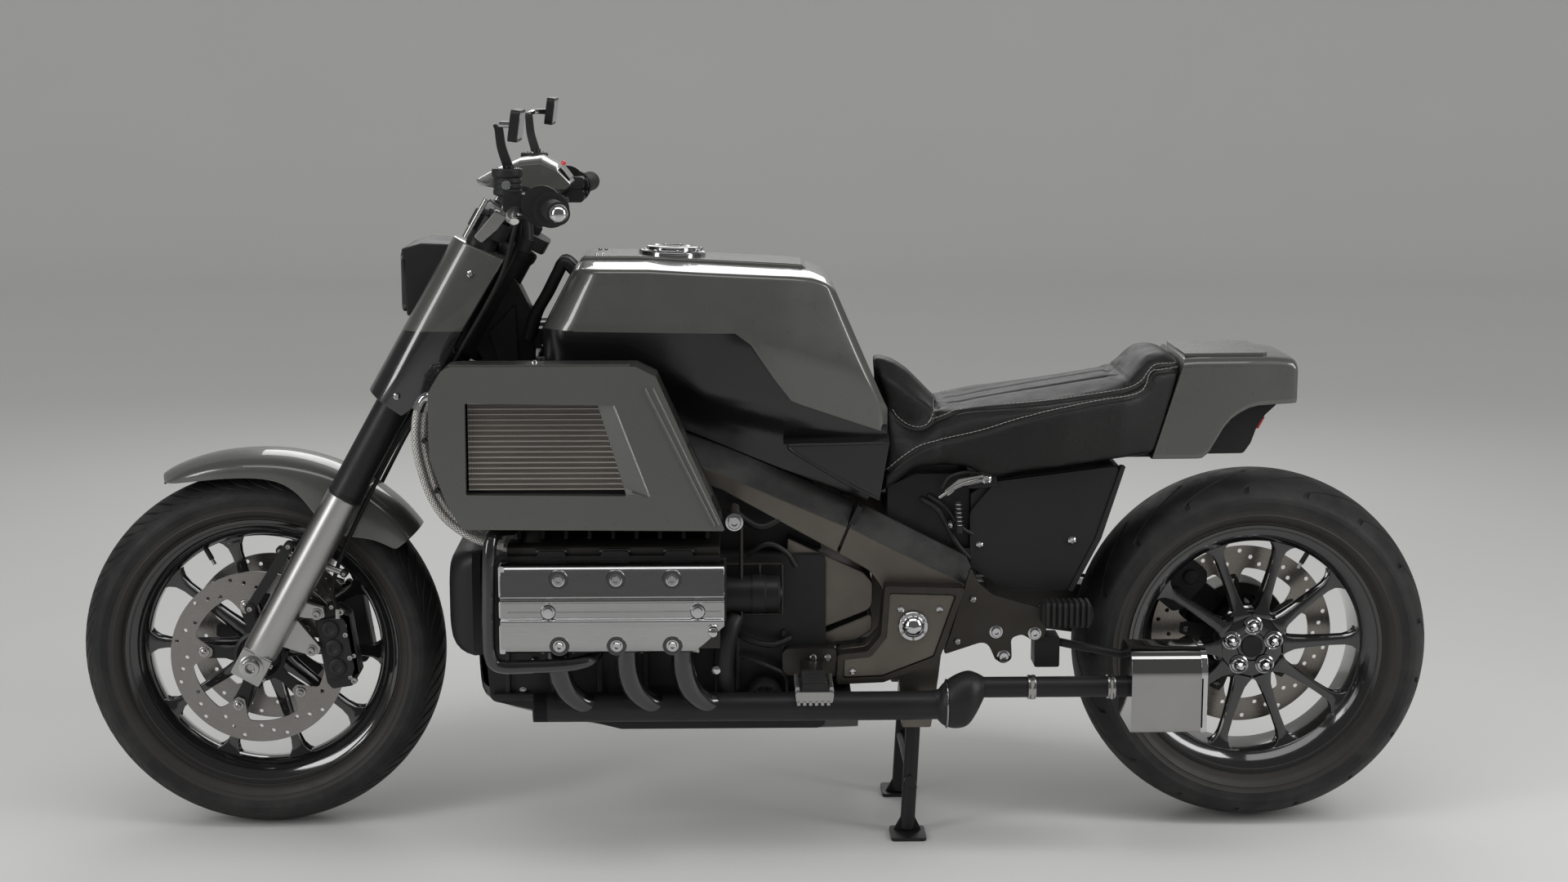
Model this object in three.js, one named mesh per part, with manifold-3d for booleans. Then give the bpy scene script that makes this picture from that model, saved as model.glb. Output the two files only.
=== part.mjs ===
// A low cruiser motorcycle with a flat-six engine, a radiator pod on each side,
// a twin-spar frame and a single-sided rear arm with shaft drive.
// Millimetres. +X runs to the rear, +Y to the rider's right, +Z up.
// The origin is on the ground, under the middle of the motorcycle.

import * as THREE from "three";
import { mergeVertices } from "three/addons/utils/BufferGeometryUtils.js";
import Module from "manifold-3d";

const wasm = await Module();
wasm.setup();

// ---------------------------------------------------------------- driving dimensions

const gap = 0.3; // between pieces that touch
const bearingGap = 0.5; // between pieces that turn on each other
const wheelbase = 1690;
const axleHeight = 307;
const frontAxleX = -843.5; // ahead of the engine's middle

const frontTyreRadius = 307;
const frontTyreHalf = 65;
const frontBeadRadius = 222;
const frontBeadHalf = 46;
const frontHubRadius = 40;
const frontHubHalf = 64;
const axleRadius = 12;

const rearTyreRadius = 304;
const rearTyreHalf = 90;
const rearBeadRadius = 209;
const rearBeadHalf = 66;
const rearHubRadius = 62;
const rearHubLeft = 42;
const rearHubRight = 30;
const stubRadius = 19;

const frontDiscRadius = 148;
const rearDiscRadius = 158;
const discThickness = 4.5;
const padGap = 2.2; // disc to caliper, each side

const rake = THREE.MathUtils.degToRad(29.25);
const forkOffset = 55;
const forkHalf = 112;
const sliderRadius = 30;
const forkTubeRadius = 23.5;
const sliderLength = 324;
const lowerYokeHeight = 790;
const upperYokeRise = 238;
const forkTopRise = 276;
const yokeClampRadius = 33.7;
const headTubeRadius = 33;
const stemRadius = 16;

const sparInner = 120;
const sparOuter = 160;
const crankcaseHalf = 165;
const bankHalf = 298;
const valveCoverDepth = 47;
const bellyHeight = 193;
const bellySkin = 8;

const podInner = 210;
const podOuter = 325;
const grilleDepth = 40;
const coreThickness = 18;

const pipeHalf = 235;
const pipeRadius = 24;
const pipeHeight = 262;
const linkHeight = 287;
const mufflerInner = 172;
const mufflerOuter = 292;

const barRadius = 12.7;
const barRise = 288; // above the lower yoke
const gripHalf = 410;
const gripRadius = 17;

const standPivotHeight = 218;
const standPivotX = 262;
const standFootX = 252;
const sideStandLength = 235;

// ---------------------------------------------------------------- worked out from them

const rearAxleX = frontAxleX + wheelbase;
const middleX = (frontAxleX - frontTyreRadius + rearAxleX + rearTyreRadius) / 2;
const yokeRun = (lowerYokeHeight - axleHeight) * Math.tan(rake);
const headX = frontAxleX + forkOffset / Math.cos(rake) + yokeRun;
const axleDrop = (lowerYokeHeight - axleHeight) / Math.cos(rake) + forkOffset * Math.tan(rake);
const sides = [["left", -1], ["right", 1]];

const finish = (color, roughness, metalness) =>
  new THREE.MeshStandardMaterial({ color, roughness, metalness });
const paint = finish(0x5b5c56, 0.25, 0.3);
const glossBlack = finish(0x0c0c0d, 0.15, 0.1);
const satinBlack = finish(0x17181a, 0.45, 0.2);
const aluminium = finish(0xa9abab, 0.38, 0.9);
const bronzeAlloy = finish(0x5d564c, 0.42, 0.8);
const castAlloy = finish(0x3c3d3e, 0.5, 0.7);
const chrome = finish(0xdcdee0, 0.06, 1.0);
const polished = finish(0xc4c6c7, 0.16, 0.95);
const steel = finish(0x9a9b9c, 0.3, 0.9);
const tyreRubber = finish(0x1b1b1c, 0.8, 0.0);
const leather = finish(0x151516, 0.55, 0.0);
const braid = finish(0x6d6e70, 0.45, 0.7);

// ---------------------------------------------------------------- shapes

// a closed three.js geometry as a solid with its faces pointing out
function solid(geometry) {
  const bare = new THREE.BufferGeometry();
  bare.setAttribute("position", geometry.getAttribute("position").clone());
  if (geometry.index) bare.setIndex(geometry.index.clone());
  const merged = mergeVertices(bare, 1e-3);
  const place = merged.getAttribute("position");
  const corners = [];
  let volume = 0;
  const [a, b, c] = [new THREE.Vector3(), new THREE.Vector3(), new THREE.Vector3()];
  for (let i = 0; i < merged.index.count; i += 3) {
    const [p, q, r] = [0, 1, 2].map((step) => merged.index.getX(i + step));
    if (p === q || q === r || r === p) continue;
    corners.push(p, q, r);
    a.fromBufferAttribute(place, p);
    b.fromBufferAttribute(place, q);
    c.fromBufferAttribute(place, r);
    volume += a.dot(b.cross(c));
  }
  if (volume < 0) corners.reverse();
  return new wasm.Manifold(new wasm.Mesh({
    numProp: 3,
    vertProperties: new Float32Array(place.array),
    triVerts: new Uint32Array(corners),
  }));
}

const join = (...pieces) => pieces.flat().reduce((all, piece) => all.add(piece));
const cut = (piece, ...tools) => tools.flat().reduce((left, tool) => left.subtract(tool), piece);

function outlineShape(points) {
  return new THREE.Shape(points.map(([u, v]) => new THREE.Vector2(u, v)));
}

// an outline of [x, z] points, across the given span of y
function slab(points, yLow, yHigh, bevel = 0) {
  const geometry = new THREE.ExtrudeGeometry(outlineShape(points), {
    depth: yHigh - yLow - 2 * bevel,
    bevelEnabled: bevel > 0,
    bevelThickness: bevel,
    bevelSize: bevel,
    bevelOffset: -bevel,
    bevelSegments: 1,
  });
  geometry.rotateX(Math.PI / 2);
  geometry.translate(0, yHigh - bevel, 0);
  return solid(geometry);
}

// the same on one side of the motorcycle, from an inner to an outer half width
function sideSlab(points, side, inner, outer, bevel = 0) {
  return side < 0 ? slab(points, -outer, -inner, bevel) : slab(points, inner, outer, bevel);
}

// an outline of [y, z] points, along the given span of x
function bar(points, xLow, xHigh) {
  const geometry = new THREE.ExtrudeGeometry(outlineShape(points), {
    depth: xHigh - xLow,
    bevelEnabled: false,
  });
  const toYZX = new THREE.Matrix4().set(0, 0, 1, xLow, 1, 0, 0, 0, 0, 1, 0, 0, 0, 0, 0, 1);
  geometry.applyMatrix4(toYZX);
  return solid(geometry);
}

// an outline of [x, y] points, along the given span of z
function plate(points, zLow, zHigh) {
  const geometry = new THREE.ExtrudeGeometry(outlineShape(points), {
    depth: zHigh - zLow,
    bevelEnabled: false,
  });
  geometry.translate(0, 0, zLow);
  return solid(geometry);
}

function box([xLow, xHigh], [yLow, yHigh], [zLow, zHigh]) {
  const geometry = new THREE.BoxGeometry(xHigh - xLow, yHigh - yLow, zHigh - zLow);
  geometry.translate((xLow + xHigh) / 2, (yLow + yHigh) / 2, (zLow + zHigh) / 2);
  return solid(geometry);
}

function sideBox(side, xs, [inner, outer], zs) {
  return box(xs, side < 0 ? [-outer, -inner] : [inner, outer], zs);
}

// a round bar between two points
function rod(from, to, radius, around = 20) {
  const start = new THREE.Vector3(...from);
  const end = new THREE.Vector3(...to);
  const along = end.clone().sub(start);
  const geometry = new THREE.CylinderGeometry(radius, radius, along.length(), around);
  const turn = new THREE.Quaternion();
  turn.setFromUnitVectors(new THREE.Vector3(0, 1, 0), along.clone().normalize());
  geometry.applyQuaternion(turn);
  geometry.translate(...start.add(end).multiplyScalar(0.5).toArray());
  return solid(geometry);
}

// a round bar along a smooth curve
function tube(points, radius, around = 10, steps = 16) {
  const corner = (i) => (i / around) * 2 * Math.PI;
  const section = Array.from({ length: around }, (_, i) =>
    [radius * Math.cos(corner(i)), radius * Math.sin(corner(i))]);
  const path = new THREE.CatmullRomCurve3(points.map((point) => new THREE.Vector3(...point)));
  return solid(new THREE.ExtrudeGeometry(outlineShape(section), {
    steps,
    extrudePath: path,
    bevelEnabled: false,
  }));
}

// a closed profile of [radius, y] points, turned about the y axis
function turned(profile, around = 40) {
  const loop = [...profile, profile[0]].map(([radius, y]) => new THREE.Vector2(radius, y));
  return solid(new THREE.LatheGeometry(loop, around));
}

function ring(innerRadius, outerRadius, yLow, yHigh, around = 40) {
  return turned([
    [innerRadius, yLow], [outerRadius, yLow], [outerRadius, yHigh], [innerRadius, yHigh],
  ], around);
}

// half rings of [y, z] points at a row of x, from the keel up to the crown, mirrored in y
function loft(sections) {
  const rings = sections.map(({ x, half }) => {
    const far = half.map(([y, z]) => [x, y, z]);
    const near = half.map(([y, z]) => [x, -y, z]).reverse();
    return [...far, ...near];
  });
  const count = rings[0].length;
  const places = rings.flat(2);
  const corners = [];
  for (let k = 0; k + 1 < rings.length; k += 1) {
    for (let i = 0; i < count; i += 1) {
      const next = (i + 1) % count;
      const [p, q] = [k * count + i, k * count + next];
      corners.push(p, q, q + count, p, q + count, p + count);
    }
  }
  const last = (rings.length - 1) * count;
  for (let i = 1; i + 1 < count; i += 1) {
    corners.push(0, i + 1, i, last, last + i, last + i + 1);
  }
  const geometry = new THREE.BufferGeometry();
  geometry.setAttribute("position", new THREE.Float32BufferAttribute(places, 3));
  geometry.setIndex(corners);
  return solid(geometry);
}

// [x, z] points turned about the y axis through a centre
function turnOutline(points, angle, [centreX, centreZ] = [0, 0]) {
  const [c, s] = [Math.cos(angle), Math.sin(angle)];
  return points.map(([u, v]) => [centreX + u * c - v * s, centreZ + u * s + v * c]);
}

// a convex outline drawn in by a distance
function inset(points, distance) {
  const sign = Math.sign(THREE.ShapeUtils.area(points.map(([x, y]) => new THREE.Vector2(x, y))));
  const edge = (i) => {
    const [p, q] = [points[i], points[(i + 1) % points.length]];
    const length = Math.hypot(q[0] - p[0], q[1] - p[1]);
    return [(q[0] - p[0]) / length, (q[1] - p[1]) / length];
  };
  return points.map(([x, y], i) => {
    const [before, after] = [edge((i + points.length - 1) % points.length), edge(i)];
    const [nx, ny] = [-(before[1] + after[1]), before[0] + after[0]];
    const scale = (2 * distance * sign) / (nx * nx + ny * ny);
    return [x + nx * scale, y + ny * scale];
  });
}

// ---------------------------------------------------------------- the tree of pieces

const motorcycle = new THREE.Group();
motorcycle.position.x = -middleX;
const steered = new THREE.Group();
steered.position.set(headX, 0, lowerYokeHeight);
steered.rotation.y = rake;
motorcycle.add(steered);
steered.updateMatrix();

function addPiece(group, name, piece, material, position = [0, 0, 0]) {
  const { vertProperties, triVerts } = piece.getMesh();
  const geometry = new THREE.BufferGeometry();
  geometry.setAttribute("position", new THREE.BufferAttribute(vertProperties, 3));
  geometry.setIndex(new THREE.BufferAttribute(triVerts, 1));
  geometry.computeVertexNormals();
  const mesh = new THREE.Mesh(geometry, material);
  mesh.name = name;
  mesh.position.set(...position);
  group.add(mesh);
}

// a place on the motorcycle, seen from the steering axis: x behind it, z up along it
const steeredMatrix = steered.matrix.clone().invert();
const inSteered = (place) => new THREE.Vector3(...place).applyMatrix4(steeredMatrix).toArray();

// outlines near the head are drawn for a steering axis through this place: x, z
const drawnHead = [-510, 790];
const drawnBar = drawnHead[1] + barRise;
const byHead = ([x, z]) => [x - drawnHead[0] + headX, z - drawnHead[1] + lowerYokeHeight];

// drawn places of the steered pieces, seen from the steering axis
function steeredPlace([x, y, z]) {
  const [u, w] = byHead([x, z]);
  return inSteered([u, y, w]);
}

function steeredOutline(points) {
  return points.map(([x, z]) => {
    const [u, , w] = steeredPlace([x, 0, z]);
    return [u, w];
  });
}

// ---------------------------------------------------------------- wheels

// half sections, from the tread's middle to the bead: radius, half width
function tyre(radius, half, beadRadius, beadHalf) {
  const drop = radius - beadRadius;
  const flank = [
    [radius, 0.16 * half],
    [radius - 0.05 * drop, 0.48 * half],
    [radius - 0.17 * drop, 0.80 * half],
    [radius - 0.36 * drop, 0.985 * half],
    [radius - 0.58 * drop, half],
    [beadRadius + 0.22 * drop, beadHalf + 0.62 * (half - beadHalf)],
    [beadRadius + 9, beadHalf],
    [beadRadius, beadHalf],
  ];
  const mirrored = flank.map(([r, y]) => [r, -y]).reverse();
  return turned([...flank, ...mirrored], 40);
}

// spoked star about the y axis: widths across the spoke at the hub and at the rim
function spokes(count, from, to, hubWidth, rimWidth, yLow, yHigh, firstAngle) {
  return Array.from({ length: count }, (_, i) => {
    const outline = [
      [from, -hubWidth / 2], [to, -rimWidth / 2], [to, rimWidth / 2], [from, hubWidth / 2],
    ];
    return slab(turnOutline(outline, firstAngle + (i * 2 * Math.PI) / count), yLow, yHigh);
  });
}

function rimBarrel(beadRadius, beadHalf, depth) {
  const seat = beadRadius - gap;
  const lip = beadHalf + gap;
  const wall = [
    [beadRadius + 7.5, lip + 5],
    [beadRadius + 7.5, lip],
    [seat, lip],
  ];
  const inside = [
    [seat - 3, lip + 5],
    [seat - 10, lip - 4],
    [seat - depth, 0.45 * lip],
  ];
  const mirror = (points) => points.map(([r, y]) => [r, -y]);
  return turned([
    ...mirror(wall), ...[...wall].reverse(), ...inside, ...[...mirror(inside)].reverse(),
  ], 40);
}

function frontRim() {
  const hub = ring(axleRadius + bearingGap, frontHubRadius, -frontHubHalf, frontHubHalf, 28);
  const barrelInner = frontBeadRadius - 16;
  const star = spokes(10, frontHubRadius - 6, barrelInner + 4, 27, 17, -13, 13, 0.5);
  return join(rimBarrel(frontBeadRadius, frontBeadHalf, 15), hub, star);
}

function rearRim() {
  const hub = join(
    ring(stubRadius + bearingGap, rearHubRadius, -rearHubLeft + 12, rearHubRight, 28),
    rod([0, -rearHubLeft, 0], [0, -rearHubLeft + 14, 0], rearHubRadius, 28),
    ring(stubRadius + bearingGap, rearHubRadius - 12, rearHubRight - 2, rearHubRight + 16, 28),
  );
  const barrelInner = rearBeadRadius - 17;
  const star = spokes(10, rearHubRadius - 8, barrelInner + 4, 30, 20, -36, -8, 0.31);
  return join(rimBarrel(rearBeadRadius, rearBeadHalf, 16), hub, star);
}

// a brake disc with its five-armed carrier; y runs outward from the carrier's seat
function brakeDisc(radius, ringWidth, seatRadius, boreRadius, face) {
  const inner = radius - ringWidth;
  const [low, high] = face;
  const arms = spokes(5, seatRadius - 8, inner + 6, 26, 22, low, high, 0.32);
  return join(
    ring(inner, radius, low, high, 36),
    ring(boreRadius, seatRadius, low, high, 24),
    arms,
  );
}

const frontDiscSeat = frontHubHalf + gap;
const frontDiscFace = frontDiscSeat + 6;
const frontDiscOut = frontDiscFace + discThickness;
const frontWheelPlace = [frontAxleX, 0, axleHeight];
const rearWheelPlace = [rearAxleX, 0, axleHeight];

function addWheels() {
  const front = tyre(frontTyreRadius, frontTyreHalf, frontBeadRadius, frontBeadHalf);
  addPiece(motorcycle, "front_tyre", front, tyreRubber, frontWheelPlace);
  addPiece(motorcycle, "front_rim", frontRim(), glossBlack, frontWheelPlace);
  for (const [word, side] of sides) {
    const across = (a, b) => (side < 0 ? [-b, -a] : [a, b]);
    const disc = join(
      brakeDisc(frontDiscRadius, 36, 50, axleRadius + 9, across(frontDiscFace, frontDiscOut)),
      ring(axleRadius + 9, 38, ...across(frontDiscSeat, frontDiscFace + 1), 24),
    );
    addPiece(motorcycle, `front_disc_${word}`, disc, steel, frontWheelPlace);
  }
  const rear = tyre(rearTyreRadius, rearTyreHalf, rearBeadRadius, rearBeadHalf);
  addPiece(motorcycle, "rear_tyre", rear, tyreRubber, rearWheelPlace);
  addPiece(motorcycle, "rear_rim", rearRim(), glossBlack, rearWheelPlace);
  const seat = rearHubRight + 16 + gap;
  const disc = brakeDisc(rearDiscRadius, 40, 56, stubRadius + 6, [seat, seat + discThickness]);
  addPiece(motorcycle, "rear_disc", disc, steel, rearWheelPlace);
}

// ---------------------------------------------------------------- steered pieces

// plan of a yoke: x, y
const yokePlan = [
  [-forkOffset - 20, -forkHalf], [-forkOffset + 20, -forkHalf], [30, -30],
  [30, 30], [-forkOffset + 20, forkHalf], [-forkOffset - 20, forkHalf],
];
const lowerYoke = [-22, 22];
const upperYoke = [upperYokeRise, upperYokeRise + 28];

function steeringStem() {
  const yoke = ([low, high]) => join(
    plate(yokePlan, low, high),
    sides.map(([, side]) => rod(
      [-forkOffset, side * forkHalf, low], [-forkOffset, side * forkHalf, high], yokeClampRadius, 24)),
  );
  const bores = sides.map(([, side]) => rod(
    [-forkOffset, side * forkHalf, lowerYoke[0] - 5],
    [-forkOffset, side * forkHalf, upperYoke[1] + 5],
    forkTubeRadius + gap, 20));
  const stem = rod([0, 0, lowerYoke[0]], [0, 0, upperYoke[1]], stemRadius, 16);
  return cut(join(yoke(lowerYoke), yoke(upperYoke), stem), bores);
}

const caliperAngle = THREE.MathUtils.degToRad(9);
const caliperReach = [96, 168];
const caliperHalf = 70;
const caliperInner = frontDiscFace - padGap - 13;
const caliperOuter = frontDiscOut + padGap + 20;

function forkLeg(side) {
  const y = side * forkHalf;
  const axleZ = -axleDrop;
  const slider = rod([-forkOffset, y, axleZ + 8], [-forkOffset, y, axleZ + sliderLength],
    sliderRadius, 28);
  const top = rod([-forkOffset, y, axleZ + sliderLength - 2], [-forkOffset, y, forkTopRise],
    forkTubeRadius, 20);
  const clamp = sideBox(side, [-forkOffset - 25, -forkOffset + 25],
    [forkHalf - sliderRadius, forkHalf + sliderRadius], [axleZ - 26, axleZ + 30]);
  const [lugX, lugZ] = inSteered([
    frontAxleX + 132 * Math.cos(caliperAngle), 0, axleHeight + 132 * Math.sin(caliperAngle),
  ]).filter((_, i) => i !== 1);
  const lugs = [-44, 40].map((rise) => sideBox(side, [-forkOffset, lugX - 2],
    [caliperOuter + gap, caliperOuter + gap + 13], [lugZ + rise - 12, lugZ + rise + 12]));
  const bore = rod([-forkOffset, -side * 5, axleZ], [-forkOffset, 2 * y, axleZ],
    axleRadius + gap, 24);
  return cut(join(slider, top, clamp, lugs), bore);
}

function forkCover(side) {
  // side outline: x, z from the steering axis
  const outline = [
    [-99, 209], [-9, 217], [-12, 85], [-8, -39], [-34, -88], [-102, -81],
  ];
  const inner = 84;
  const shell = sideSlab(outline, side, inner, forkHalf + yokeClampRadius + 7, 4);
  const y = side * forkHalf;
  const bore = rod([-forkOffset, y, -120], [-forkOffset, y, 250], yokeClampRadius + gap, 24);
  const slot = sideBox(side, [-forkOffset - 24, -forkOffset + 50], [inner - 2, forkHalf],
    [lowerYoke[0] - 2, lowerYoke[1] + 2]);
  return cut(shell, bore, slot);
}

function frontAxle() {
  const reach = forkHalf + sliderRadius + 8;
  const collars = sides.map(([, side]) => rod(
    [0, side * (frontHubHalf + bearingGap), 0], [0, side * (forkHalf - sliderRadius - gap), 0],
    axleRadius + 6, 20));
  const head = rod([0, -reach, 0], [0, -(forkHalf + sliderRadius + gap), 0], axleRadius + 7, 6);
  const nut = rod([0, reach, 0], [0, forkHalf + sliderRadius + gap, 0], axleRadius + 7, 6);
  return join(rod([0, -reach, 0], [0, reach, 0], axleRadius, 20), collars, head, nut);
}

// a block that straddles the disc, with its slot open to the wheel's middle
function caliper(side, angle, [near, far], halfLength, [yInner, yOuter], discFaces, discRadius) {
  const outline = [
    [near, -halfLength + 14], [near + 14, -halfLength], [far - 16, -halfLength],
    [far, -halfLength + 20], [far, halfLength - 20], [far - 16, halfLength],
    [near + 14, halfLength], [near, halfLength - 14],
  ];
  const body = sideSlab(turnOutline(outline, angle), side, yInner, yOuter);
  const [low, high] = [discFaces[0] - padGap, discFaces[1] + padGap];
  const slot = side < 0 ? [-high, -low] : [low, high];
  return cut(body, rod([0, slot[0], 0], [0, slot[1], 0], discRadius + 4, 48));
}

function frontFender() {
  const inner = frontTyreRadius + 23;
  const skin = 5;
  const half = forkHalf - sliderRadius - 3;
  const skirtRadius = inner - 26;
  const hoop = turned([
    [inner, -half + skin], [skirtRadius, -half + skin], [skirtRadius, -half],
    [inner - 2, -half], [inner + 8, -half + 8], [inner + 15, -half + 34], [inner + 17, 0],
    [inner + 15, half - 34], [inner + 8, half - 8], [inner - 2, half],
    [skirtRadius, half], [skirtRadius, half - skin], [inner, half - skin],
    [inner + 9, half - 34], [inner + 11, 0], [inner + 9, -half + 34],
  ], 56);
  // the arc kept: from ahead of the tyre's top to behind it, in degrees from straight up
  const reach = 600;
  const [ahead, behind] = [-30, 55].map((angle) => THREE.MathUtils.degToRad(angle));
  const arc = [
    [0, 0], [reach * Math.sin(behind), reach * Math.cos(behind)],
    [0, 1.6 * reach], [reach * Math.sin(ahead), reach * Math.cos(ahead)],
  ];
  const kept = hoop.intersect(slab(arc, -half - 5, half + 5));
  const legAt = (frontTyreRadius - 12) * Math.tan(rake);
  const lugs = sides.map(([, side]) => sideBox(side, [legAt - 24, legAt + 30],
    [half - skin, forkHalf - sliderRadius - gap], [inner - 62, inner - 22]));
  return join(kept, lugs);
}

function headlight() {
  const outline = [[-585, 998], [-578, 884], [-514, 880], [-446, 1003], [-552, 1006]];
  return slab(steeredOutline(outline), -84 + gap, 84 - gap);
}

function instrumentCowl() {
  const foot = drawnBar + barRadius + gap;
  const outline = [
    [-470, foot + 14], [-450, foot], [-334, foot], [-338, foot + 22],
    [-392, foot + 52], [-420, foot + 48],
  ];
  return slab(steeredOutline(outline), -62, 62, 6);
}

const reservoirTop = drawnBar + 50;

function handlebar() {
  // right half, from the middle out: x, y, z
  const half = [
    [-385, 60, drawnBar], [-378, 130, drawnBar + 1], [-352, 210, drawnBar],
    [-322, 290, drawnBar - 5], [-312, 350, drawnBar - 7], [-308, gripHalf, drawnBar - 8],
  ];
  const mirrored = half.map(([x, y, z]) => [x, -y, z]).reverse();
  const path = [...mirrored, ...half].map(steeredPlace);
  const pieces = [tube(path, barRadius, 10, 30)];
  const [barX, , barZ] = steeredPlace([-385, 0, drawnBar]);
  for (const [, side] of sides) {
    const at = (x, y, z) => steeredPlace([x, side * y, z]);
    pieces.push(rod([barX, side * 48, upperYoke[1] + gap], [barX, side * 48, barZ], 15, 14));
    pieces.push(rod(at(-323, 288, drawnBar - 5), at(-308, gripHalf, drawnBar - 8), gripRadius, 14));
    pieces.push(rod(at(-308, gripHalf - 2, drawnBar - 8), at(-306, gripHalf + 16, drawnBar - 8), 14, 12));
    const block = (xs, ys, zs) => {
      const corners = [[xs[0], zs[0]], [xs[1], zs[0]], [xs[1], zs[1]], [xs[0], zs[1]]];
      return sideSlab(steeredOutline(corners), side, ...ys);
    };
    pieces.push(block([-352, -306], [236, 282], [drawnBar - 28, drawnBar + 16]));
    pieces.push(block([-398, -348], [238, 280], [drawnBar - 8, drawnBar + 22]));
    pieces.push(block([-404, -352], [232, 286], [drawnBar + 10, reservoirTop]));
    pieces.push(tube([
      at(-372, 262, drawnBar - 2), at(-381, 296, drawnBar - 4),
      at(-379, 350, drawnBar - 8), at(-370, 414, drawnBar - 12),
    ], 6.5, 6, 6));
  }
  return join(pieces);
}

function mirror(side) {
  const at = (x, y, z) => steeredPlace([x, side * y, z]);
  const stalk = tube([
    at(-378, 258, reservoirTop + 9), at(-384, 276, reservoirTop + 38),
    at(-396, 312, reservoirTop + 62), at(-378, 338, reservoirTop + 74),
  ], 6, 6, 7);
  const foot = sideSlab(steeredOutline([
    [-390, reservoirTop + gap], [-366, reservoirTop + gap],
    [-368, reservoirTop + 10], [-388, reservoirTop + 10],
  ]), side, 248, 272);
  const head = [
    [-390, reservoirTop + 56], [-366, reservoirTop + 50],
    [-358, reservoirTop + 96], [-382, reservoirTop + 104],
  ];
  return join(foot, stalk, sideSlab(steeredOutline(head), side, 296, 420, 5));
}

function addSteered() {
  addPiece(steered, "steering_stem", steeringStem(), aluminium);
  addPiece(motorcycle, "front_axle", frontAxle(), steel, frontWheelPlace);
  addPiece(motorcycle, "front_fender", frontFender(), paint, frontWheelPlace);
  addPiece(steered, "headlight", headlight(), glossBlack);
  addPiece(steered, "instrument_cowl", instrumentCowl(), paint);
  addPiece(steered, "handlebar", handlebar(), satinBlack);
  for (const [word, side] of sides) {
    addPiece(steered, `fork_leg_${word}`, forkLeg(side), aluminium);
    addPiece(steered, `fork_cover_${word}`, forkCover(side), paint);
    const pads = caliper(side, caliperAngle, caliperReach, caliperHalf,
      [caliperInner, caliperOuter], [frontDiscFace, frontDiscOut], frontDiscRadius);
    addPiece(motorcycle, `front_caliper_${word}`, pads, satinBlack, frontWheelPlace);
    addPiece(steered, `mirror_${word}`, mirror(side), chrome);
  }
}

// ---------------------------------------------------------------- frame

// the spars' upper edge from the head to the rear: a height at each x
const sparTopFront = byHead([-375, 811]);
const sparTopRear = [173, 575];
const sparSlope = (sparTopRear[1] - sparTopFront[1]) / (sparTopRear[0] - sparTopFront[0]);
const sparTop = (x) => sparTopFront[1] + sparSlope * (x - sparTopFront[0]);

const sparOutline = [
  sparTopFront, sparTopRear, [345, 487], [353, 469], [345, 436], [302, 330], [298, 292],
  [standPivotX + 24, standPivotHeight - 16], [standPivotX - 24, standPivotHeight - 16],
  [standPivotX - 30, 284], [208, 284], [150, 330], [128, 501], [-61, 607], byHead([-375, 716]),
];

function steeringHead() {
  const shell = rod(inHead(28), inHead(upperYokeRise - 6), headTubeRadius, 28);
  const back = -375 - gap;
  const web = slab([
    [-478, 830], [-403, 722], [back, 722], [back, 811], [-372, 880], [-405, 955],
  ].map(byHead), -26, 26);
  const cross = slab([[-403, 722], [back, 722], [back, 800], [-403, 800]].map(byHead),
    -sparOuter, sparOuter);
  const bore = rod(inHead(-20), inHead(upperYokeRise + 40), stemRadius + bearingGap, 20);
  return cut(join(shell, web, cross), bore);
}

// a place on the steering axis, at a rise above the lower yoke
function inHead(rise) {
  return new THREE.Vector3(0, 0, rise).applyMatrix4(steered.matrix).toArray();
}

// the line the seat and tail rest on: x, z
const seatBase = [[388, 617], [594, 643], [652, 646], [712, 646]];

function rearSubframe() {
  const half = sparInner - gap;
  const top = seatBase.map(([x, z]) => [x, z - 0.5]);
  const body = slab([
    [354, 466], [354, 596], ...top, [712, 624], [618, 612], [563, 515], [518, 426], [412, 426],
  ], -half, half);
  const tongue = slab([[300, 440], [360, 440], [360, 500], [300, 500]], -half, half);
  return join(body, tongue);
}

function addFrame() {
  addPiece(motorcycle, "steering_head", steeringHead(), castAlloy);
  for (const [word, side] of sides) {
    const spar = sideSlab(sparOutline, side, sparInner, sparOuter);
    addPiece(motorcycle, `frame_spar_${word}`, spar, bronzeAlloy);
  }
  addPiece(motorcycle, "rear_subframe", rearSubframe(), satinBlack);
}

// ---------------------------------------------------------------- engine and cooling

const bankLow = 376;
const bankHigh = 545;
const bankFront = -402;
const bankRear = -64;
const sideStandPivot = [31, -(crankcaseHalf + 20), 238];
const sideStandAxis = new THREE.Vector3(0.05, 0.94, -0.34).normalize();

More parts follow.
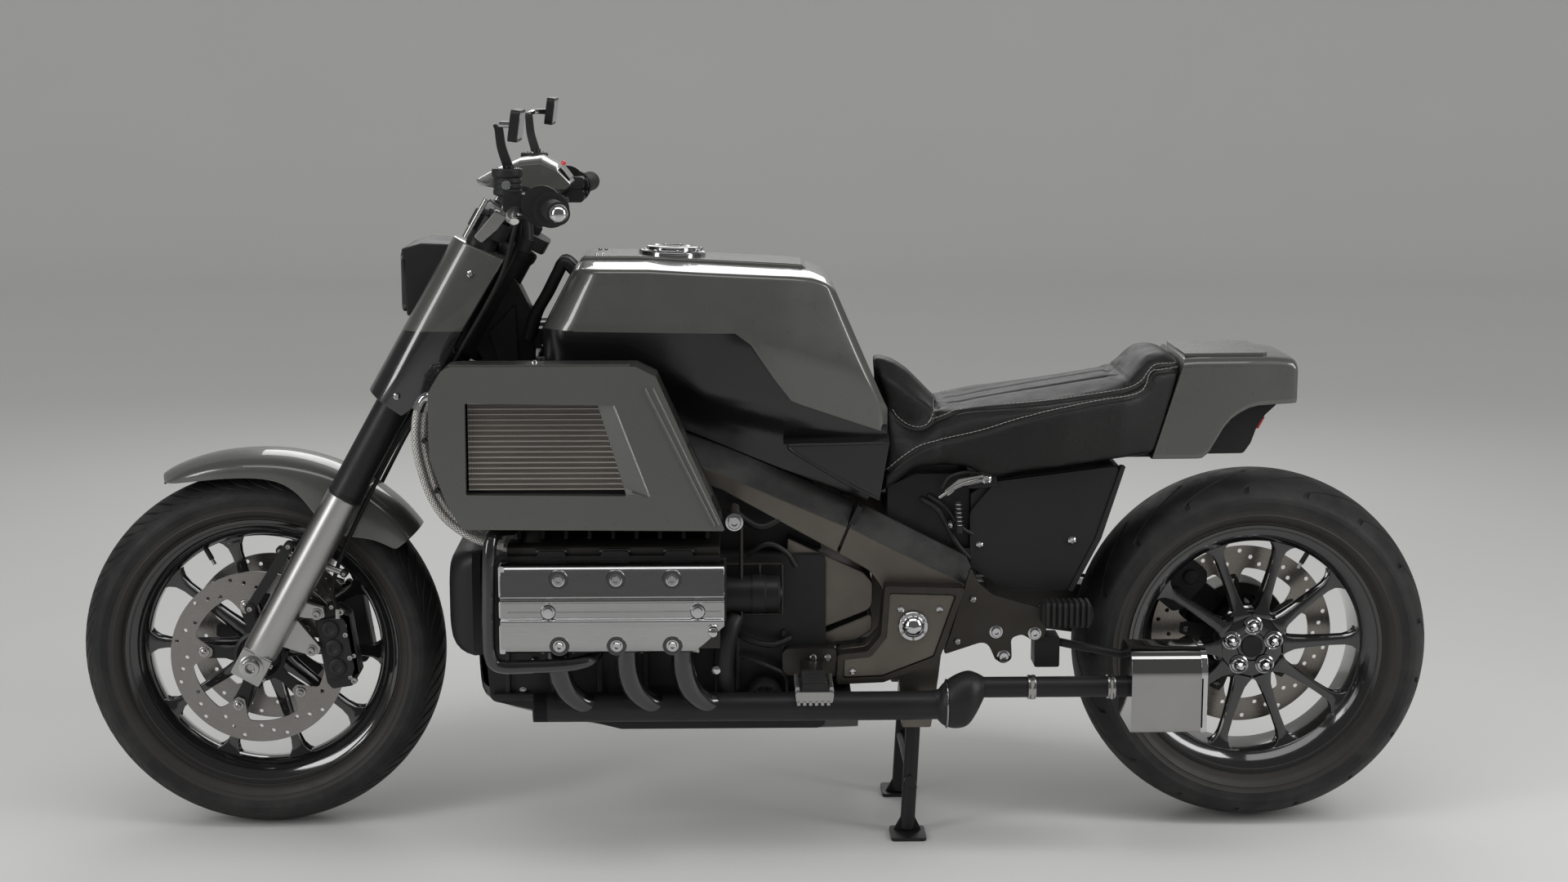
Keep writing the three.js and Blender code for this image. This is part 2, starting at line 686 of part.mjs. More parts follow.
function engineBlock() {
  const pan = bellyHeight + bellySkin + 0.5;
  const crankcase = slab([
    [-440, 500], [-452, 330], [-448, 251], [-305, pan + 18], [-230, pan], [110, pan], [110, 498],
  ], -crankcaseHalf, crankcaseHalf);
  const banks = box([bankFront, bankRear], [-bankHalf, bankHalf], [bankLow, bankHigh]);
  const nose = slab([
    [-515, 470], [-515, 372], [-488, 334], [-440, 330], [-440, 516], [-488, 510],
  ], -150, 150);
  const gearbox = box([100, 192], [-sparInner + gap, sparInner - gap], [262, 494]);
  const topFront = sparTopFront[0] + 9;
  const top = slab([
    [topFront, 490], [topFront, sparTop(topFront) - 5], [100, sparTop(100) - 5],
    [108, 490],
  ], -sparInner + 5, sparInner - 5);
  const [x, y, z] = sideStandPivot;
  const out = sideStandAxis.clone().multiplyScalar(12.5);
  const inward = sideStandAxis.clone().multiplyScalar(34);
  const standLug = rod([x + out.x, y + out.y, z + out.z],
    [x + inward.x, y + inward.y, z + inward.z], 14, 16);
  return join(crankcase, banks, nose, gearbox, top, standLug);
}

// side outline of a valve cover: x, z
const valveCoverOutline = [[-409, 522], [-409, 377], [-109, 377], [-57, 424], [-57, 522]];

function bellyPan() {
  const low = bellyHeight;
  const high = bellyHeight + bellySkin;
  return slab([
    [-470, 330], [-466, 242], [-309, low + 17], [-232, low], [165, low],
    [165, high], [-231, high], [-307, high + 17], [-457, 250], [-461, 330],
  ], -150, 150);
}

// side outlines of a radiator pod and of its grille: x, z
const podOutline = [
  [-491, 834], [-194, 834], [-162, 818], [-55, 573], [-468, 577], [-491, 620],
  [-516, 691], [-516, 794],
];
const grilleOutline = [[-459, 777], [-228, 773], [-174, 629], [-460, 632]];
// the middles of the pod's feet on the spar: x, z
const podFeet = [-310, -140].map((x) => [x, sparTop(x) - 44]);

function radiatorShroud(side) {
  const shell = sideSlab(podOutline, side, podInner, podOuter, 10);
  const feet = podFeet.map(([x, z]) => sideBox(side, [x - 20, x + 20],
    [sparOuter + gap, podInner + 5], [z - 20, z + 20]));
  const recess = sideSlab(grilleOutline, side, podOuter - grilleDepth, podOuter + 5);
  return cut(join(shell, feet), recess);
}

function radiatorCore(side) {
  const seat = podOuter - grilleDepth + gap;
  return sideSlab(inset(grilleOutline, 0.5), side, seat, seat + coreThickness);
}

// three braided hoses side by side, as one round bundle; its route: x, z
function coolantHoses(side) {
  const route = [
    [-516 - gap, 772], [-529, 772], [-541, 745], [-542, 695], [-533, 652], [-519, 612],
    [-498, 576], [-464, 545], [-426, 532], [bankFront - gap, 532],
  ];
  return tube(route.map(([x, z]) => [x, side * 238, z]), 13, 10, 24);
}

function addEngine() {
  addPiece(motorcycle, "engine_block", engineBlock(), satinBlack);
  addPiece(motorcycle, "belly_pan", bellyPan(), satinBlack);
  for (const [word, side] of sides) {
    const seat = bankHalf + gap;
    const valveCover = sideSlab(valveCoverOutline, side, seat, seat + valveCoverDepth, 5);
    addPiece(motorcycle, `valve_cover_${word}`, valveCover, polished);
    addPiece(motorcycle, `radiator_shroud_${word}`, radiatorShroud(side), paint);
    addPiece(motorcycle, `radiator_core_${word}`, radiatorCore(side), bronzeAlloy);
    addPiece(motorcycle, `coolant_hoses_${word}`, coolantHoses(side), braid);
  }
}

// ---------------------------------------------------------------- bodywork

// the tank's cross sections, columns: x, top z, top half, shoulder drop, shoulder half,
// widest z, widest half, foot half
const tankSections = [
  [-390, 980, 62, 26, 112, 872, 156, 132],
  [-260, 980, 74, 24, 134, 872, 182, 158],
  [-100, 974, 78, 24, 142, 866, 190, 160],
  [40, 966, 70, 26, 132, 850, 180, 152],
  [140, 956, 56, 28, 108, 810, 152, 138],
  [230, 936, 48, 30, 92, 770, 134, 126],
];
const tankFront = sparTopFront[0] + 23;
const tankRear = [[88, 962], [133, 942], [212, 734], [212, 690], [198, 592]];
// where the painted top meets the black lower cover: x, z
const tankSeam = [[-420, 872], [-32, 867], [47, 756], [250, 680]];

function tankBody() {
  const keel = 520;
  const body = loft(tankSections.map(([x, topZ, top, drop, shoulder, wideZ, wide, foot]) => ({
    x,
    half: [[foot, keel], [foot, keel + 120], [wide, wideZ], [shoulder, topZ - drop], [top, topZ]],
  })));
  const rest = (x) => [x, sparTop(x) + 0.5];
  const outline = [
    rest(tankFront), [tankFront, 874], [tankFront + 53, 974], ...tankRear, rest(196),
  ];
  return body.intersect(slab(outline, -400, 400));
}

function fuelTank() {
  return tankBody().intersect(slab([...tankSeam, [250, 1100], [-420, 1100]], -400, 400));
}

function tankLowerCover() {
  const below = tankSeam.map(([x, z]) => [x, z - 0.5]);
  return tankBody().intersect(slab([...below, [250, 400], [-420, 400]], -400, 400));
}

// seat and tail cross sections, columns: x, top z, half width
const seatSections = [
  [186, 816, 96], [220, 800, 112], [284, 763, 138], [322, 741, 150], [380, 744, 164],
  [500, 761, 170], [600, 780, 156], [645, 817, 132], [682, 822, 118], [712, 812, 110],
];
const tailSections = [
  [640, 814, 112], [760, 814, 104], [850, 814, 90], [882, 812, 80], [896, 800, 72],
];

function rounded(sections, keel) {
  return loft(sections.map(([x, topZ, half]) => ({
    x,
    half: [
      [half - 30, keel], [half, topZ - 60], [half - 8, topZ - 26],
      [half - 30, topZ - 7], [half - 62, topZ],
    ],
  })));
}

function seatPad() {
  const outline = [
    [188, 830], [190, 806], [215.5, 736], [215.5, 689], [202, 592], [253, 627],
    ...seatBase.slice(0, 3), [703, 812], [700, 860],
  ];
  return rounded(seatSections, 560).intersect(slab(outline, -300, 300));
}

// the tail's lower edge, from the seat to the rear: x, z
const tailFoot = [[653, 646], [742, 646], [800, 718], [867, 734], [891, 737]];

function tailCowl() {
  const outline = [[704, 812], ...tailFoot, [891, 803], [882, 812]];
  return rounded(tailSections, 600).intersect(slab(outline, -300, 300));
}

function tailLamp() {
  return slab([[742.5, 645.6], [821, 647], [866, 733.2], [800.3, 717.5]], -58, 58);
}

function addBodywork() {
  addPiece(motorcycle, "fuel_tank", fuelTank(), paint);
  addPiece(motorcycle, "tank_lower_cover", tankLowerCover(), glossBlack);
  addPiece(motorcycle, "seat", seatPad(), leather);
  addPiece(motorcycle, "tail_cowl", tailCowl(), paint);
  addPiece(motorcycle, "tail_lamp", tailLamp(), glossBlack);
}

// ---------------------------------------------------------------- rear arm, exhaust, pegs

function swingarm() {
  const pivot = [285, 375];
  const pivotTube = rod([pivot[0], -sparInner + gap, pivot[1]],
    [pivot[0], sparInner - gap, pivot[1]], 28, 24);
  const root = slab([
    [pivot[0], 347], [pivot[0], 403], [400, 398], [400, 318], [340, 322],
  ], 62, sparInner - gap);
  const arm = slab([
    [360, 321], [360, 400], [420, 398], [rearAxleX - 60, 362], [rearAxleX, 352],
    [rearAxleX, 262], [rearAxleX - 70, 268], [420, 316],
  ], 101, 150);
  const at = (y) => [rearAxleX, y, axleHeight];
  const housing = rod(at(62), at(158), 88, 32);
  const stub = rod(at(-rearHubLeft + 18), at(64), stubRadius, 20);
  const discLow = rearHubRight + 16 + gap;
  const discFaces = [discLow, discLow + discThickness];
  const grip = caliper(1, THREE.MathUtils.degToRad(140), [112, 176], 46,
    [discFaces[0] - padGap - 12, discFaces[1] + padGap + 14], discFaces, rearDiscRadius);
  const carrier = slab(turnOutline([[60, -30], [150, -26], [150, 26], [60, 30]],
    THREE.MathUtils.degToRad(140)), discFaces[1] + padGap + 6, 80);
  const brake = join(grip, carrier).translate([rearAxleX, 0, axleHeight]);
  return join(pivotTube, root, arm, housing, stub, brake);
}

const headerPlaces = [-325, -215, -125];
const collectorSpan = [293, 361];

function exhaustPipe(side) {
  const y = (value) => side * value;
  const headers = headerPlaces.map((x) => tube([
    [x, y(264), bankLow - gap], [x, y(264), 345], [x + 10, y(254), 300],
    [x + 40, y(pipeHalf), pipeHeight],
  ], 19, 10, 6));
  const main = rod([-345, y(pipeHalf), pipeHeight], [300, y(pipeHalf), pipeHeight], pipeRadius, 20);
  const collector = sideSlab([
    [collectorSpan[0], 318], [collectorSpan[0], 232], [345, 230], [collectorSpan[1], 246],
    [collectorSpan[1], 304], [345, 320],
  ], side, pipeHalf - 42, pipeHalf + 28, 6);
  const link = rod([355, y(pipeHalf), linkHeight], [597 - gap, y(pipeHalf), linkHeight], 23, 20);
  return join(headers, main, collector, link);
}

function muffler(side) {
  const [inner, outer] = [mufflerInner, mufflerOuter].map((value) => side * value);
  const step = side * 26;
  return bar([
    [inner, 218], [inner, 350], [inner + step, 379], [outer - step, 379], [outer, 350],
    [outer, 218], [outer - side * 6, 212], [inner + side * 6, 212],
  ], 597, 728);
}

// side outlines, columns: x, z
const sideCoverOutline = [
  [205, 452], [337, 448], [295, 326], [204, 290], [127, 287], [128, 337], [177, 342], [199, 369],
];
const hangerOutline = [[348, 476], [378, 434], [475, 405], [475, 384], [379, 361], [306, 332]];

function sideCover(side) {
  const cap = rod([252, side * 196, 385], [252, side * 206, 385], 23, 24);
  return join(sideSlab(sideCoverOutline, side, sparOuter + gap, 197), cap);
}

function footpeg(side) {
  const inner = crankcaseHalf + gap;
  const hanger = sideSlab([[38, 306], [38, 346], [119, 348], [126, 334], [126, 303]],
    side, inner, inner + 22);
  const arm = sideBox(side, [64, 106], [inner + 18, 262], [300, 328]);
  const peg = sideSlab([[54, 318], [62, 329], [108, 329], [116, 318], [108, 297], [62, 297]],
    side, 258, 352);
  return join(hanger, arm, peg);
}

function passengerPeg(side) {
  const hanger = sideSlab(hangerOutline, side, sparOuter + gap, sparOuter + gap + 11.7);
  const peg = sideSlab([[462, 424], [547, 422], [547, 382], [462, 380]],
    side, sparOuter + gap, 204, 4);
  return join(hanger, peg);
}

function addRunningGear() {
  addPiece(motorcycle, "swingarm", swingarm(), castAlloy);
  for (const [word, side] of sides) {
    addPiece(motorcycle, `exhaust_pipe_${word}`, exhaustPipe(side), satinBlack);
    addPiece(motorcycle, `muffler_${word}`, muffler(side), chrome);
    addPiece(motorcycle, `side_cover_${word}`, sideCover(side), aluminium);
    addPiece(motorcycle, `footpeg_${word}`, footpeg(side), aluminium);
    addPiece(motorcycle, `passenger_peg_${word}`, passengerPeg(side), castAlloy);
  }
}

// ---------------------------------------------------------------- stands

function centreStand() {
  const cross = rod([standPivotX, -sparInner + gap, standPivotHeight],
    [standPivotX, sparInner - gap, standPivotHeight], 13, 20);
  const brace = rod([standFootX + 5, -98, 112], [standFootX + 5, 98, 112], 10, 16);
  const legs = sides.map(([, side]) => rod([standPivotX, side * 98, standPivotHeight],
    [standFootX, side * 104, 6], 13, 16));
  const feet = sides.map(([, side]) => sideBox(side, [standFootX - 30, standFootX + 30],
    [84, 152], [0, 10]));
  return join(cross, brace, legs, feet);
}

function sideStand() {
  const [x, y, z] = sideStandPivot;
  const along = sideStandAxis.clone().multiplyScalar(12.2);
  const boss = rod([x - along.x, y - along.y, z - along.z],
    [x + along.x, y + along.y, z + along.z], 15, 20);
  const end = [x + sideStandLength - 14, y + 8, z + 9];
  const leg = rod([x, y, z], end, 10, 14);
  const foot = box([end[0] - 16, end[0] + 14], [end[1] - 16, end[1] + 14], [end[2] - 11, end[2] + 11]);
  return join(boss, leg, foot);
}

function addStands() {
  addPiece(motorcycle, "centre_stand", centreStand(), satinBlack);
  addPiece(motorcycle, "side_stand", sideStand(), satinBlack);
}

addWheels();
addSteered();
addFrame();
addEngine();
addBodywork();
addRunningGear();
addStands();

export default motorcycle;
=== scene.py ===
import math

import bmesh
import bpy
import numpy as np
from mathutils import Matrix, Vector, geometry
from mathutils.bvhtree import BVHTree


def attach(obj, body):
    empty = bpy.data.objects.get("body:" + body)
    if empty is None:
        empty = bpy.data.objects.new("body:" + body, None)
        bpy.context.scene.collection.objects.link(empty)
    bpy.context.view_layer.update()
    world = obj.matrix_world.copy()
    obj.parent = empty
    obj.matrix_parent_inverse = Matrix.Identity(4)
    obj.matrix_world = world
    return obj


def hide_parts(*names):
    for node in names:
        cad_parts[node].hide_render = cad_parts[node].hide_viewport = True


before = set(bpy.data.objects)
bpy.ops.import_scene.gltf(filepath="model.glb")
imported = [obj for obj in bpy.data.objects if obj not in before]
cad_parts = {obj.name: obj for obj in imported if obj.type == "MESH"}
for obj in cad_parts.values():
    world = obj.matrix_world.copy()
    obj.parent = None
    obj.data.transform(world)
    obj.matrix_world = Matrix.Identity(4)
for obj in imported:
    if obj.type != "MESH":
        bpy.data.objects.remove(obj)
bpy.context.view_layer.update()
scene = bpy.context.scene

# Sizes below are in millimetres, as in the part's source: x to the rear, y to the rider's
# right, z up. They become metres where a mesh is made.
milli = 0.001
rake = math.radians(29.25)
frontAxle = (-843.5, 0.0, 307.0)
rearAxle = (846.5, 0.0, 307.0)
yokePlace = (-509.97, 0.0, 790.0)
frontHub, rearHub = (frontAxle[0], frontAxle[2]), (rearAxle[0], rearAxle[2])
sides = (("left", -1), ("right", 1))


def say(text):
    print("scene:", text, flush=True)


def placed(name, data):
    # a new object in the scene
    obj = bpy.data.objects.new(name, data)
    scene.collection.objects.link(obj)
    return obj


# camera, floor and lights

view = {
    "place": (-0.0445, -3.942, 1.338),
    "turn": 1.29,
    "tilt": 9.75,
    "lens": 54.0,
}
studio = {
    "floor": (0.6, 0.6, 0.59, 1),
    "backdrop": (0.13, 0.13, 0.13, 1),
    "fill": 0.55,
    "softboxes": (
        # place, looks at, width, depth, watts
        ((0.0, -1.2, 3.2), (0.0, 0.0, 0.4), 3.4, 1.0, 25),
        ((-3.0, -2.2, 1.9), (-0.3, 0.0, 0.5), 0.8, 2.4, 44),
        ((2.9, -1.3, 2.0), (0.4, 0.0, 0.6), 0.8, 2.4, 44),
        ((0.0, 3.6, 2.4), (0.0, 0.0, 0.5), 3.2, 1.4, 30),
    ),
}


def setCamera():
    lens = bpy.data.cameras.new("camera")
    lens.lens = view["lens"]
    lens.sensor_width = 36.0
    lens.clip_end = 60.0
    camera = placed("camera", lens)
    camera.location = view["place"]
    camera.rotation_euler = (math.radians(90 - view["tilt"]), 0, -math.radians(view["turn"]))
    scene.camera = camera


def setStudio():
    scene.view_settings.view_transform = "Standard"
    for k, (place, target, width, depth, watts) in enumerate(studio["softboxes"]):
        lamp = bpy.data.lights.new(f"softbox{k}", "AREA")
        lamp.shape = "RECTANGLE"
        lamp.size, lamp.size_y, lamp.energy = width, depth, watts
        holder = placed(f"softbox{k}", lamp)
        holder.location = place
        aim = Vector(target) - Vector(place)
        holder.rotation_euler = aim.to_track_quat("-Z", "Y").to_euler()


# node writing: a wire is one socket, and maths on wires adds nodes

class Wire:
    def __init__(self, bench, socket):
        self.bench, self.socket = bench, socket

    def maths(self, operation, *others):
        return self.bench.put("ShaderNodeMath", {"operation": operation},
            {k: value for k, value in enumerate((self, *others))})

    def __add__(self, other):
        return self.maths("ADD", other)

    def __mul__(self, other):
        return self.maths("MULTIPLY", other)

    def __sub__(self, other):
        return self.maths("SUBTRACT", other)

    def __truediv__(self, other):
        return self.maths("DIVIDE", other)

    def __rsub__(self, other):
        return self.bench.put("ShaderNodeMath", {"operation": "SUBTRACT"}, {0: other, 1: self})

    __radd__, __rmul__ = __add__, __mul__


class Bench:
    def __init__(self, tree):
        self.tree = tree
        tree.nodes.clear()

    def put(self, kind, settings=None, values=None, out=0):
        node = self.tree.nodes.new(kind)
        for key, value in (settings or {}).items():
            setattr(node, key, value)
        for key, value in (values or {}).items():
            if isinstance(value, Wire):
                self.tree.links.new(value.socket, node.inputs[key])
            elif value is not None:
                node.inputs[key].default_value = value
        return Wire(self, node.outputs[out]) if len(node.outputs) else node


class Finish(Bench):
    # a bench that writes one material
    def __init__(self, name):
        self.material = bpy.data.materials.new(name)
        self.material.use_nodes = True
        super().__init__(self.material.node_tree)
        self.object = self.put("ShaderNodeTexCoord", out="Object")

    def place(self, centre=(0, 0, 0), turn=(0, 0, 0), scale=(1, 1, 1), source=None):
        return self.put("ShaderNodeMapping", {"vector_type": "TEXTURE"},
            {"Vector": source or self.object, "Location": centre, "Rotation": turn, "Scale": scale})

    def noise(self, scale, detail=2.0, rough=0.5, vector=None, stretch=None):
        if stretch:
            vector = self.put("ShaderNodeVectorMath", {"operation": "MULTIPLY"},
                {0: vector or self.object, 1: stretch})
        return self.put("ShaderNodeTexNoise", None,
            {"Vector": vector or self.object, "Scale": scale, "Detail": detail, "Roughness": rough})

    def spread(self, value, low, high, fromLow=0.3, fromHigh=0.7):
        return self.put("ShaderNodeMapRange", None,
            {"Value": value, "From Min": fromLow, "From Max": fromHigh, "To Min": low, "To Max": high})

    def blend(self, share, first, second):
        return self.put("ShaderNodeMix", {"data_type": "RGBA"},
            {"Factor": share, 6: tone(first), 7: tone(second)}, out=2)

    def bump(self, height, distance, under=None):
        return self.put("ShaderNodeBump", None, {"Height": height, "Distance": distance, "Strength": 1.0,
            "Normal": under})

    def shade(self, **values):
        # coatWeight sets the socket "Coat Weight"
        names = {key: "".join(" " + c if c.isupper() else c for c in key).title() for key in values}
        shader = self.put("ShaderNodeBsdfPrincipled", None,
            {names[key].replace("Ior", "IOR"): value for key, value in values.items()})
        self.put("ShaderNodeOutputMaterial", None, {"Surface": shader})
        return self.material


def tone(colour):
    return colour if isinstance(colour, Wire) else (*colour[:3], 1)


def shift(colour, factor):
    return tuple(min(1.0, part * factor) for part in colour)


# finishes

def paintFinish(name, colour, metal=0.35, peel=0.00004):
    f = Finish(name)
    drift = f.noise(2.2, 3)
    flake = f.put("ShaderNodeTexVoronoi", None, {"Vector": f.object, "Scale": 1400}, "Color")
    spark = f.put("ShaderNodeSeparateColor", None, {"Color": flake})
    base = f.blend(f.spread(drift, 0, 1), shift(colour, 0.92), shift(colour, 1.08))
    base = f.blend(spark * 0.22, base, shift(colour, 1.9))
    rough = f.spread(f.noise(30, 4), 0.26, 0.36) + spark * 0.06
    return f.shade(baseColor=base, roughness=rough, metallic=metal, coatWeight=1.0, coatRoughness=0.035,
        normal=f.bump(f.noise(330, 2), peel))


def glossFinish(name, colour, coat=1.0, rough=0.2):
    f = Finish(name)
    smear = f.noise(9, 5, 0.6, stretch=(1, 1, 2.5))
    base = f.blend(f.spread(f.noise(3, 2), 0, 1), colour, shift(colour, 1.5))
    return f.shade(baseColor=base, roughness=f.spread(smear, rough * 0.75, rough * 1.35), coatWeight=coat,
        coatRoughness=0.04, normal=f.bump(f.noise(260, 2), 0.00003))


def satinFinish(name, colour, rough=0.42, metal=0.0, grain=900, depth=0.00006, shine=0.3):
    f = Finish(name)
    wear = f.noise(6, 6, 0.62)
    base = f.blend(f.spread(wear, 0, 1, 0.35, 0.7), colour, shift(colour, 1.35))
    fine = f.noise(grain, 3, 0.55)
    return f.shade(baseColor=base, metallic=metal, specularIorLevel=shine,
        roughness=f.spread(f.noise(22, 5, 0.6), rough * 0.86, rough * 1.16), normal=f.bump(fine, depth))


def castFinish(name, colour, rough=0.5, metal=0.75):
    f = Finish(name)
    lump = f.noise(420, 4, 0.65)
    grime = f.spread(f.noise(11, 6, 0.65), 0, 1, 0.42, 0.68)
    base = f.blend(grime, colour, shift(colour, 0.62))
    edge = f.put("ShaderNodeNewGeometry", out="Pointiness")
    base = f.blend(f.spread(edge, 0, 0.55, 0.52, 0.62), base, shift(colour, 2.2))
    return f.shade(baseColor=base, metallic=metal, roughness=f.spread(grime, rough * 0.85, rough * 1.2, 0,
        1), normal=f.bump(lump, 0.00022))


def brushedFinish(name, colour, rough=0.3, stretch=(4, 4, 90), depth=0.00003, spread=0.25, metal=1.0,
        turn=(0, 0, 0)):
    f = Finish(name)
    along = f.place(turn=turn)
    lines = f.noise(14, 6, 0.7, vector=along, stretch=stretch)
    patch = f.noise(7, 4, 0.6)
    base = f.blend(f.spread(lines, 0, 1), shift(colour, 0.9), shift(colour, 1.05))
    base = f.blend(f.spread(patch, 0, 0.35), base, shift(colour, 0.8))
    rough = f.spread(lines, rough * (1 - spread), rough * (1 + spread)) + f.spread(patch, -0.03, 0.04)
    return f.shade(baseColor=base, metallic=metal, roughness=rough, normal=f.bump(lines, depth))


def turnedFinish(name, colour, centre, rough=0.26, depth=0.00004, metal=1.0):
    f = Finish(name)
    apart = f.put("ShaderNodeSeparateXYZ", None, {"Vector": f.place(centre=centre)})
    across = Wire(f, apart.socket.node.outputs["X"])
    upward = Wire(f, apart.socket.node.outputs["Z"])
    radius = (across * across + upward * upward).maths("SQRT")
    rings = f.put("ShaderNodeTexNoise", {"noise_dimensions": "1D"},
        {"W": radius, "Scale": 1300, "Detail": 4.0})
    haze = f.noise(16, 4)
    base = f.blend(f.spread(rings, 0, 1), shift(colour, 0.8), shift(colour, 1.08))
    base = f.blend(f.spread(haze, 0, 0.4), base, shift(colour, 0.7))
    return f.shade(baseColor=base, metallic=metal, roughness=f.spread(rings, rough * 0.75, rough * 1.3),
        normal=f.bump(rings, depth))


def chromeFinish(name, colour=(0.6, 0.6, 0.61), rough=0.045):
    f = Finish(name)
    haze = f.spread(f.noise(10, 5, 0.6), 0, 1, 0.4, 0.75)
    base = f.blend(haze, colour, shift(colour, 0.9))
    return f.shade(baseColor=base, metallic=1.0, roughness=f.spread(haze, rough, rough * 2.4, 0, 1),
        normal=f.bump(f.noise(40, 3), 0.00003))


def rubberFinish(name, colour=(0.021, 0.021, 0.022), rough=0.72, dust=0.5, scale=500):
    f = Finish(name)
    film = f.spread(f.noise(13, 6, 0.65), 0, dust, 0.42, 0.72)
    base = f.blend(film, colour, (0.045, 0.043, 0.04))
    return f.shade(baseColor=base, specularIorLevel=0.3, roughness=f.spread(f.noise(45, 4), rough * 0.84,
        rough * 1.1), normal=f.bump(f.noise(scale, 4, 0.6), 0.00012))


def leatherFinish(name, colour=(0.0075, 0.0072, 0.007)):
    f = Finish(name)
    warped = f.put("ShaderNodeVectorMath", {"operation": "ADD"}, {0: f.object,
        1: f.put("ShaderNodeVectorMath", {"operation": "SCALE"}, {0: f.put("ShaderNodeTexNoise", None,
        {"Vector": f.object, "Scale": 260}, "Color"), "Scale": 0.0016})})
    grain = f.put("ShaderNodeTexVoronoi", {"feature": "DISTANCE_TO_EDGE"},
        {"Vector": warped, "Scale": 560})
    pores = f.spread(grain, 0, 1, 0.0, 0.16)
    crease = f.noise(26, 6, 0.6, stretch=(1.0, 1.6, 1.0))
    worn = f.spread(f.noise(5, 4), 0, 1, 0.42, 0.66)
    base = f.blend(pores, shift(colour, 0.45), f.blend(worn, colour, shift(colour, 1.7)))
    rough = f.spread(crease, 0.36, 0.48) - pores * 0.05
    return f.shade(baseColor=base, roughness=rough, specularIorLevel=0.34,
        normal=f.bump(pores, 0.00014, f.bump(crease, 0.0009)))


def braidFinish(name):
    f = Finish(name)
    uv = f.put("ShaderNodeUVMap", {"uv_map": "weave"})
    apart = f.put("ShaderNodeSeparateXYZ", None, {"Vector": uv})
    u, v = (Wire(f, apart.socket.node.outputs[key]) for key in "XY")
    strands, threads = 6.2832, 25.1  # radians for each unit of the weave
    over = ((u + v) * strands).maths("SINE")
    under = ((u - v) * strands).maths("SINE")
    strand = (((u + v) * threads).maths("SINE") * over + ((u - v) * threads).maths("SINE") * under)
    height = over.maths("MAXIMUM", under) + strand * 0.12
    # painted shade and painted highlight: the hollows between the wires are painted dark and dull, the
    # strands' tops pale and metallic
    paintedWeaveLight = f.spread(height, 0, 1, -0.4, 0.9)
    base = f.blend(paintedWeaveLight, (0.12, 0.11, 0.1), (0.78, 0.76, 0.72))
    return f.shade(baseColor=base, metallic=paintedWeaveLight * 0.85, roughness=f.spread(paintedWeaveLight, 0.5, 0.28, 0, 1),
        normal=f.bump(height, 0.0005))


def glassFinish(name, colour=(0.9, 0.92, 0.93), rough=0.02):
    f = Finish(name)
    dust = f.spread(f.noise(35, 6, 0.6), rough, rough + 0.05, 0.45, 0.7)
    return f.shade(baseColor=tone(colour), roughness=dust, transmissionWeight=0.92, ior=1.46,
        coatWeight=0.5, coatRoughness=0.02)


def screenFinish(name):
    f = Finish(name)
    haze = f.noise(30, 4)
    return f.shade(baseColor=f.blend(f.spread(haze, 0, 1), (0.006, 0.007, 0.008), (0.012, 0.013, 0.014)),
        roughness=f.spread(haze, 0.06, 0.12), coatWeight=1.0, coatRoughness=0.02)


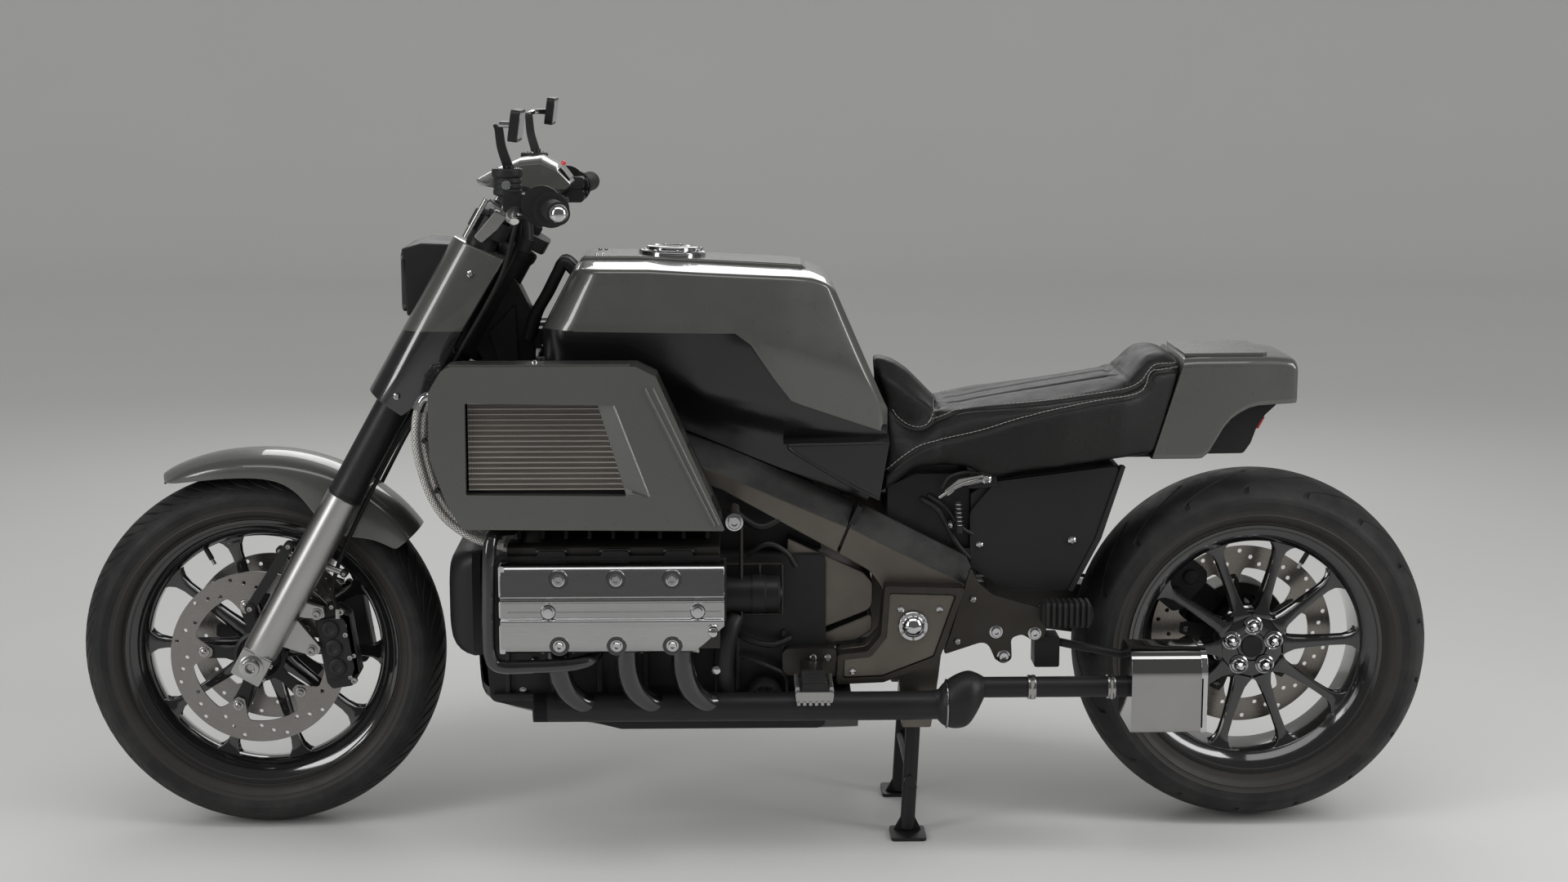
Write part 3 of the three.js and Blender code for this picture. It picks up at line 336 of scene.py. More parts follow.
warmGrey = (0.072, 0.073, 0.066)
finishes = {
    "paint": paintFinish("warmGreyPaint", warmGrey),
    "gloss": glossFinish("glossBlack", (0.0065, 0.0065, 0.007)),
    "rim": glossFinish("rimBlack", (0.008, 0.008, 0.0085), rough=0.14),
    "satin": satinFinish("satinBlack", (0.011, 0.011, 0.0115)),
    "cover": satinFinish("coverBlack", (0.007, 0.007, 0.0074), 0.24, grain=700, depth=0.00002,
                         shine=0.6),
    "crinkle": satinFinish("crinkleBlack", (0.014, 0.014, 0.0145), 0.5, grain=520, depth=0.0003),
    "plastic": satinFinish("mouldedBlack", (0.013, 0.013, 0.0135), 0.5, grain=1500),
    "cast": castFinish("castBlack", (0.028, 0.0275, 0.027)),
    "case": castFinish("engineCase", (0.045, 0.043, 0.04), 0.42, 0.8),
    "bronze": satinFinish("bronzeAlloy", (0.13, 0.118, 0.102), 0.34, 0.85, 1400, 0.00005),
    "bronzeDark": satinFinish("bronzeAlloyDark", (0.05, 0.0455, 0.04), 0.36, 0.8, 1400, 0.00005),
    "aluminium": brushedFinish("bareAluminium", (0.47, 0.465, 0.455), 0.34, (200, 200, 200), spread=0.12),
    "machined": brushedFinish("machinedAluminium", (0.48, 0.478, 0.47), 0.26, (200, 120, 120), spread=0.12),
    "polished": brushedFinish("polishedAlloy", (0.46, 0.46, 0.46), 0.13, (3, 3, 60), 0.00001),
    "chrome": chromeFinish("chrome"),
    "darkChrome": chromeFinish("darkChrome", (0.36, 0.355, 0.35), 0.05),
    "steel": brushedFinish("stainless", (0.42, 0.41, 0.4), 0.25, (20, 20, 20)),
    "frontDisc": turnedFinish("frontDiscSteel", (0.3, 0.285, 0.27),
                              tuple(v * milli for v in frontAxle)),
    "rearDisc": turnedFinish("rearDiscSteel", (0.27, 0.25, 0.225),
                             tuple(v * milli for v in rearAxle)),
    "tyre": rubberFinish("tyreRubber", (0.0125, 0.0125, 0.013), 0.62),
    "tyreBand": rubberFinish("tyreSideRubber", (0.03, 0.027, 0.024), 0.55, 0.3),
    "grip": rubberFinish("gripRubber", (0.012, 0.012, 0.012), 0.6, 0.2, 1200),
    "hose": rubberFinish("hoseRubber", (0.01, 0.01, 0.01), 0.45, 0.25, 900),
    "leather": leatherFinish("grainedLeather"),
    "thread": brushedFinish("paleThread", (0.3, 0.29, 0.275), 0.7, (9, 9, 9), metal=0.0),
    "braid": braidFinish("braidedSteel"),
    "core": brushedFinish("coreAluminium", (0.42, 0.4, 0.37), 0.36, (8, 8, 40)),
    "fins": satinFinish("coreFins", (0.25, 0.225, 0.2), 0.42, 0.85),
    "glass": glassFinish("clearLens"),
    "smoke": screenFinish("darkGlass"),
    "redLens": glossFinish("redLens", (0.35, 0.008, 0.006), rough=0.1),
    "amber": glossFinish("amberLens", (0.55, 0.16, 0.01), rough=0.1),
    "redSwitch": glossFinish("redSwitch", (0.5, 0.02, 0.02), rough=0.3),
    "mirrorGlass": chromeFinish("mirrorGlass", (0.4, 0.41, 0.43), 0.01),
}


def floorFinish():
    f = Finish("paleFloor")
    cloud = f.noise(0.8, 5, 0.55)
    base = f.blend(f.spread(cloud, 0, 1), shift(studio["floor"], 0.985), studio["floor"])
    return f.shade(baseColor=base, roughness=f.spread(cloud, 0.62, 0.7))


def setWorld():
    world = bpy.data.worlds.new("studio")
    world.use_nodes = True
    scene.world = world
    b = Bench(world.node_tree)
    rays = b.put("ShaderNodeLightPath", out="Is Camera Ray")
    node = rays.socket.node
    seen = rays.maths("MAXIMUM", Wire(b, node.outputs["Is Glossy Ray"])).maths("MAXIMUM",
        Wire(b, node.outputs["Is Transmission Ray"]))
    fill = b.put("ShaderNodeBackground", None, {"Color": (1, 1, 1, 1), "Strength": studio["fill"]})
    back = b.put("ShaderNodeBackground", None, {"Color": studio["backdrop"], "Strength": 1.0})
    mixed = b.put("ShaderNodeMixShader", None, {"Fac": seen, 1: fill, 2: back})
    b.put("ShaderNodeOutputWorld", None, {"Surface": mixed})


# shapes: every helper gives (points in mm, faces)

def rounded(points, radius, steps=4):
    # Outline with its corners rounded; radius is one number or one for each corner
    out = []
    count = len(points)
    radii = radius if isinstance(radius, (list, tuple)) else [radius] * count
    for k, (here, r) in enumerate(zip(points, radii)):
        here = np.array(here, float)
        before, after = np.array(points[k - 1], float), np.array(points[(k + 1) % count], float)
        a, b = before - here, after - here
        la, lb = np.linalg.norm(a), np.linalg.norm(b)
        a, b = a / la, b / lb
        half = math.acos(max(-1, min(1, a @ b))) / 2
        if r <= 0 or half > 1.56:
            out.append(tuple(here))
            continue
        back = min(r / math.tan(half), 0.48 * la, 0.48 * lb)
        start, end = here + a * back, here + b * back
        for s in np.linspace(0, 1, steps + 1):
            out.append(tuple((1 - s) ** 2 * start + 2 * s * (1 - s) * here + s * s * end))
    return out


def swap(flat, other, axis):
    # A place from its two outline numbers and the third, across axis
    u, v = flat
    return {"x": (other, u, v), "y": (u, other, v), "z": (u, v, other)}[axis]


def prism(outline, low, high, axis="y", holes=()):
    # A plate with that outline, with holes cut through if any are given
    outline = [tuple(map(float, p)) for p in outline]
    if not holes:
        n = len(outline)
        points = [swap(p, low, axis) for p in outline] + [swap(p, high, axis) for p in outline]
        faces = [list(range(n))[::-1], [n + k for k in range(n)]]
        faces += [[k, (k + 1) % n, n + (k + 1) % n, n + k] for k in range(n)]
        return points, faces
    loops = [outline, *holes]
    flat, edges = [], []
    for loop in loops:
        first = len(flat)
        flat += [Vector(p) for p in loop]
        edges += [(first + k, first + (k + 1) % len(loop)) for k in range(len(loop))]
    where, _, triangles, *_ = geometry.delaunay_2d_cdt(flat, edges, [], 2, 1e-6)
    n = len(where)
    kept = [t for t in triangles if not any(inside(sum((where[i] for i in t), Vector((0, 0))) / len(t),
        hole) for hole in holes)]
    faces = [list(t) for t in kept] + [[n + i for i in reversed(t)] for t in kept]
    border = {}
    for t in kept:
        for k in range(len(t)):
            pair = (t[k], t[(k + 1) % len(t)])
            if (pair[1], pair[0]) in border:
                del border[(pair[1], pair[0])]
            else:
                border[pair] = True
    faces += [[b, a, a + n, b + n] for a, b in border]
    points = [swap(p, low, axis) for p in where] + [swap(p, high, axis) for p in where]
    return points, faces


def rect(left, low, right, high):
    return [(left, low), (right, low), (right, high), (left, high)]


def slab(outline, radius, steps, low, high, axis="y", holes=()):
    # A plate with rounded corners
    return prism(rounded(outline, radius, steps), low, high, axis, holes)


def inside(point, loop):
    hit = False
    x, y = point
    for (x1, y1), (x2, y2) in zip(loop, loop[1:] + loop[:1]):
        if (y1 > y) != (y2 > y) and x < (x2 - x1) * (y - y1) / (y2 - y1) + x1:
            hit = not hit
    return hit


def circle(centre, radius, count=24, start=0.0):
    return [(centre[0] + radius * math.cos(start + 2 * math.pi * k / count),
        centre[1] + radius * math.sin(start + 2 * math.pi * k / count)) for k in range(count)]


def revolve(profile, centre=(0, 0, 0), axis="y", count=64, closed=True):
    # Rings from [radius, along] pairs about an axis; an open profile ends on the axis
    points, faces = [], []
    rows = len(profile)
    for k in range(count):
        angle = 2 * math.pi * k / count
        for r, t in profile:
            u, v = r * math.cos(angle), r * math.sin(angle)
            place = {"x": (t, u, v), "y": (u, t, v), "z": (u, v, t)}[axis]
            points.append(tuple(a + b for a, b in zip(place, centre)))
    last = rows if closed else rows - 1
    for k in range(count):
        for i in range(last):
            a, b = k * rows + i, k * rows + (i + 1) % rows
            c, d = (k + 1) % count * rows + (i + 1) % rows, (k + 1) % count * rows + i
            faces.append([a, b, c, d])
    return points, faces


def curve(points, steps=8, closed=False):
    # A smooth path through the points
    p = [np.array(q, float) for q in points]
    if not closed:
        p = [2 * p[0] - p[1], *p, 2 * p[-1] - p[-2]]
    else:
        p = [p[-1], *p, p[0], p[1]]
    out = []
    for a, b, c, d in zip(p, p[1:], p[2:], p[3:]):
        for s in np.linspace(0, 1, steps, endpoint=False):
            out.append(0.5 * (2 * b + (c - a) * s + (2 * a - 5 * b + 4 * c - d) * s * s
                + (3 * b - a - 3 * c + d) * s ** 3))
    if not closed:
        out.append(p[-2])
    return out


def frames(path):
    # Directions across a path, carried along it without twisting
    path = np.array(path, float)
    ways = np.gradient(path, axis=0)
    ways /= np.linalg.norm(ways, axis=1)[:, None]
    side = np.cross(ways[0], (0, 0, 1) if abs(ways[0][2]) < 0.9 else (0, 1, 0))
    side /= np.linalg.norm(side)
    out = []
    for way in ways:
        side = side - way * (side @ way)
        side /= np.linalg.norm(side)
        out.append((side, np.cross(way, side)))
    return path, ways, out


def tube(points, radius, around=12, steps=8, smooth=True, section=None):
    # A tube along a path; radius may be one for each given point
    path = curve(points, steps) if smooth else [np.array(p, float) for p in points]
    radii = np.full(len(path), float(radius)) if np.isscalar(radius) else np.interp(np.linspace(0, 1,
        len(path)), np.linspace(0, 1, len(radius)), radius)
    flat = section or circle((0, 0), 1, around)
    path, _, across = frames(path)
    n = len(flat)
    out = [tuple(centre + r * (u * a + v * b)) for centre, r, (a, b) in zip(path, radii, across) for u,
        v in flat]
    faces = [[k * n + i, k * n + (i + 1) % n, (k + 1) * n + (i + 1) % n,
        (k + 1) * n + i] for k in range(len(path) - 1) for i in range(n)]
    faces += [list(range(n))[::-1], [(len(path) - 1) * n + i for i in range(n)]]
    return out, faces


def rod(start, end, radius, around=24):
    return tube([start, end], radius, around, smooth=False)


def box(low, high):
    (a, b, c), (d, e, f) = low, high
    return prism([(a, b), (d, b), (d, e), (a, e)], c, f, "z")


def loft(rings, closed=True, caps=True):
    # Skin over rows of points, each row a loop
    n = len(rings[0])
    points = [tuple(p) for ring in rings for p in ring]
    last = n if closed else n - 1
    faces = [[k * n + i, k * n + (i + 1) % n, (k + 1) * n + (i + 1) % n,
        (k + 1) * n + i] for k in range(len(rings) - 1) for i in range(last)]
    if caps and closed:
        faces += [list(range(n))[::-1], [(len(rings) - 1) * n + i for i in range(n)]]
    return points, faces


def moved(shape, matrix):
    points, faces = shape
    return [tuple(matrix @ Vector(p)) for p in points], faces


def flipped(shape):
    # The same shape on the other side of the motorcycle
    points, faces = shape
    return [(x, -y, z) for x, y, z in points], [list(reversed(f)) for f in faces]


def onSide(shape, side):
    # Shapes are drawn on the right; the left gets the mirror image
    return shape if side > 0 else flipped(shape)


headMatrix = Matrix.Translation(yokePlace) @ Matrix.Rotation(rake, 4, "Y")
headTurn = headMatrix.to_3x3()


def atHead(shape):
    # From numbers measured along the steering axis
    return moved(shape, headMatrix)


def turnFlat(points, angle, centre=(0, 0)):
    c, s = math.cos(angle), math.sin(angle)
    return [(centre[0] + u * c - v * s, centre[1] + u * s + v * c) for u, v in points]


class Piece:
    # A piece of the motorcycle, made of shapes, that rides on one body
    def __init__(self, name, body, slot, replaces=()):
        self.name, self.body, self.slot, self.gone = name, body, slot, replaces
        self.points, self.faces, self.marks, self.used = [], [], [], []

    def add(self, shape, finish, side=1):
        points, faces = onSide(shape, side)
        first = len(self.points)
        self.points += [tuple(v * milli for v in p) for p in points]
        self.faces += [[i + first for i in f] for f in faces]
        if finish not in self.used:
            self.used.append(finish)
        self.marks += [self.used.index(finish)] * len(faces)
        return self

    def object(self):
        mesh = bpy.data.meshes.new(self.name)
        mesh.from_pydata(self.points, [], self.faces)
        for finish in self.used:
            mesh.materials.append(finishes[finish])
        mesh.polygons.foreach_set("material_index", self.marks)
        work = bmesh.new()
        work.from_mesh(mesh)
        bmesh.ops.remove_doubles(work, verts=work.verts, dist=1e-6)
        bmesh.ops.recalc_face_normals(work, faces=work.faces)
        work.to_mesh(mesh)
        work.free()
        return placed(self.name, mesh)

    def done(self, bevel=0.0, segments=2, angle=35, subdivide=0, turn=None):
        obj = self.object()
        if turn:
            turn(obj)
        if bevel:
            soften(obj, bevel, segments, angle)
        if subdivide:
            divide(obj, subdivide)
        if bevel or subdivide:
            bake(obj)
        smoothOver(obj.data, 40 if bevel else 32)
        if bevel:
            evenNormals(obj)
        return settle(obj, self.body, self.slot, *self.gone)


def modify(obj, kind, **settings):
    # a live modifier; bake makes its result the mesh
    step = obj.modifiers.new(kind, kind)
    for key, value in settings.items():
        setattr(step, key, value)
    return step


def soften(obj, width, segments, angle):
    # rounds the edges sharper than the angle
    modify(obj, "BEVEL", width=width * milli, segments=segments, limit_method="ANGLE",
        angle_limit=math.radians(angle))


def divide(obj, levels):
    modify(obj, "SUBSURF", levels=levels, render_levels=levels)


def evenNormals(obj):
    # Shading follows the large faces, so flat sides look flat up to their rounded edges
    modify(obj, "WEIGHTED_NORMAL", keep_sharp=True, mode="FACE_AREA", weight=60)
    bake(obj)


def smoothOver(mesh, angle):
    mesh.polygons.foreach_set("use_smooth", [True] * len(mesh.polygons))
    mesh.set_sharp_from_angle(angle=math.radians(angle))


def bake(obj):
    # Turns the modifiers' result into a plain mesh
    graph = bpy.context.evaluated_depsgraph_get()
    mesh = bpy.data.meshes.new_from_object(obj.evaluated_get(graph))
    obj.modifiers.clear()
    old, obj.data = obj.data, mesh
    bpy.data.meshes.remove(old)
    return obj


def settle(obj, body, slot, *gone):
    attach(obj, body)
    if gone:
        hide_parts(*gone)
    return obj


# geometry nodes for what repeats

def newTree(name, sockets):
    group = bpy.data.node_groups.new(name, "GeometryNodeTree")
    group.is_modifier = True
    for label, kind in (("Geometry", "Geometry"), *sockets):
        group.interface.new_socket(label, in_out="INPUT", socket_type="NodeSocket" + kind)
    group.interface.new_socket("Geometry", in_out="OUTPUT", socket_type="NodeSocketGeometry")
    bench = Bench(group)
    entry = group.nodes.new("NodeGroupInput")
    return bench, {label: Wire(bench, entry.outputs[label]) for label in ("Geometry",
        *(label for label, _ in sockets))}


def closeTree(bench, instances, finish):
    whole = bench.put("GeometryNodeRealizeInstances", None, {"Geometry": instances})
    dressed = bench.put("GeometryNodeSetMaterial", None, {"Geometry": whole, "Material": finish})
    bench.put("NodeGroupOutput", None, {"Geometry": dressed})
    return bench.tree


def copied(bench, part):
    # an object's mesh, to be repeated by a tree
    return bench.put("GeometryNodeObjectInfo", None, {"Object": part, "As Instance": True}, 4)


def faced(bench):
    # turns each copy's z axis to its point's facing
    return bench.put("FunctionNodeAlignRotationToVector", {"axis": "Z"},
        {"Vector": namedVector(bench, "facing")})


def namedVector(bench, name):
    return bench.put("GeometryNodeInputNamedAttribute", {"data_type": "FLOAT_VECTOR"}, {"Name": name})


def scatterTree():
    b, put = newTree("partsOnPoints", (("Part", "Object"), ("Finish", "Material")))
    part = copied(b, put["Part"])
    copies = b.put("GeometryNodeInstanceOnPoints", None, {"Points": put["Geometry"], "Instance": part,
        "Rotation": faced(b), "Scale": namedVector(b, "size")})
    return closeTree(b, copies, put["Finish"])


def stitchTree():
    b, put = newTree("partsAlongPath", (("Part", "Object"), ("Pitch", "Float"), ("Finish", "Material")))
    part = copied(b, put["Part"])
    path = b.put("GeometryNodeMeshToCurve", None, {"Mesh": put["Geometry"]})
    path = b.put("GeometryNodeResampleCurve", {"mode": "LENGTH"}, {"Curve": path, "Length": put["Pitch"]})
    tangent = b.put("GeometryNodeInputTangent")
    turn = b.put("FunctionNodeAlignRotationToVector", {"axis": "X"}, {"Vector": tangent})
    turn = b.put("FunctionNodeAlignRotationToVector", {"axis": "Z", "pivot_axis": "X"},
        {"Rotation": turn, "Vector": namedVector(b, "facing")})
    copies = b.put("GeometryNodeInstanceOnPoints", None,
        {"Points": path, "Instance": part, "Rotation": turn})
    return closeTree(b, copies, put["Finish"])


def ringTree():
    b, put = newTree("partsRoundAxle", (("Part", "Object"), ("Count", "Int"), ("Start", "Float"),
        ("Centre", "Vector"), ("Finish", "Material")))
    part = copied(b, put["Part"])
    row = b.put("GeometryNodeMeshLine", None, {"Count": put["Count"], "Start Location": put["Centre"],
        "Offset": (0, 0, 0)})
    number = b.put("GeometryNodeInputIndex")
    angle = number * 2 * math.pi / put["Count"] + put["Start"]
    turn = b.put("ShaderNodeCombineXYZ", None, {"Y": angle})
    copies = b.put("GeometryNodeInstanceOnPoints", None,
        {"Points": row, "Instance": part, "Rotation": turn})
    return closeTree(b, copies, put["Finish"])


def slatTree():
    b, put = newTree("partsInARow", (("Part", "Object"), ("Count", "Int"), ("Step", "Vector"),
        ("Finish", "Material")))
    part = copied(b, put["Part"])
    row = b.put("GeometryNodeMeshLine", None, {"Count": put["Count"], "Offset": put["Step"]})
    copies = b.put("GeometryNodeInstanceOnPoints", None, {"Points": row, "Instance": part})
    return closeTree(b, copies, put["Finish"])


def drillTree():
    b, put = newTree("drilledPlate", (("Plate", "Object"), ("Drill", "Object"), ("Finish", "Material")))
    plate = b.put("GeometryNodeObjectInfo", None, {"Object": put["Plate"]}, 4)
    copies = b.put("GeometryNodeInstanceOnPoints", None,
        {"Points": put["Geometry"], "Instance": copied(b, put["Drill"]), "Rotation": faced(b)})
    copies = b.put("GeometryNodeRealizeInstances", None, {"Geometry": copies})
    cut = b.put("GeometryNodeMeshBoolean", {"operation": "DIFFERENCE", "solver": "EXACT"},
        {"Mesh 1": plate, "Mesh 2": copies})
    return closeTree(b, cut, put["Finish"])


trees = {"points": scatterTree(), "path": stitchTree(), "ring": ringTree(), "row": slatTree(),
    "drill": drillTree()}


def loose(name, shape, finish="satin", bevel=0.0, segments=2):
    # an object for a tree to copy; it is removed afterwards
    obj = Piece(name, "", "").add(shape, finish).object()
    if bevel:
        soften(obj, bevel, segments, 35)
        bake(obj)
    return obj


def pointMesh(name, places, facing=None, size=None, joined=False):
    mesh = bpy.data.meshes.new(name)
    edges = [(k, k + 1) for k in range(len(places) - 1)] if joined else []
    mesh.from_pydata([tuple(v * milli for v in p) for p in places], edges, [])
    for label, rows in (("facing", facing), ("size", size)):
        if rows is not None:
            layer = mesh.attributes.new(label, "FLOAT_VECTOR", "POINT")
            layer.data.foreach_set("vector", np.array(rows, float).ravel())
    return mesh


def grown(name, tree, mesh, values, spare=(), angle=40):
    # runs a tree on the mesh and leaves a plain mesh object
    obj = placed(name, mesh)
    step = modify(obj, "NODES", node_group=trees[tree])
    for item in trees[tree].interface.items_tree:
        if item.in_out == "INPUT" and item.name in values:
            value = values[item.name]
            step[item.identifier] = finishes[value] if item.name == "Finish" else value
    bake(obj)
    smoothOver(obj.data, angle)
    for other in spare:
        bpy.data.objects.remove(other)
    return obj


hexCorner = math.cos(math.pi / 6)


def headShape(rows, around=18):
    # rows of radius, height and whether the ring is a hexagon
    points, faces = [], []
    for r, h, sixSided in rows:
        for k in range(around):
            a = 2 * math.pi * k / around
            reach = hexCorner / math.cos((a + math.pi / 6) % (math.pi / 3) - math.pi / 6)
            points.append((*(r * (reach if sixSided else 1) * t for t in (math.cos(a), math.sin(a))), h))
    for i in range(len(rows) - 1):
        for k in range(around):
            n = (k + 1) % around
            faces.append([i * around + k, i * around + n, (i + 1) * around + n, (i + 1) * around + k])
    faces += [list(range(around))[::-1], [(len(rows) - 1) * around + k for k in range(around)]]
    return points, faces


# bolt heads of radius 1, standing on z = 0: radius, height, six-sided
headShapes = {
    "cap": [(1, -0.3, 0), (1, 0.85, 0), (0.9, 1.0, 0), (0.56, 1.0, 1), (0.52, 0.45, 1)],
    "button": [(1, -0.3, 0), (1, 0.12, 0), (0.86, 0.42, 0), (0.55, 0.6, 0), (0.5, 0.6, 1),
               (0.46, 0.2, 1)],
    "washered": [(1.28, -0.3, 0), (1.28, 0.16, 0), (0.98, 0.2, 0), (0.96, 0.8, 0),
                 (0.84, 0.95, 0), (0.5, 0.95, 1), (0.46, 0.4, 1)],
    "hexagon": [(1.22, -0.3, 0), (1.22, 0.18, 0), (0.98, 0.22, 1), (0.98, 0.78, 1),
                (0.84, 0.95, 0), (0.3, 0.97, 0)],
    "nut": [(1.12, -0.3, 0), (1.12, 0.2, 0), (0.98, 0.3, 1), (0.98, 1.3, 1), (0.84, 1.5, 0),
            (0.7, 2.0, 0), (0.35, 2.35, 0)],
    "rivet": [(1, -0.3, 0), (1, 0.1, 0), (0.8, 0.38, 0), (0.4, 0.55, 0)],
}


def fasteners(name, body, kind, rows, finish="steel", slot="aluminium"):
    # rows of x, y, z, facing and head radius
    head = loose("head", headShape(headShapes[kind]))
    mesh = pointMesh(name, [r[:3] for r in rows], [r[3] for r in rows], [(r[4],) * 3 for r in rows])
    obj = grown(name, "points", mesh, {"Part": head, "Finish": finish}, [head], 28)
    return settle(obj, body, slot)


# tyres: one row of the tread's grooves to each pitch

frontTyre = {
    "name": "frontTyre", "body": "front_wheel", "node": "front_tyre", "centre": frontAxle,
    "radius": 306.6, "half": 64.6, "bead": 222.4, "beadHalf": 46.2,
    "pitches": 66, "depth": 5.4, "groove": (0.24, 0.50), "reach": (0.14, 0.80),
    "sweep": -0.17, "hook": 0.05,
}
rearTyre = {
    "name": "rearTyre", "body": "rear_wheel", "node": "rear_tyre", "centre": rearAxle,
    "radius": 303.6, "half": 89.6, "bead": 209.4, "beadHalf": 66.2,
    "pitches": 17, "depth": 5.0, "groove": (0.40, 0.49), "reach": (0.16, 0.86),
    "sweep": 0.62, "hook": 0.13,
}


def tyreProfile(t):
    # half section from the middle of the tread to the bead: radius, half width, tread share
    drop = t["radius"] - t["bead"]
    rows = []
    for s in np.linspace(0, 1, 25):  # crown and shoulder
        lean = s * math.radians(66)
        y = t["half"] * 0.985 * math.sin(lean) / math.sin(math.radians(66))
        r = t["radius"] - drop * 0.37 * (1 - math.cos(lean)) / (1 - math.cos(math.radians(66)))
        rows.append((r, y, s))
    beadShare = t["beadHalf"] / t["half"]
    lipShare = (drop - 12) / drop
    wall = [  # tucked in above the rim's lip
        (0.42, 0.992), (0.455, 1.0), (0.47, 0.992), (0.60, 0.986), (0.615, 0.974), (0.68, 0.955),
        (0.695, 0.965), (0.76, 0.92), (0.81, 0.86), (0.84, 0.80), (lipShare, beadShare + 0.01),
        (0.965, beadShare + 0.005),
    ]
    for share, wide in wall:
        rows.append((t["radius"] - drop * share, t["half"] * wide, None))
    rows.append((t["bead"] + 0.5, t["half"] * beadShare, None))
    return rows


def buildTyre(t):
    half = tyreProfile(t)
    low, high = t["groove"]
    wide = high - low
    # columns of one pitch: place in the pitch, depth of the groove there
    columns = [(0.0, 0), (low * 0.5, 0), (low, 0), (low + wide * 0.16, 1), (high - wide * 0.16, 1),
        (high, 0), (high + (1 - high) * 0.35, 0), (high + (1 - high) * 0.7, 0)]
    start, end = t["reach"]
    rows = [(r, -y, s, -1) for r, y, s in reversed(half)] + [(r, y, s, 1) for r, y, s in half[1:]]
    points, faces = [], []
    n = len(rows)
    for p in range(t["pitches"]):
        for place, deep in columns:
            for r, y, s, hand in rows:
                share = 1.0 if s is None else s
                bend = t["sweep"] * min(1, share / end) ** 1.25 if share < end else t["sweep"]
                if share > end - 0.16:
                    bend -= t["hook"] * min(1.0, (share - end + 0.16) / 0.16)
                offset = 0.25 * hand * min(1, share / 0.12)
                angle = 2 * math.pi * (p + place + offset) / t["pitches"] + bend
                sunk = 0.0
                if s is not None and deep:
                    fade = min(1, max(0, (share - start) / 0.05)) * min(1, max(0, (end - share) / 0.05))
                    sunk = t["depth"] * fade
                rr = r - sunk
                points.append((t["centre"][0] + rr * math.cos(angle), y,
                    t["centre"][2] + rr * math.sin(angle)))
    total = t["pitches"] * len(columns)
    for k in range(total):
        nxt = (k + 1) % total
        for i in range(n - 1):
            faces.append([k * n + i, k * n + i + 1, nxt * n + i + 1, nxt * n + i])
    return points, faces, n, total


def tyrePiece(t):
    points, faces, n, total = buildTyre(t)
    # close each bead inward with a ring that hides in the rim
    for edge in (0, n - 1):
        first = len(points)
        for k in range(total):
            x, y, z = points[k * n + edge]
            dx, dz = x - t["centre"][0], z - t["centre"][2]
            points.append((t["centre"][0] + dx * 0.985, y * 0.8, t["centre"][2] + dz * 0.985))
        for k in range(total):
            nxt = (k + 1) % total
            faces.append([k * n + edge, nxt * n + edge, first + nxt, first + k])
        if edge == 0:
            lower = first
    for k in range(total):
        nxt = (k + 1) % total
        faces.append([lower + k, lower + nxt, first + nxt, first + k])
    piece = Piece(t["name"], t["body"], "tyre", (t["node"],))
    # a browner band of rubber beside the rim
    line = t["radius"] - (t["radius"] - t["bead"]) * 0.58
    tread, band = [], []
    for face in faces:
        x, _, z = (sum(points[i][k] for i in face) / len(face) for k in range(3))
        far = math.hypot(x - t["centre"][0], z - t["centre"][2])
        (band if far < line else tread).append(face)
    return piece.add((points, tread), "tyre").add((points, band), "tyreBand").done()


# rims

rimSizes = {
    "front": {"body": "front_wheel", "node": "front_rim", "centre": frontAxle, "bead": 222,
              "half": 46, "hub": 41, "hubHalf": 62, "bore": 13, "count": 10, "start": 0.58,
              "face": -17, "back": 17},
    "rear": {"body": "rear_wheel", "node": "rear_rim", "centre": rearAxle, "bead": 209,
             "half": 66, "hub": 61, "hubHalf": 30, "bore": 20, "count": 10, "start": 0.052,
             "face": -44, "back": -6},
}


def rimBarrel(r):
    bead, half = r["bead"], r["half"]
    lip = bead + 9.5
    outer = [
        (bead - 13, -half + 9), (bead - 3.5, -half + 3), (bead + 4, -half - 1), (lip - 1, -half - 2.5),
        (lip, -half - 1.2), (lip - 0.6, -half + 1.6), (bead + 1.5, -half + 4.5),
        (bead - 0.5, -half + 9), (bead - 1.5, -half + 15), (bead - 15, -half + 24),
        (bead - 19, -half * 0.1), (bead - 15, half - 24), (bead - 1.5, half - 15),
        (bead - 0.5, half - 9), (bead + 1.5, half - 4.5), (lip - 0.6, half - 1.6),
        (lip, half + 1.2), (lip - 1, half + 2.5), (bead + 4, half + 1), (bead - 3.5, half - 3),
        (bead - 13, half - 9), (bead - 23, half - 22), (bead - 26, 0), (bead - 23, -half + 22),
    ]
    return revolve(outer, r["centre"], "y", 120)


def spokeShape(r):
    # an I-shaped arm from hub to rim, drawn along +x about the origin
    face, back = r["face"], r["back"]
    middle, deep = (face + back) / 2, (back - face) / 2
    inner, outer = r["hub"] - 6, r["bead"] - 21
    rows = (
        # share of reach, half width, share of half depth
        (0.0, 17, 1.15), (0.06, 13, 1.1), (0.14, 9.5, 1.0), (0.3, 7.6, 0.92), (0.6, 6.6, 0.8),
        (0.8, 7.2, 0.78), (0.89, 10, 0.8), (0.95, 16, 0.86), (1.0, 25, 0.95),
    )
    rings = []
    for share, wide, depth in rows:
        x = inner + (outer - inner) * share
        d = deep * depth
        slim = wide * 0.62
        ring = [(-wide, -d), (wide, -d), (wide, -d + 4), (slim, -d + 7), (slim, d - 7), (wide, d - 4),
            (wide, d), (-wide, d), (-wide, d - 4), (-slim, d - 7), (-slim, -d + 7), (-wide, -d + 4)]
        arc = [(x - 0.5 * w * w / max(x, 1), w, v) for w, v in ring]
        rings.append([(a, middle + v, w) for a, w, v in arc])
    return loft(rings)


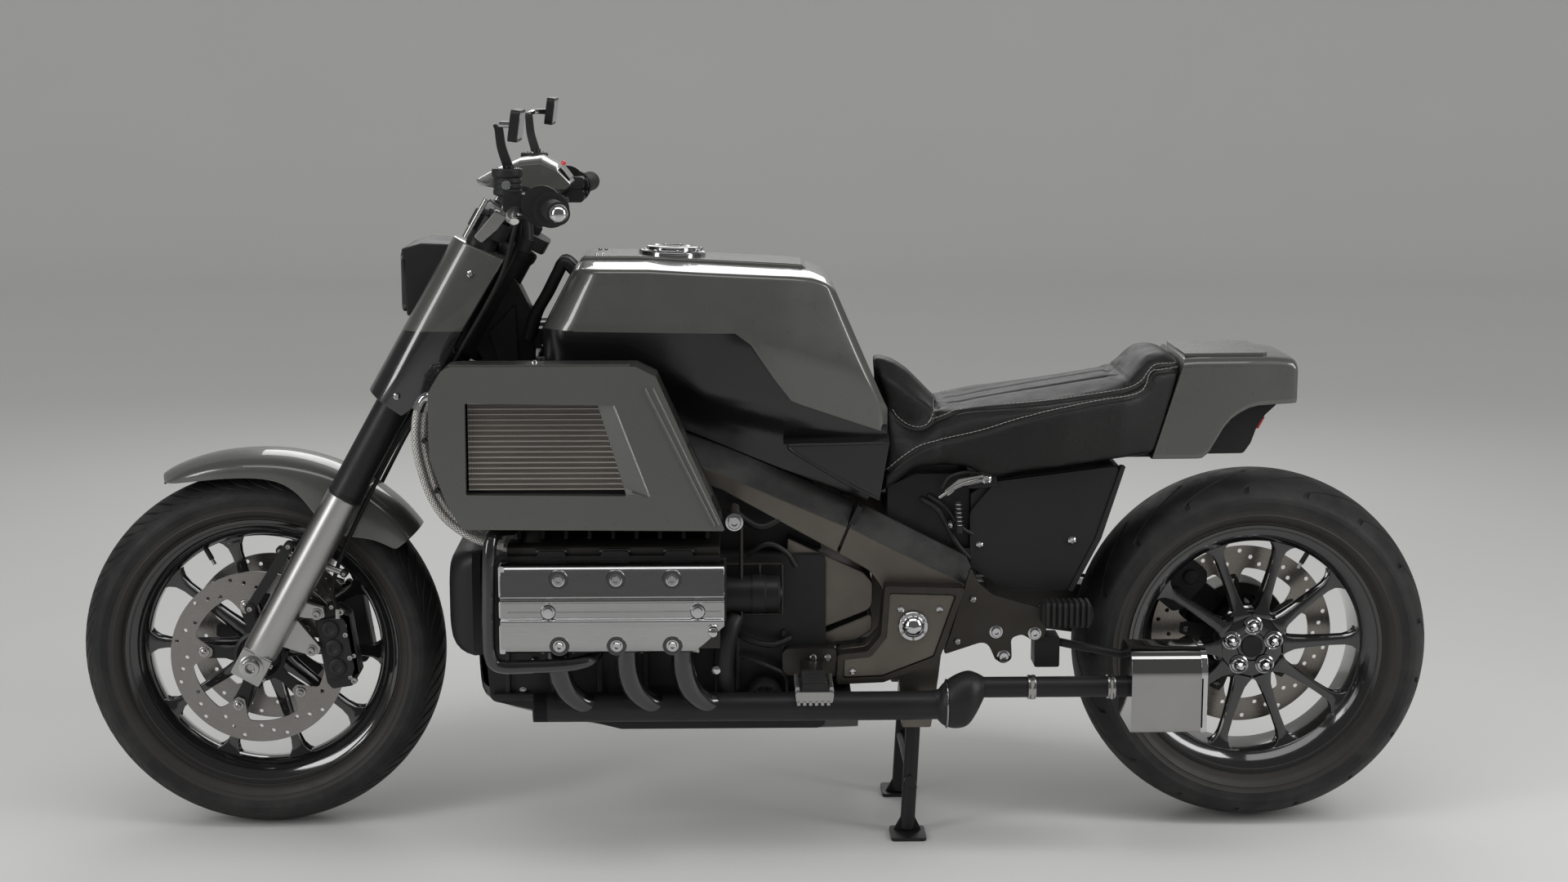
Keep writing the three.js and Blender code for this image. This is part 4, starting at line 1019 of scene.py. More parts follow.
def buildRim(word):
    r = rimSizes[word]
    arm = loose("arm", spokeShape(r), "rim", 1.3, 2)
    star = grown(word + "Spokes", "ring", bpy.data.meshes.new("none"), {"Part": arm, "Count": r["count"],
        "Start": -r["start"], "Centre": tuple(v * milli for v in r["centre"]), "Finish": "rim"}, [arm])
    settle(star, r["body"], "gloss_black")
    piece = Piece(word + "Rim", r["body"], "gloss_black", (r["node"],))
    piece.add(rimBarrel(r), "rim")
    half, hub = r["hubHalf"], r["hub"]
    if word == "front":
        profile = [(r["bore"], -half), (hub - 14, -half), (hub - 12, -half + 3), (hub - 8, -half + 8),
            (hub - 4, -30), (hub, -22), (hub + 2, 0), (hub, 22), (hub - 4, 30), (hub - 8, half - 8),
            (hub - 12, half - 3), (hub - 14, half), (r["bore"], half)]
    else:
        profile = [(r["bore"], -28), (r["bore"], half), (hub - 16, half), (hub - 10, half - 4),
            (hub, half - 14), (hub + 4, -10), (hub + 2, -30), (hub - 3, -40), (hub - 9, -43.5),
            (26, -43.5), (24, -41), (19, -41), (19, -28)]
    piece.add(revolve(profile, r["centre"], "y", 64), "rim")
    # a valve stem on the barrel
    angle = math.radians(118 if word == "front" else 60)
    well = r["bead"] - 24
    for a, b, radius in ((0, 20, 4.5), (20, 30, 3.2)):
        ends = [(r["centre"][0] + (well - s) * math.cos(angle), -r["half"] * 0.45,
            r["centre"][2] + (well - s) * math.sin(angle)) for s in (a, b)]
        piece.add(rod(*ends, radius, 12), "hose" if a == 0 else "steel")
    return piece.done(angle=30)


# brake discs

def discRows(inner, outer, groups):
    # three holes to a group, on three radii
    spots = []
    for k in range(groups):
        for j, share in enumerate((0.2, 0.5, 0.8)):
            angle = 2 * math.pi * (k + 0.30 * j) / groups
            spots.append((inner + (outer - inner) * share, angle))
    return spots


def buildDisc(name, body, node, centre, low, high, inner, outer, groups, hole, finish):
    # a drilled ring whose inner edge reaches in to five ears; it returns where they are
    start, count = math.radians(30), 5
    wave = []
    for k in range(240):
        a = 2 * math.pi * k / 240
        apart = (a - start + math.pi / count) % (2 * math.pi / count) - math.pi / count
        reach = abs(apart) * inner
        ear = 0.0
        if reach < 30:
            ear = 34 * (0.5 + 0.5 * math.cos(math.pi * min(1, max(0, reach - 6) / 24)))
        wave.append(((inner - ear) * math.cos(a), (inner - ear) * math.sin(a)))
    plate = loose("plate", prism(circle((0, 0), outer, 120), low, high, "y", [wave]))
    spots = discRows(inner + 2, outer - 2, groups)
    places = [(r * math.cos(a), (low + high) / 2, r * math.sin(a)) for r, a in spots]
    drill = loose("drill", rod((0, 0, -9), (0, 0, 9), hole, 12))
    mesh = pointMesh(name, places, [(0, 1, 0)] * len(places))
    disc = grown(name, "drill", mesh, {"Plate": plate, "Drill": drill, "Finish": finish}, [plate, drill],
        30)
    disc.data.transform(Matrix.Translation(Vector(centre) * milli))
    settle(disc, body, "steel", node)
    angles = [start + 2 * math.pi * k / count for k in range(count)]
    return [(a, centre[0] + (inner - 20) * math.cos(a), centre[2] + (inner - 20) * math.sin(a))
        for a in angles]


def frontDiscs():
    rows = []
    arm = [(30, -15), (56, -9), (78, -11), (90, -13), (101, -9), (101, 9), (90, 13), (78, 11), (56, 9),
        (30, 15)]
    pins = {
        "left": [(0.1, -69), (0.1, -77.2), (7.6, -77.2), (9.5, -76.4), (9.5, -69)],
        "right": [(0.1, 69), (9.5, 69), (9.5, 76.4), (7.6, 77.2), (0.1, 77.2)],
    }
    hub = [(15, 64.6), (44, 64.6), (44, 70), (38, 73), (34, 70), (15, 70)]
    for word, side in sides:
        low, high = sorted((side * 70.3, side * 74.8))
        ears = buildDisc(word + "FrontDisc", "front_wheel", f"front_disc_{word}", frontAxle, low, high,
            112, 147.6, 12, 3.5, "frontDisc")
        piece = Piece(word + "DiscCarrier", "front_wheel", "gloss_black")
        for a, x, z in ears:
            flat = turnFlat(arm, a, frontHub)
            piece.add(prism(flat, 66.2, 70.0), "satin", side)
            piece.add(revolve(pins[word], (x, 0, z), "y", 24, False), "steel")
            rows.append((x, side * 77.2, z, (0, side, 0), 5.6))
        piece.add(revolve(hub, frontAxle, "y", 48), "satin", side)
        piece.done(0.6, 1)
    fasteners("frontDiscBolts", "front_wheel", "button", rows)


def rearDisc():
    ears = buildDisc("rearDiscRing", "rear_wheel", "rear_disc", rearAxle, 46.4, 50.6, 118, 157.5, 14, 3.8,
        "rearDisc")
    piece = Piece("rearDiscCarrier", "rear_wheel", "cast_alloy")
    arm = [(30, -17), (62, -11), (96, -13), (108, -9), (108, 9), (96, 13), (62, 11), (30, 17)]
    for a, _, _ in ears:
        piece.add(prism(turnFlat(arm, a, rearHub), 44, 46.2), "cast")
    piece.add(revolve([(26, 46.3), (56, 46.3), (54, 51), (26, 51)], rearAxle, "y", 48), "cast")
    piece.done(0.6, 1)
    fasteners("rearDiscBolts", "rear_wheel", "button", [(x, 44, z, (0, -1, 0), 6.2) for _, x, z in ears])


def hubFace():
    # five nuts in deep seats round a plain cap, on the rear wheel's open side
    rows = []
    piece = Piece("rearHubCap", "rear_wheel", "gloss_black")
    piece.add(revolve([(0.1, -46.5), (0.1, -45), (17, -45), (18.6, -43), (18.6, -28), (0.1, -28),
                       ], rearAxle, "y", 40, False), "satin")
    for k in range(5):
        a = math.radians(90 + 72 * k)
        x, z = rearAxle[0] + 38 * math.cos(a), rearAxle[2] + 38 * math.sin(a)
        piece.add(revolve([(13.2, -42), (13.2, -46.5), (14.6, -47.5), (16.3, -46.5), (16.8, -42)],
            (x, 0, z), "y", 28), "polished")
        rows.append((x, -43.5, z, (0, -1, 0), 11))
    piece.done()
    fasteners("wheelNuts", "rear_wheel", "nut", rows, "chrome", "chrome")


def wheels():
    for size in (frontTyre, rearTyre):
        tyrePiece(size)
    for word in rimSizes:
        buildRim(word)
    frontDiscs()
    rearDisc()
    hubFace()
    say("wheels")


# what turns with the bars; "head" numbers are measured along the steering axis

fork = {"x": -55.0, "y": 112.0, "foot": -584.4, "slider": 29.6, "tube": 28.2}


def roundEdges(test, radius, segments=6):
    # a turn for Piece.done: rounds the edges whose middle and direction pass the test
    def work(obj):
        mesh = bmesh.new()
        mesh.from_mesh(obj.data)
        chosen = []
        for edge in mesh.edges:
            a, b = (v.co / milli for v in edge.verts)
            if test((a + b) / 2, (b - a).normalized()):
                chosen.append(edge)
        bmesh.ops.bevel(mesh, geom=chosen, offset=radius * milli, segments=segments, profile=0.5,
            affect="EDGES", clamp_overlap=True)
        mesh.to_mesh(obj.data)
        mesh.free()
    return work


def thickened(wall, offset, edge=0.0):
    # a turn for Piece.done: a smooth sheet with a wall, and softer rims if edge is given
    def work(obj):
        divide(obj, 2)
        modify(obj, "SOLIDIFY", thickness=wall * milli, offset=offset)
        if edge:
            soften(obj, edge, 2, 50)
        bake(obj)
    return work


def splitAt(obj, place, normal, lowFinish):
    # faces below the plane take another finish, with a clean line between
    mesh = bmesh.new()
    mesh.from_mesh(obj.data)
    where, way = Vector(place) * milli, Vector(normal)
    bmesh.ops.bisect_plane(mesh, geom=mesh.verts[:] + mesh.edges[:] + mesh.faces[:], plane_co=where,
        plane_no=way)
    obj.data.materials.append(finishes[lowFinish])
    index = len(obj.data.materials) - 1
    for face in mesh.faces:
        if (face.calc_center_median() - where).dot(way) < 0:
            face.material_index = index
    mesh.to_mesh(obj.data)
    mesh.free()


def forkLegs():
    x, y, foot, r, inner = (fork[key] for key in ("x", "y", "foot", "slider", "tube"))
    # profile as radius and height along the leg, sides, finish
    turned = (
        ([(0.1, foot + 14), (r - 3, foot + 14), (r - 0.6, foot + 24), (r, foot + 60), (r, -262),
          (r - 0.6, -260.6), (0.1, -260.6)], 56, "aluminium"),
        ([(0.1, -262), (r - 1.2, -262), (r - 0.8, -259), (r - 0.8, -254), (inner, -251),
          (0.1, -251)], 48, "hose"),
        (rect(0.1, -262, inner, -60), 48, "satin"),
        ([(0.1, 200), (23.2, 200), (23.2, 268), (21.5, 271), (15, 271), (14, 276), (0.1, 276)],
         40, "satin"),
        ([(0.1, 270), (9, 270), (9, 279), (7, 281), (0.1, 281)], 6, "machined"),
    )
    block = rounded(rect(x - 26, foot - 25, x + 26, foot + 26), 3, 2)
    line = rect(x - 26.4, foot + 22, x + 26.4, foot + 23.4)
    innerRing = rect(12.6, 64.6, 18, 84)
    outerRing = [(10, 139), (20, 139), (20, 141.6), (18, 142.6), (10, 142.6)]
    rows = []
    for word, side in sides:
        piece = Piece(word + "ForkLeg", "steering", "aluminium", (f"fork_leg_{word}",))
        for profile, count, finish in turned:
            piece.add(atHead(revolve(profile, (x, y, 0), "z", count, False)), finish, side)
        piece.add(atHead(prism(block, 84, 140)), "aluminium", side)
        piece.add(atHead(prism(line, 83.6, 140.4)), "gloss", side)
        piece.done(0.9, 2, 40)
        collar = Piece(word + "AxleCollar", "steering", "steel")
        collar.add(revolve(innerRing, frontAxle, "y", 32), "steel", side)
        collar.add(revolve(outerRing, frontAxle, "y", 36), "machined", side)
        collar.done()
        # pinch screws across the foot of the leg
        for rise in (-14, 12):
            at = headMatrix @ Vector((x + 26, side * (y + 14), foot + rise))
            rows.append((*at, tuple(headTurn @ Vector((1, 0, 0))), 4.4))
    fasteners("pinchScrews", "steering", "cap", rows, "steel", "steel")


def forkCovers():
    outline = [(-99, 209), (-9, 217), (-12, 85), (-8, -39), (-34, -88), (-102, -81)]
    outer = 152.4
    rows = []
    for word, side in sides:
        piece = Piece(word + "ForkCover", "steering", "paint")
        obj = piece.add(prism(outline, 84, outer), "paint", side).object()
        roundEdges(lambda m, d: m.x < -90 and abs(m.y) > 150 and abs(d.z) > 0.9, 44, 10)(obj)
        roundEdges(lambda m, d: m.x < -90 and abs(m.y) < 90 and abs(d.z) > 0.9, 12, 4)(obj)
        soften(obj, 2.2, 3, 40)
        bake(obj)
        obj.data.transform(Matrix.Translation(Vector(yokePlace) * milli) @ Matrix.Rotation(rake, 4, "Y"))
        splitAt(obj, (0, 0, 868), (0, 0, 1), "gloss")
        smoothOver(obj.data, 40)
        settle(obj, "steering", "paint", f"fork_cover_{word}")
        for u, w, size in ((-44, 172, 6.5), (-55, -62, 6.0)):
            at = headMatrix @ Vector((u, side * outer, w))
            rows.append((*at, tuple(headTurn @ Vector((0, side, 0))), size))
    fasteners("forkCoverScrews", "steering", "button", rows, "chrome", "chrome")


def yokes():
    x, y = fork["x"], fork["y"]
    plan = rounded([(x - 30, -y - 22), (x - 30, y + 22), (x + 24, y + 26), (x + 34, 60), (38, 34),
        (40, 0), (38, -34), (x + 34, -60), (x + 24, -y - 26)], 12, 4)
    piece = Piece("yokes", "steering", "aluminium", ("steering_stem",))
    piece.add(atHead(prism(plan, 240, 264, "z")), "cast")
    piece.add(atHead(prism(plan, -20, 20, "z")), "satin")
    piece.add(atHead(rod((0, 0, -30), (0, 0, 274), 15.5, 32)), "satin")
    piece.add(atHead(revolve([(0.1, 264), (19, 264), (19, 276), (16, 279), (9, 279), (8, 272),
        (0.1, 272)], (0, 0, 0), "z", 6, False)), "satin")
    for _, side in sides:
        for low, high in ((236, 266), (-22, 22)):
            piece.add(atHead(revolve(rect(24, low, 33.4, high), (x, side * y, 0), "z", 40)), "satin")
        # a small casting and a leaning rod beside each riser, then the riser
        casting = rounded([(-458, 1021), (-424, 1061), (-404, 1053), (-420, 1033), (-446, 1011)], 3, 2)
        piece.add(prism(casting, 136, 149), "aluminium", side)
        piece.add(rod((-383, 48, 1004), (-385, 48, 1070), 13, 24), "satin", side)
        piece.add(rod((-392, 48, 990), (-383, 48, 1012), 16, 24), "satin", side)
        piece.add(rod((-385, 34, 1078), (-385, 62, 1078), 18.6, 28), "satin", side)
    piece.done(1.2, 2)


def headlight():
    outline = [(-584.5, 996), (-578, 886), (-514, 882), (-448, 1001), (-552, 1005)]
    piece = Piece("headlightShell", "steering", "gloss_black", ("headlight",))
    piece.add(prism(outline, -82, 82), "satin")
    rim = rect(-82, 892, 82, 992)
    outer = rounded(rim, 14, 5)
    inner = rounded(rect(-72, 902, 72, 982), 10, 5)
    piece.add(prism(outer, -586, -576, "x", [inner]), "gloss")
    piece.done(3.0, 3)
    lamps = Piece("headlightBowls", "steering", "gloss_black")
    for _, side in sides:
        bowl = [(33, -583.5), (33.8, -581), (31, -579), (24, -572), (14, -566), (0.1, -564), (0.1, -562),
            (36, -562), (36, -583.5)]
        lamps.add(revolve(bowl, (0, side * 36, 942), "x", 40, False), "chrome")
        lamps.add(revolve([(0.1, -581), (12, -579.5), (19, -575), (22, -568), (0.1, -567)],
            (0, side * 36, 942), "x", 32, False), "glass")
    lamps.add(slab(rect(-66, 970, 66, 977), 3, 2, -583.4, -575, "x"), "glass")
    lamps.add(box((-578, -74, 900), (-563, 74, 984)), "plastic")
    lamps.done()


def cowl():
    # an angular visor in front of the clamps, with the display on its sloping back
    outline = [(-471, 1104), (-462, 1095), (-400, 1091.5), (-316, 1091.5), (-307, 1100), (-330, 1130),
        (-356, 1145), (-392, 1141), (-432, 1125)]
    rings = []
    for y in (-60, -57, -46, -24, 0, 24, 46, 57, 60):
        share = abs(y) / 60
        shrink = 1 - 0.10 * share ** 3
        nose = 30 * share ** 2.2
        ring = []
        for x, z in rounded(outline, (5, 5, 3, 3, 4, 7, 8, 8, 6), 3):
            pull = nose * max(0, (-400 - x) / 71)
            ring.append((x + pull, y, 1091.5 + (z - 1091.5) * (shrink - 0.12 * share ** 6)))
        rings.append(ring)
    piece = Piece("instrumentCowl", "steering", "paint", ("instrument_cowl",))
    piece.add(loft(rings), "paint")
    piece.done(1.6, 3, 30)
    dash = Piece("display", "steering", "gloss_black")
    for half, depth, thick, finish in ((45, 13, 2.0, "satin"), (41, 10.5, 2.8, "smoke")):
        plate = slab(rect(-depth, -half, depth, half), 5, 3, 0, thick, "z")
        dash.add(moved(plate, Matrix.Translation((-318, 0, 1115)) @ Matrix.Rotation(math.radians(52), 4,
            "Y")), finish)
    dash.done(0.6, 2)


barPath = [(-385, 0, 1078), (-385, 60, 1078), (-378, 130, 1079), (-352, 210, 1078), (-322, 290, 1075),
    (-308, 350, 1076), (-303, 408, 1076.5)]


bars = {
    "gripStart": (-322.5, 288.0, 1074.5), "gripEnd": (-302.5, 409.0, 1077.0), "gripRibs": 13,
    "potX": -392, "potY": 258, "potTop": 1137, "potRings": 3,
    # y, z and radius of the buttons
    "buttons": ((248, 1086, 4.5), (260, 1086, 4.5), (270, 1078, 5), (254, 1064, 5)),
    "lever": [(-372, 262, 1076), (-380, 290, 1073), (-381, 330, 1071), (-378, 380, 1068),
              (-371, 412, 1066), (-368, 418, 1066)],
    "leverRadii": (8.5, 7.0, 5.6, 5.2, 6.0, 6.6),
}


def handlebar():
    whole = [(x, -y, z) for x, y, z in reversed(barPath[1:])] + barPath
    piece = Piece("handlebar", "steering", "satin_black", ("handlebar",))
    piece.add(tube(whole, 12.6, 20, 8), "satin").done()


def grips():
    start, end = (np.array(bars[key]) for key in ("gripStart", "gripEnd"))
    way = (end - start) / np.linalg.norm(end - start)
    matrix = Matrix.Translation(start) @ Vector(way).to_track_quat("Z", "Y").to_matrix().to_4x4()
    rubber = [(12.7, 0), (20.5, 0), (20.8, 3), (17.6, 5)]
    for k in range(bars["gripRibs"]):
        at = 9 + k * 8.2
        rubber += [(16.9, at), (17.6, at + 1.6), (17.6, at + 4.6), (16.9, at + 6.2)]
    rubber += [(17.8, 117), (17.8, 120), (12.7, 121)]
    ball = [(0.1, 119), (9, 119), (9, 121)]
    ball += [(14.4 * math.cos(a), 126 + 11.6 * math.sin(a)) for a in np.linspace(-0.9, 1.5, 9)]
    ball += [(0.1, 137.6)]
    flange = [(13, -1), (27, -1), (28.4, 1.5), (27, 4), (20, 5.5), (13, 5.5)]
    piece = Piece("grips", "steering", "satin_black")
    for _, side in sides:
        for profile, around, closed, finish in ((rubber, 28, True, "grip"), (ball, 32, False, "chrome"),
                (flange, 36, True, "satin")):
            shape = revolve(profile, (0, 0, 0), "z", around, closed)
            piece.add(moved(shape, matrix), finish, side)
    piece.done()


def barControls():
    b = bars
    x, y, top = b["potX"], b["potY"], b["potTop"]
    pot = [(0.1, 1086), (15, 1086), (16, 1094), (22, 1096)]
    for low in (1098 + 8.4 * k for k in range(b["potRings"])):
        pot += [(22.6, low), (22.6, low + 5), (21.4, low + 5.8), (21.4, low + 7.6)]
    pot += [(23.4, 1124), (24.4, 1126), (24.4, 1134), (22.6, 1136.4), (0.1, top)]
    window = [(0.1, 281), (7, 281), (7, 284), (5.6, 284.6), (0.1, 284)]
    clamp = [(-398, 1070), (-350, 1066), (-350, 1096), (-398, 1100)]
    section = [(1.25 * math.cos(a), 0.72 * math.sin(a)) for a in np.linspace(0, 2 * math.pi, 14,
        endpoint=False)]
    controls = Piece("controls", "steering", "satin_black")
    levers = Piece("levers", "steering", "aluminium")
    screws = []
    for _, side in sides:
        # switch box: two halves with a parting line
        for low, high in ((1049, 1071.4), (1072, 1094)):
            half = [(-354, low), (-305, low), (-303, high), (-352, high)]
            controls.add(slab(half, 8, 3, 238, 281), "plastic", side)
        for across, up, size in b["buttons"]:
            controls.add(rod((-304, across, up), (-298, across, up + 1), size, 14), "plastic", side)
        controls.add(rod((-337, 284, 1080), (-337, 290, 1080), 32, 36), "satin", side)
        controls.add(rod((-384, y, 1060), (-384, y, 1089), 11, 24), "steel", side)
        if side > 0:
            controls.add(rod((-350, 262, 1090), (-342, 262, 1114), 3.4, 14), "plastic")
            controls.add(rod((-344, 262, 1109), (-340, 262, 1121), 4.2, 14), "redSwitch")
        # lever clamp, and reservoir with its window and lid screws
        controls.add(slab(clamp, 7, 3, 240, 280), "satin", side)
        controls.add(revolve(pot, (x, y, 0), "z", 36, False), "plastic", side)
        controls.add(revolve(window, (x, 0, 1112), "y", 20, False), "glass", side)
        for a in (2 * math.pi * k / 3 + 0.4 for k in range(3)):
            screws.append((x + 18 * math.cos(a), side * (y + 18 * math.sin(a)), top, (0, 0, 1), 2.6))
        for z in (1076, 1092):
            screws.append((-399.5, side * 260, z, (-1, 0, 0), 3.4))
        levers.add(tube(b["lever"], b["leverRadii"], steps=6, section=section), "aluminium", side)
        levers.add(rod((-372, 262, 1064), (-372, 262, 1088), 7, 20), "aluminium", side)
        levers.add(rod((-472, 146, 1020), (-437, 146, 1081), 4.5, 14), "steel", side)
    controls.done(1.0, 2)
    levers.done(0.3, 2)
    fasteners("controlScrews", "steering", "button", screws, "steel")
    clampScrews = [(-385 + dx, side * 48 + dy, 1094, (0, 0, 1), 3.6) for _,
        side in sides for dx in (-11, 11) for dy in (-8, 8)]
    fasteners("barClampScrews", "steering", "cap", clampScrews, "steel")


def mirrors():
    for word, side in sides:
        piece = Piece(word + "Mirror", "steering", "chrome", (f"mirror_{word}",))
        arm = [(-389, 262, 1132), (-391, 262, 1142), (-399, 270, 1170), (-402, 276, 1198),
            (-404, 280, 1205)]
        flat = rounded(rect(-1.3, -0.55, 1.3, 0.55), 0.2, 2)
        piece.add(tube(arm, (6.5, 6.0, 5.5, 5.2, 5.2), steps=5, section=flat), "satin", side)
        piece.add(rod((-388, 260, 1127), (-389, 261, 1142), 8, 20), "satin", side)
        piece.add(rod((-403, 276, 1203), (-396, 302, 1206), 4.5, 14), "chrome", side)
        tilt = Matrix.Translation((-365, 352, 1206.3)) @ Matrix.Rotation(math.radians(8), 4, "Y")
        shell = moved(slab(rect(-50, -24, 50, 24), 10, 4, -10, 4, "x"), tilt)
        glass = moved(slab(rect(-45, -19.5, 45, 19.5), 7, 4, 3.6, 4.8, "x"), tilt)
        piece.add(shell, "satin", side)
        piece.add(glass, "mirrorGlass", side)
        piece.add(rod((-396, 302, 1206), (-374, 322, 1206), 5, 14), "chrome", side)
        piece.done(1.6, 3)


def fender():
    # station: degrees behind the top, crown radius, half width, drop of the side edge
    stations = ((-28, 344, 34, 12), (-26, 346, 50, 20), (-22, 347, 62, 27), (-16, 347, 71, 33), (-8,
        347, 76, 37), (4, 347, 78, 38), (12, 347, 78, 46), (19, 347, 78.5, 68), (24, 347, 78.5, 86), (30,
        346.5, 78.5, 95), (36, 346, 78.5, 90), (43, 346, 78, 66), (48, 345, 77, 54), (52, 344, 75, 46))
    rings = []
    for degrees, crown, half, drop in stations:
        a = math.radians(degrees)
        ring = []
        for v in np.linspace(-1, 1, 23):
            bend = abs(v)
            if bend < 0.62:  # over the top
                y = half * 0.90 * (bend / 0.62) ** 0.95
                r = crown - 13 * (bend / 0.62) ** 2.2
            else:  # down the side
                t = (bend - 0.62) / 0.38
                y = half * (0.90 + 0.10 * math.sin(min(1, t * 2.2) * math.pi / 2))
                r = crown - 13 - (drop - 13) * t ** 1.05
            ring.append((frontAxle[0] + r * math.sin(a), math.copysign(y, v),
                frontAxle[2] + r * math.cos(a)))
        rings.append(ring)
    piece = Piece("frontFender", "steering", "paint", ("front_fender",))
    piece.add(loft(rings, closed=False, caps=False), "paint")
    piece.done(turn=thickened(3.4, -1.0, 1.2))
    brace = Piece("fenderBrackets", "steering", "aluminium")
    corners = [headMatrix @ Vector((fork["x"] + u, 0, w)) for u,
        w in ((-16, -232), (16, -232), (18, -286), (-18, -286))]
    for _, side in sides:
        brace.add(slab([(p.x, p.z) for p in corners], 5, 3, 78.2, 84), "satin", side)
    brace.done(1.0, 2)


def frontAxleRod():
    piece = Piece("frontAxle", "steering", "steel", ("front_axle",))
    piece.add(rod((frontAxle[0], -143, frontAxle[2]), (frontAxle[0], 143, frontAxle[2]), 12.4, 36),
        "steel")
    for _, side in sides:
        end = [(6.4, 143), (12.4, 143), (14.4, 144.2), (15.4, 146.4), (14.4, 149), (12, 150),
            (8.4, 149.6), (6.4, 146)]
        piece.add(revolve(end, frontAxle, "y", 40), "machined", side)
    piece.done()


def braceRods():
    # the anti-dive links behind each leg: a black bar and a silver rod
    screws = []
    for word, side in sides:
        piece = Piece(word + "BrakeLinks", "steering", "aluminium")
        # half a width to each side of the line between the bar's two pins
        wide = np.array((105.0, -67.0)) / math.hypot(105, 67) * 8
        bar = [(-845 - wide[0], 403 - wide[1]), (-845 + wide[0], 403 + wide[1]),
            (-778 + wide[0], 508 + wide[1]), (-778 - wide[0], 508 - wide[1])]
        piece.add(slab(bar, 6, 4, 112, 122), "satin", side)
        piece.add(rod((-796, 100, 497), (-691, 100, 457), 5.4, 18), "aluminium", side)
        for x, y, z, r in ((-796, 100, 497, 6.5), (-691, 100, 457, 6.5), (-845, 118, 403, 9),
                (-778, 118, 508, 8)):
            piece.add(rod((x, y - 9, z), (x, y + 7, z), r, 24), "satin", side)
            screws.append((x, side * (y + 7), z, (0, side, 0), r * 0.5))
        piece.done(0.8, 2)
    fasteners("brakeLinkBolts", "steering", "cap", screws, "steel", "steel")


def calipers():
    screws = []
    angle = math.radians(9)
    # outline round the axle, inner and outer face, rounding
    plates = (
        ([(109, -58), (116, -70), (150, -70), (166, -52), (168, 52), (150, 70), (116, 70),
          (109, 58)], 77.4, 94, 6),
        ([(111, -52), (154, -52), (160, -40), (160, 40), (154, 52), (111, 52)], 94, 98.5, 8),
        ([(109, -58), (150, -70), (166, -52), (168, 52), (150, 70), (109, 58)], 56, 67.6, 10),
        ([(154, -56), (168, -50), (168, 50), (154, 56)], 60, 94, 4),
    )
    piston = [(0.1, 94), (15, 94), (15, 101.5), (12, 103.5), (7, 103.5), (5, 101.5), (0.1, 101.5)]
    for word, side in sides:
        piece = Piece(word + "FrontCaliper", "steering", "satin_black", (f"front_caliper_{word}",))
        for points, low, high, soft in plates:
            flat = turnFlat(rounded(points, soft, 3), angle, frontHub)
            piece.add(prism(flat, low, high), "crinkle", side)
        for v in (-33, 0, 33):  # piston housings
            spot = turnFlat([(132, v)], angle, frontHub)[0]
            piece.add(revolve(piston, (spot[0], 0, spot[1]), "y", 28, False), "crinkle", side)
        for u, v, size in ((156, -60, 5.5), (156, 60, 5.5), (156, -20, 4.6), (156, 20, 4.6)):
            spot = turnFlat([(u, v)], angle, frontHub)[0]
            screws.append((spot[0], side * 98, spot[1], (0, side, 0), size))
        # two arms from the leg to the mounting bolts
        for arm, bolt in (([(-803, 420), (-763, 412), (-726, 401), (-723, 383), (-755, 383), (-797, 391)],
                (-737, 390)), ([(-798, 383), (-769, 379), (-732, 332), (-736, 321), (-757, 321),
                (-810, 339)], (-748, 328))):
            piece.add(slab(arm, 5, 3, 101, 112), "aluminium", side)
            piece.add(rod((bolt[0], 96, bolt[1]), (bolt[0], 114, bolt[1]), 10, 24), "aluminium", side)
            screws.append((bolt[0], side * 114, bolt[1], (0, side, 0), 6.4))
        for x, z in ((-715, 398), (-705, 379), (-694, 366), (-680, 314), (-684, 296), (-687, 277)):
            screws.append((x, side * 94, z, (0, side, 0), 4.0))
            piece.add(rod((x, 80, z), (x, 94, z), 6, 16), "crinkle", side)
        piece.done(1.2, 2)
    fasteners("caliperBolts", "steering", "cap", screws, "steel", "steel")


def brakeLines():
    lines = Piece("brakeLines", "steering", "satin_black")
    # route, radius; the last two keep near the steering axis, to clear the tank at full lock
    routes = (
        ([(-372, 262, 1072), (-384, 236, 1040), (-412, 190, 960), (-470, 150, 860),
          (-536, 118, 760), (-590, 96, 690), (-640, 90, 600), (-690, 92, 500), (-712, 96, 430),
          (-704, 100, 392)], 3.6),
        ([(-356, 250, 1062), (-372, 190, 1056), (-388, 110, 1040), (-396, 64, 1000),
          (-420, 62, 950), (-448, 62, 900), (-474, 60, 850), (-486, 58, 826)], 4.2),
        ([(-356, 254, 1060), (-374, 200, 1060), (-394, 140, 1050), (-428, 92, 1006),
          (-458, 70, 950), (-490, 60, 890), (-512, 58, 838)], 3.2),
    )
    for _, side in sides:
        for route, radius in routes:
            lines.add(tube(route, radius, 10, 8), "hose", side)
        lines.add(rod((-704, 100, 396), (-704, 100, 380), 5.5, 14), "steel", side)
    lines.done()


def front():
    forkLegs()
    forkCovers()
    yokes()
    headlight()
    cowl()
    handlebar()
    grips()
    barControls()
    mirrors()
    fender()
    calipers()
    brakeLines()
    frontAxleRod()
    braceRods()
    say("front end")


# engine, cooling and belly

def trimmed(shape, place, normal):
    # cuts away what lies beyond the plane and closes the cut
    points, faces = shape
    work = bmesh.new()
    made = [work.verts.new(p) for p in points]
    for face in faces:
        work.faces.new([made[i] for i in face])
    bmesh.ops.bisect_plane(work, geom=work.verts[:] + work.edges[:] + work.faces[:], plane_co=place,
        plane_no=normal, clear_outer=True)
    bmesh.ops.holes_fill(work, edges=[e for e in work.edges if e.is_boundary])
    work.verts.index_update()
    out = [tuple(v.co) for v in work.verts], [[v.index for v in f.verts] for f in work.faces]
    work.free()
    return out


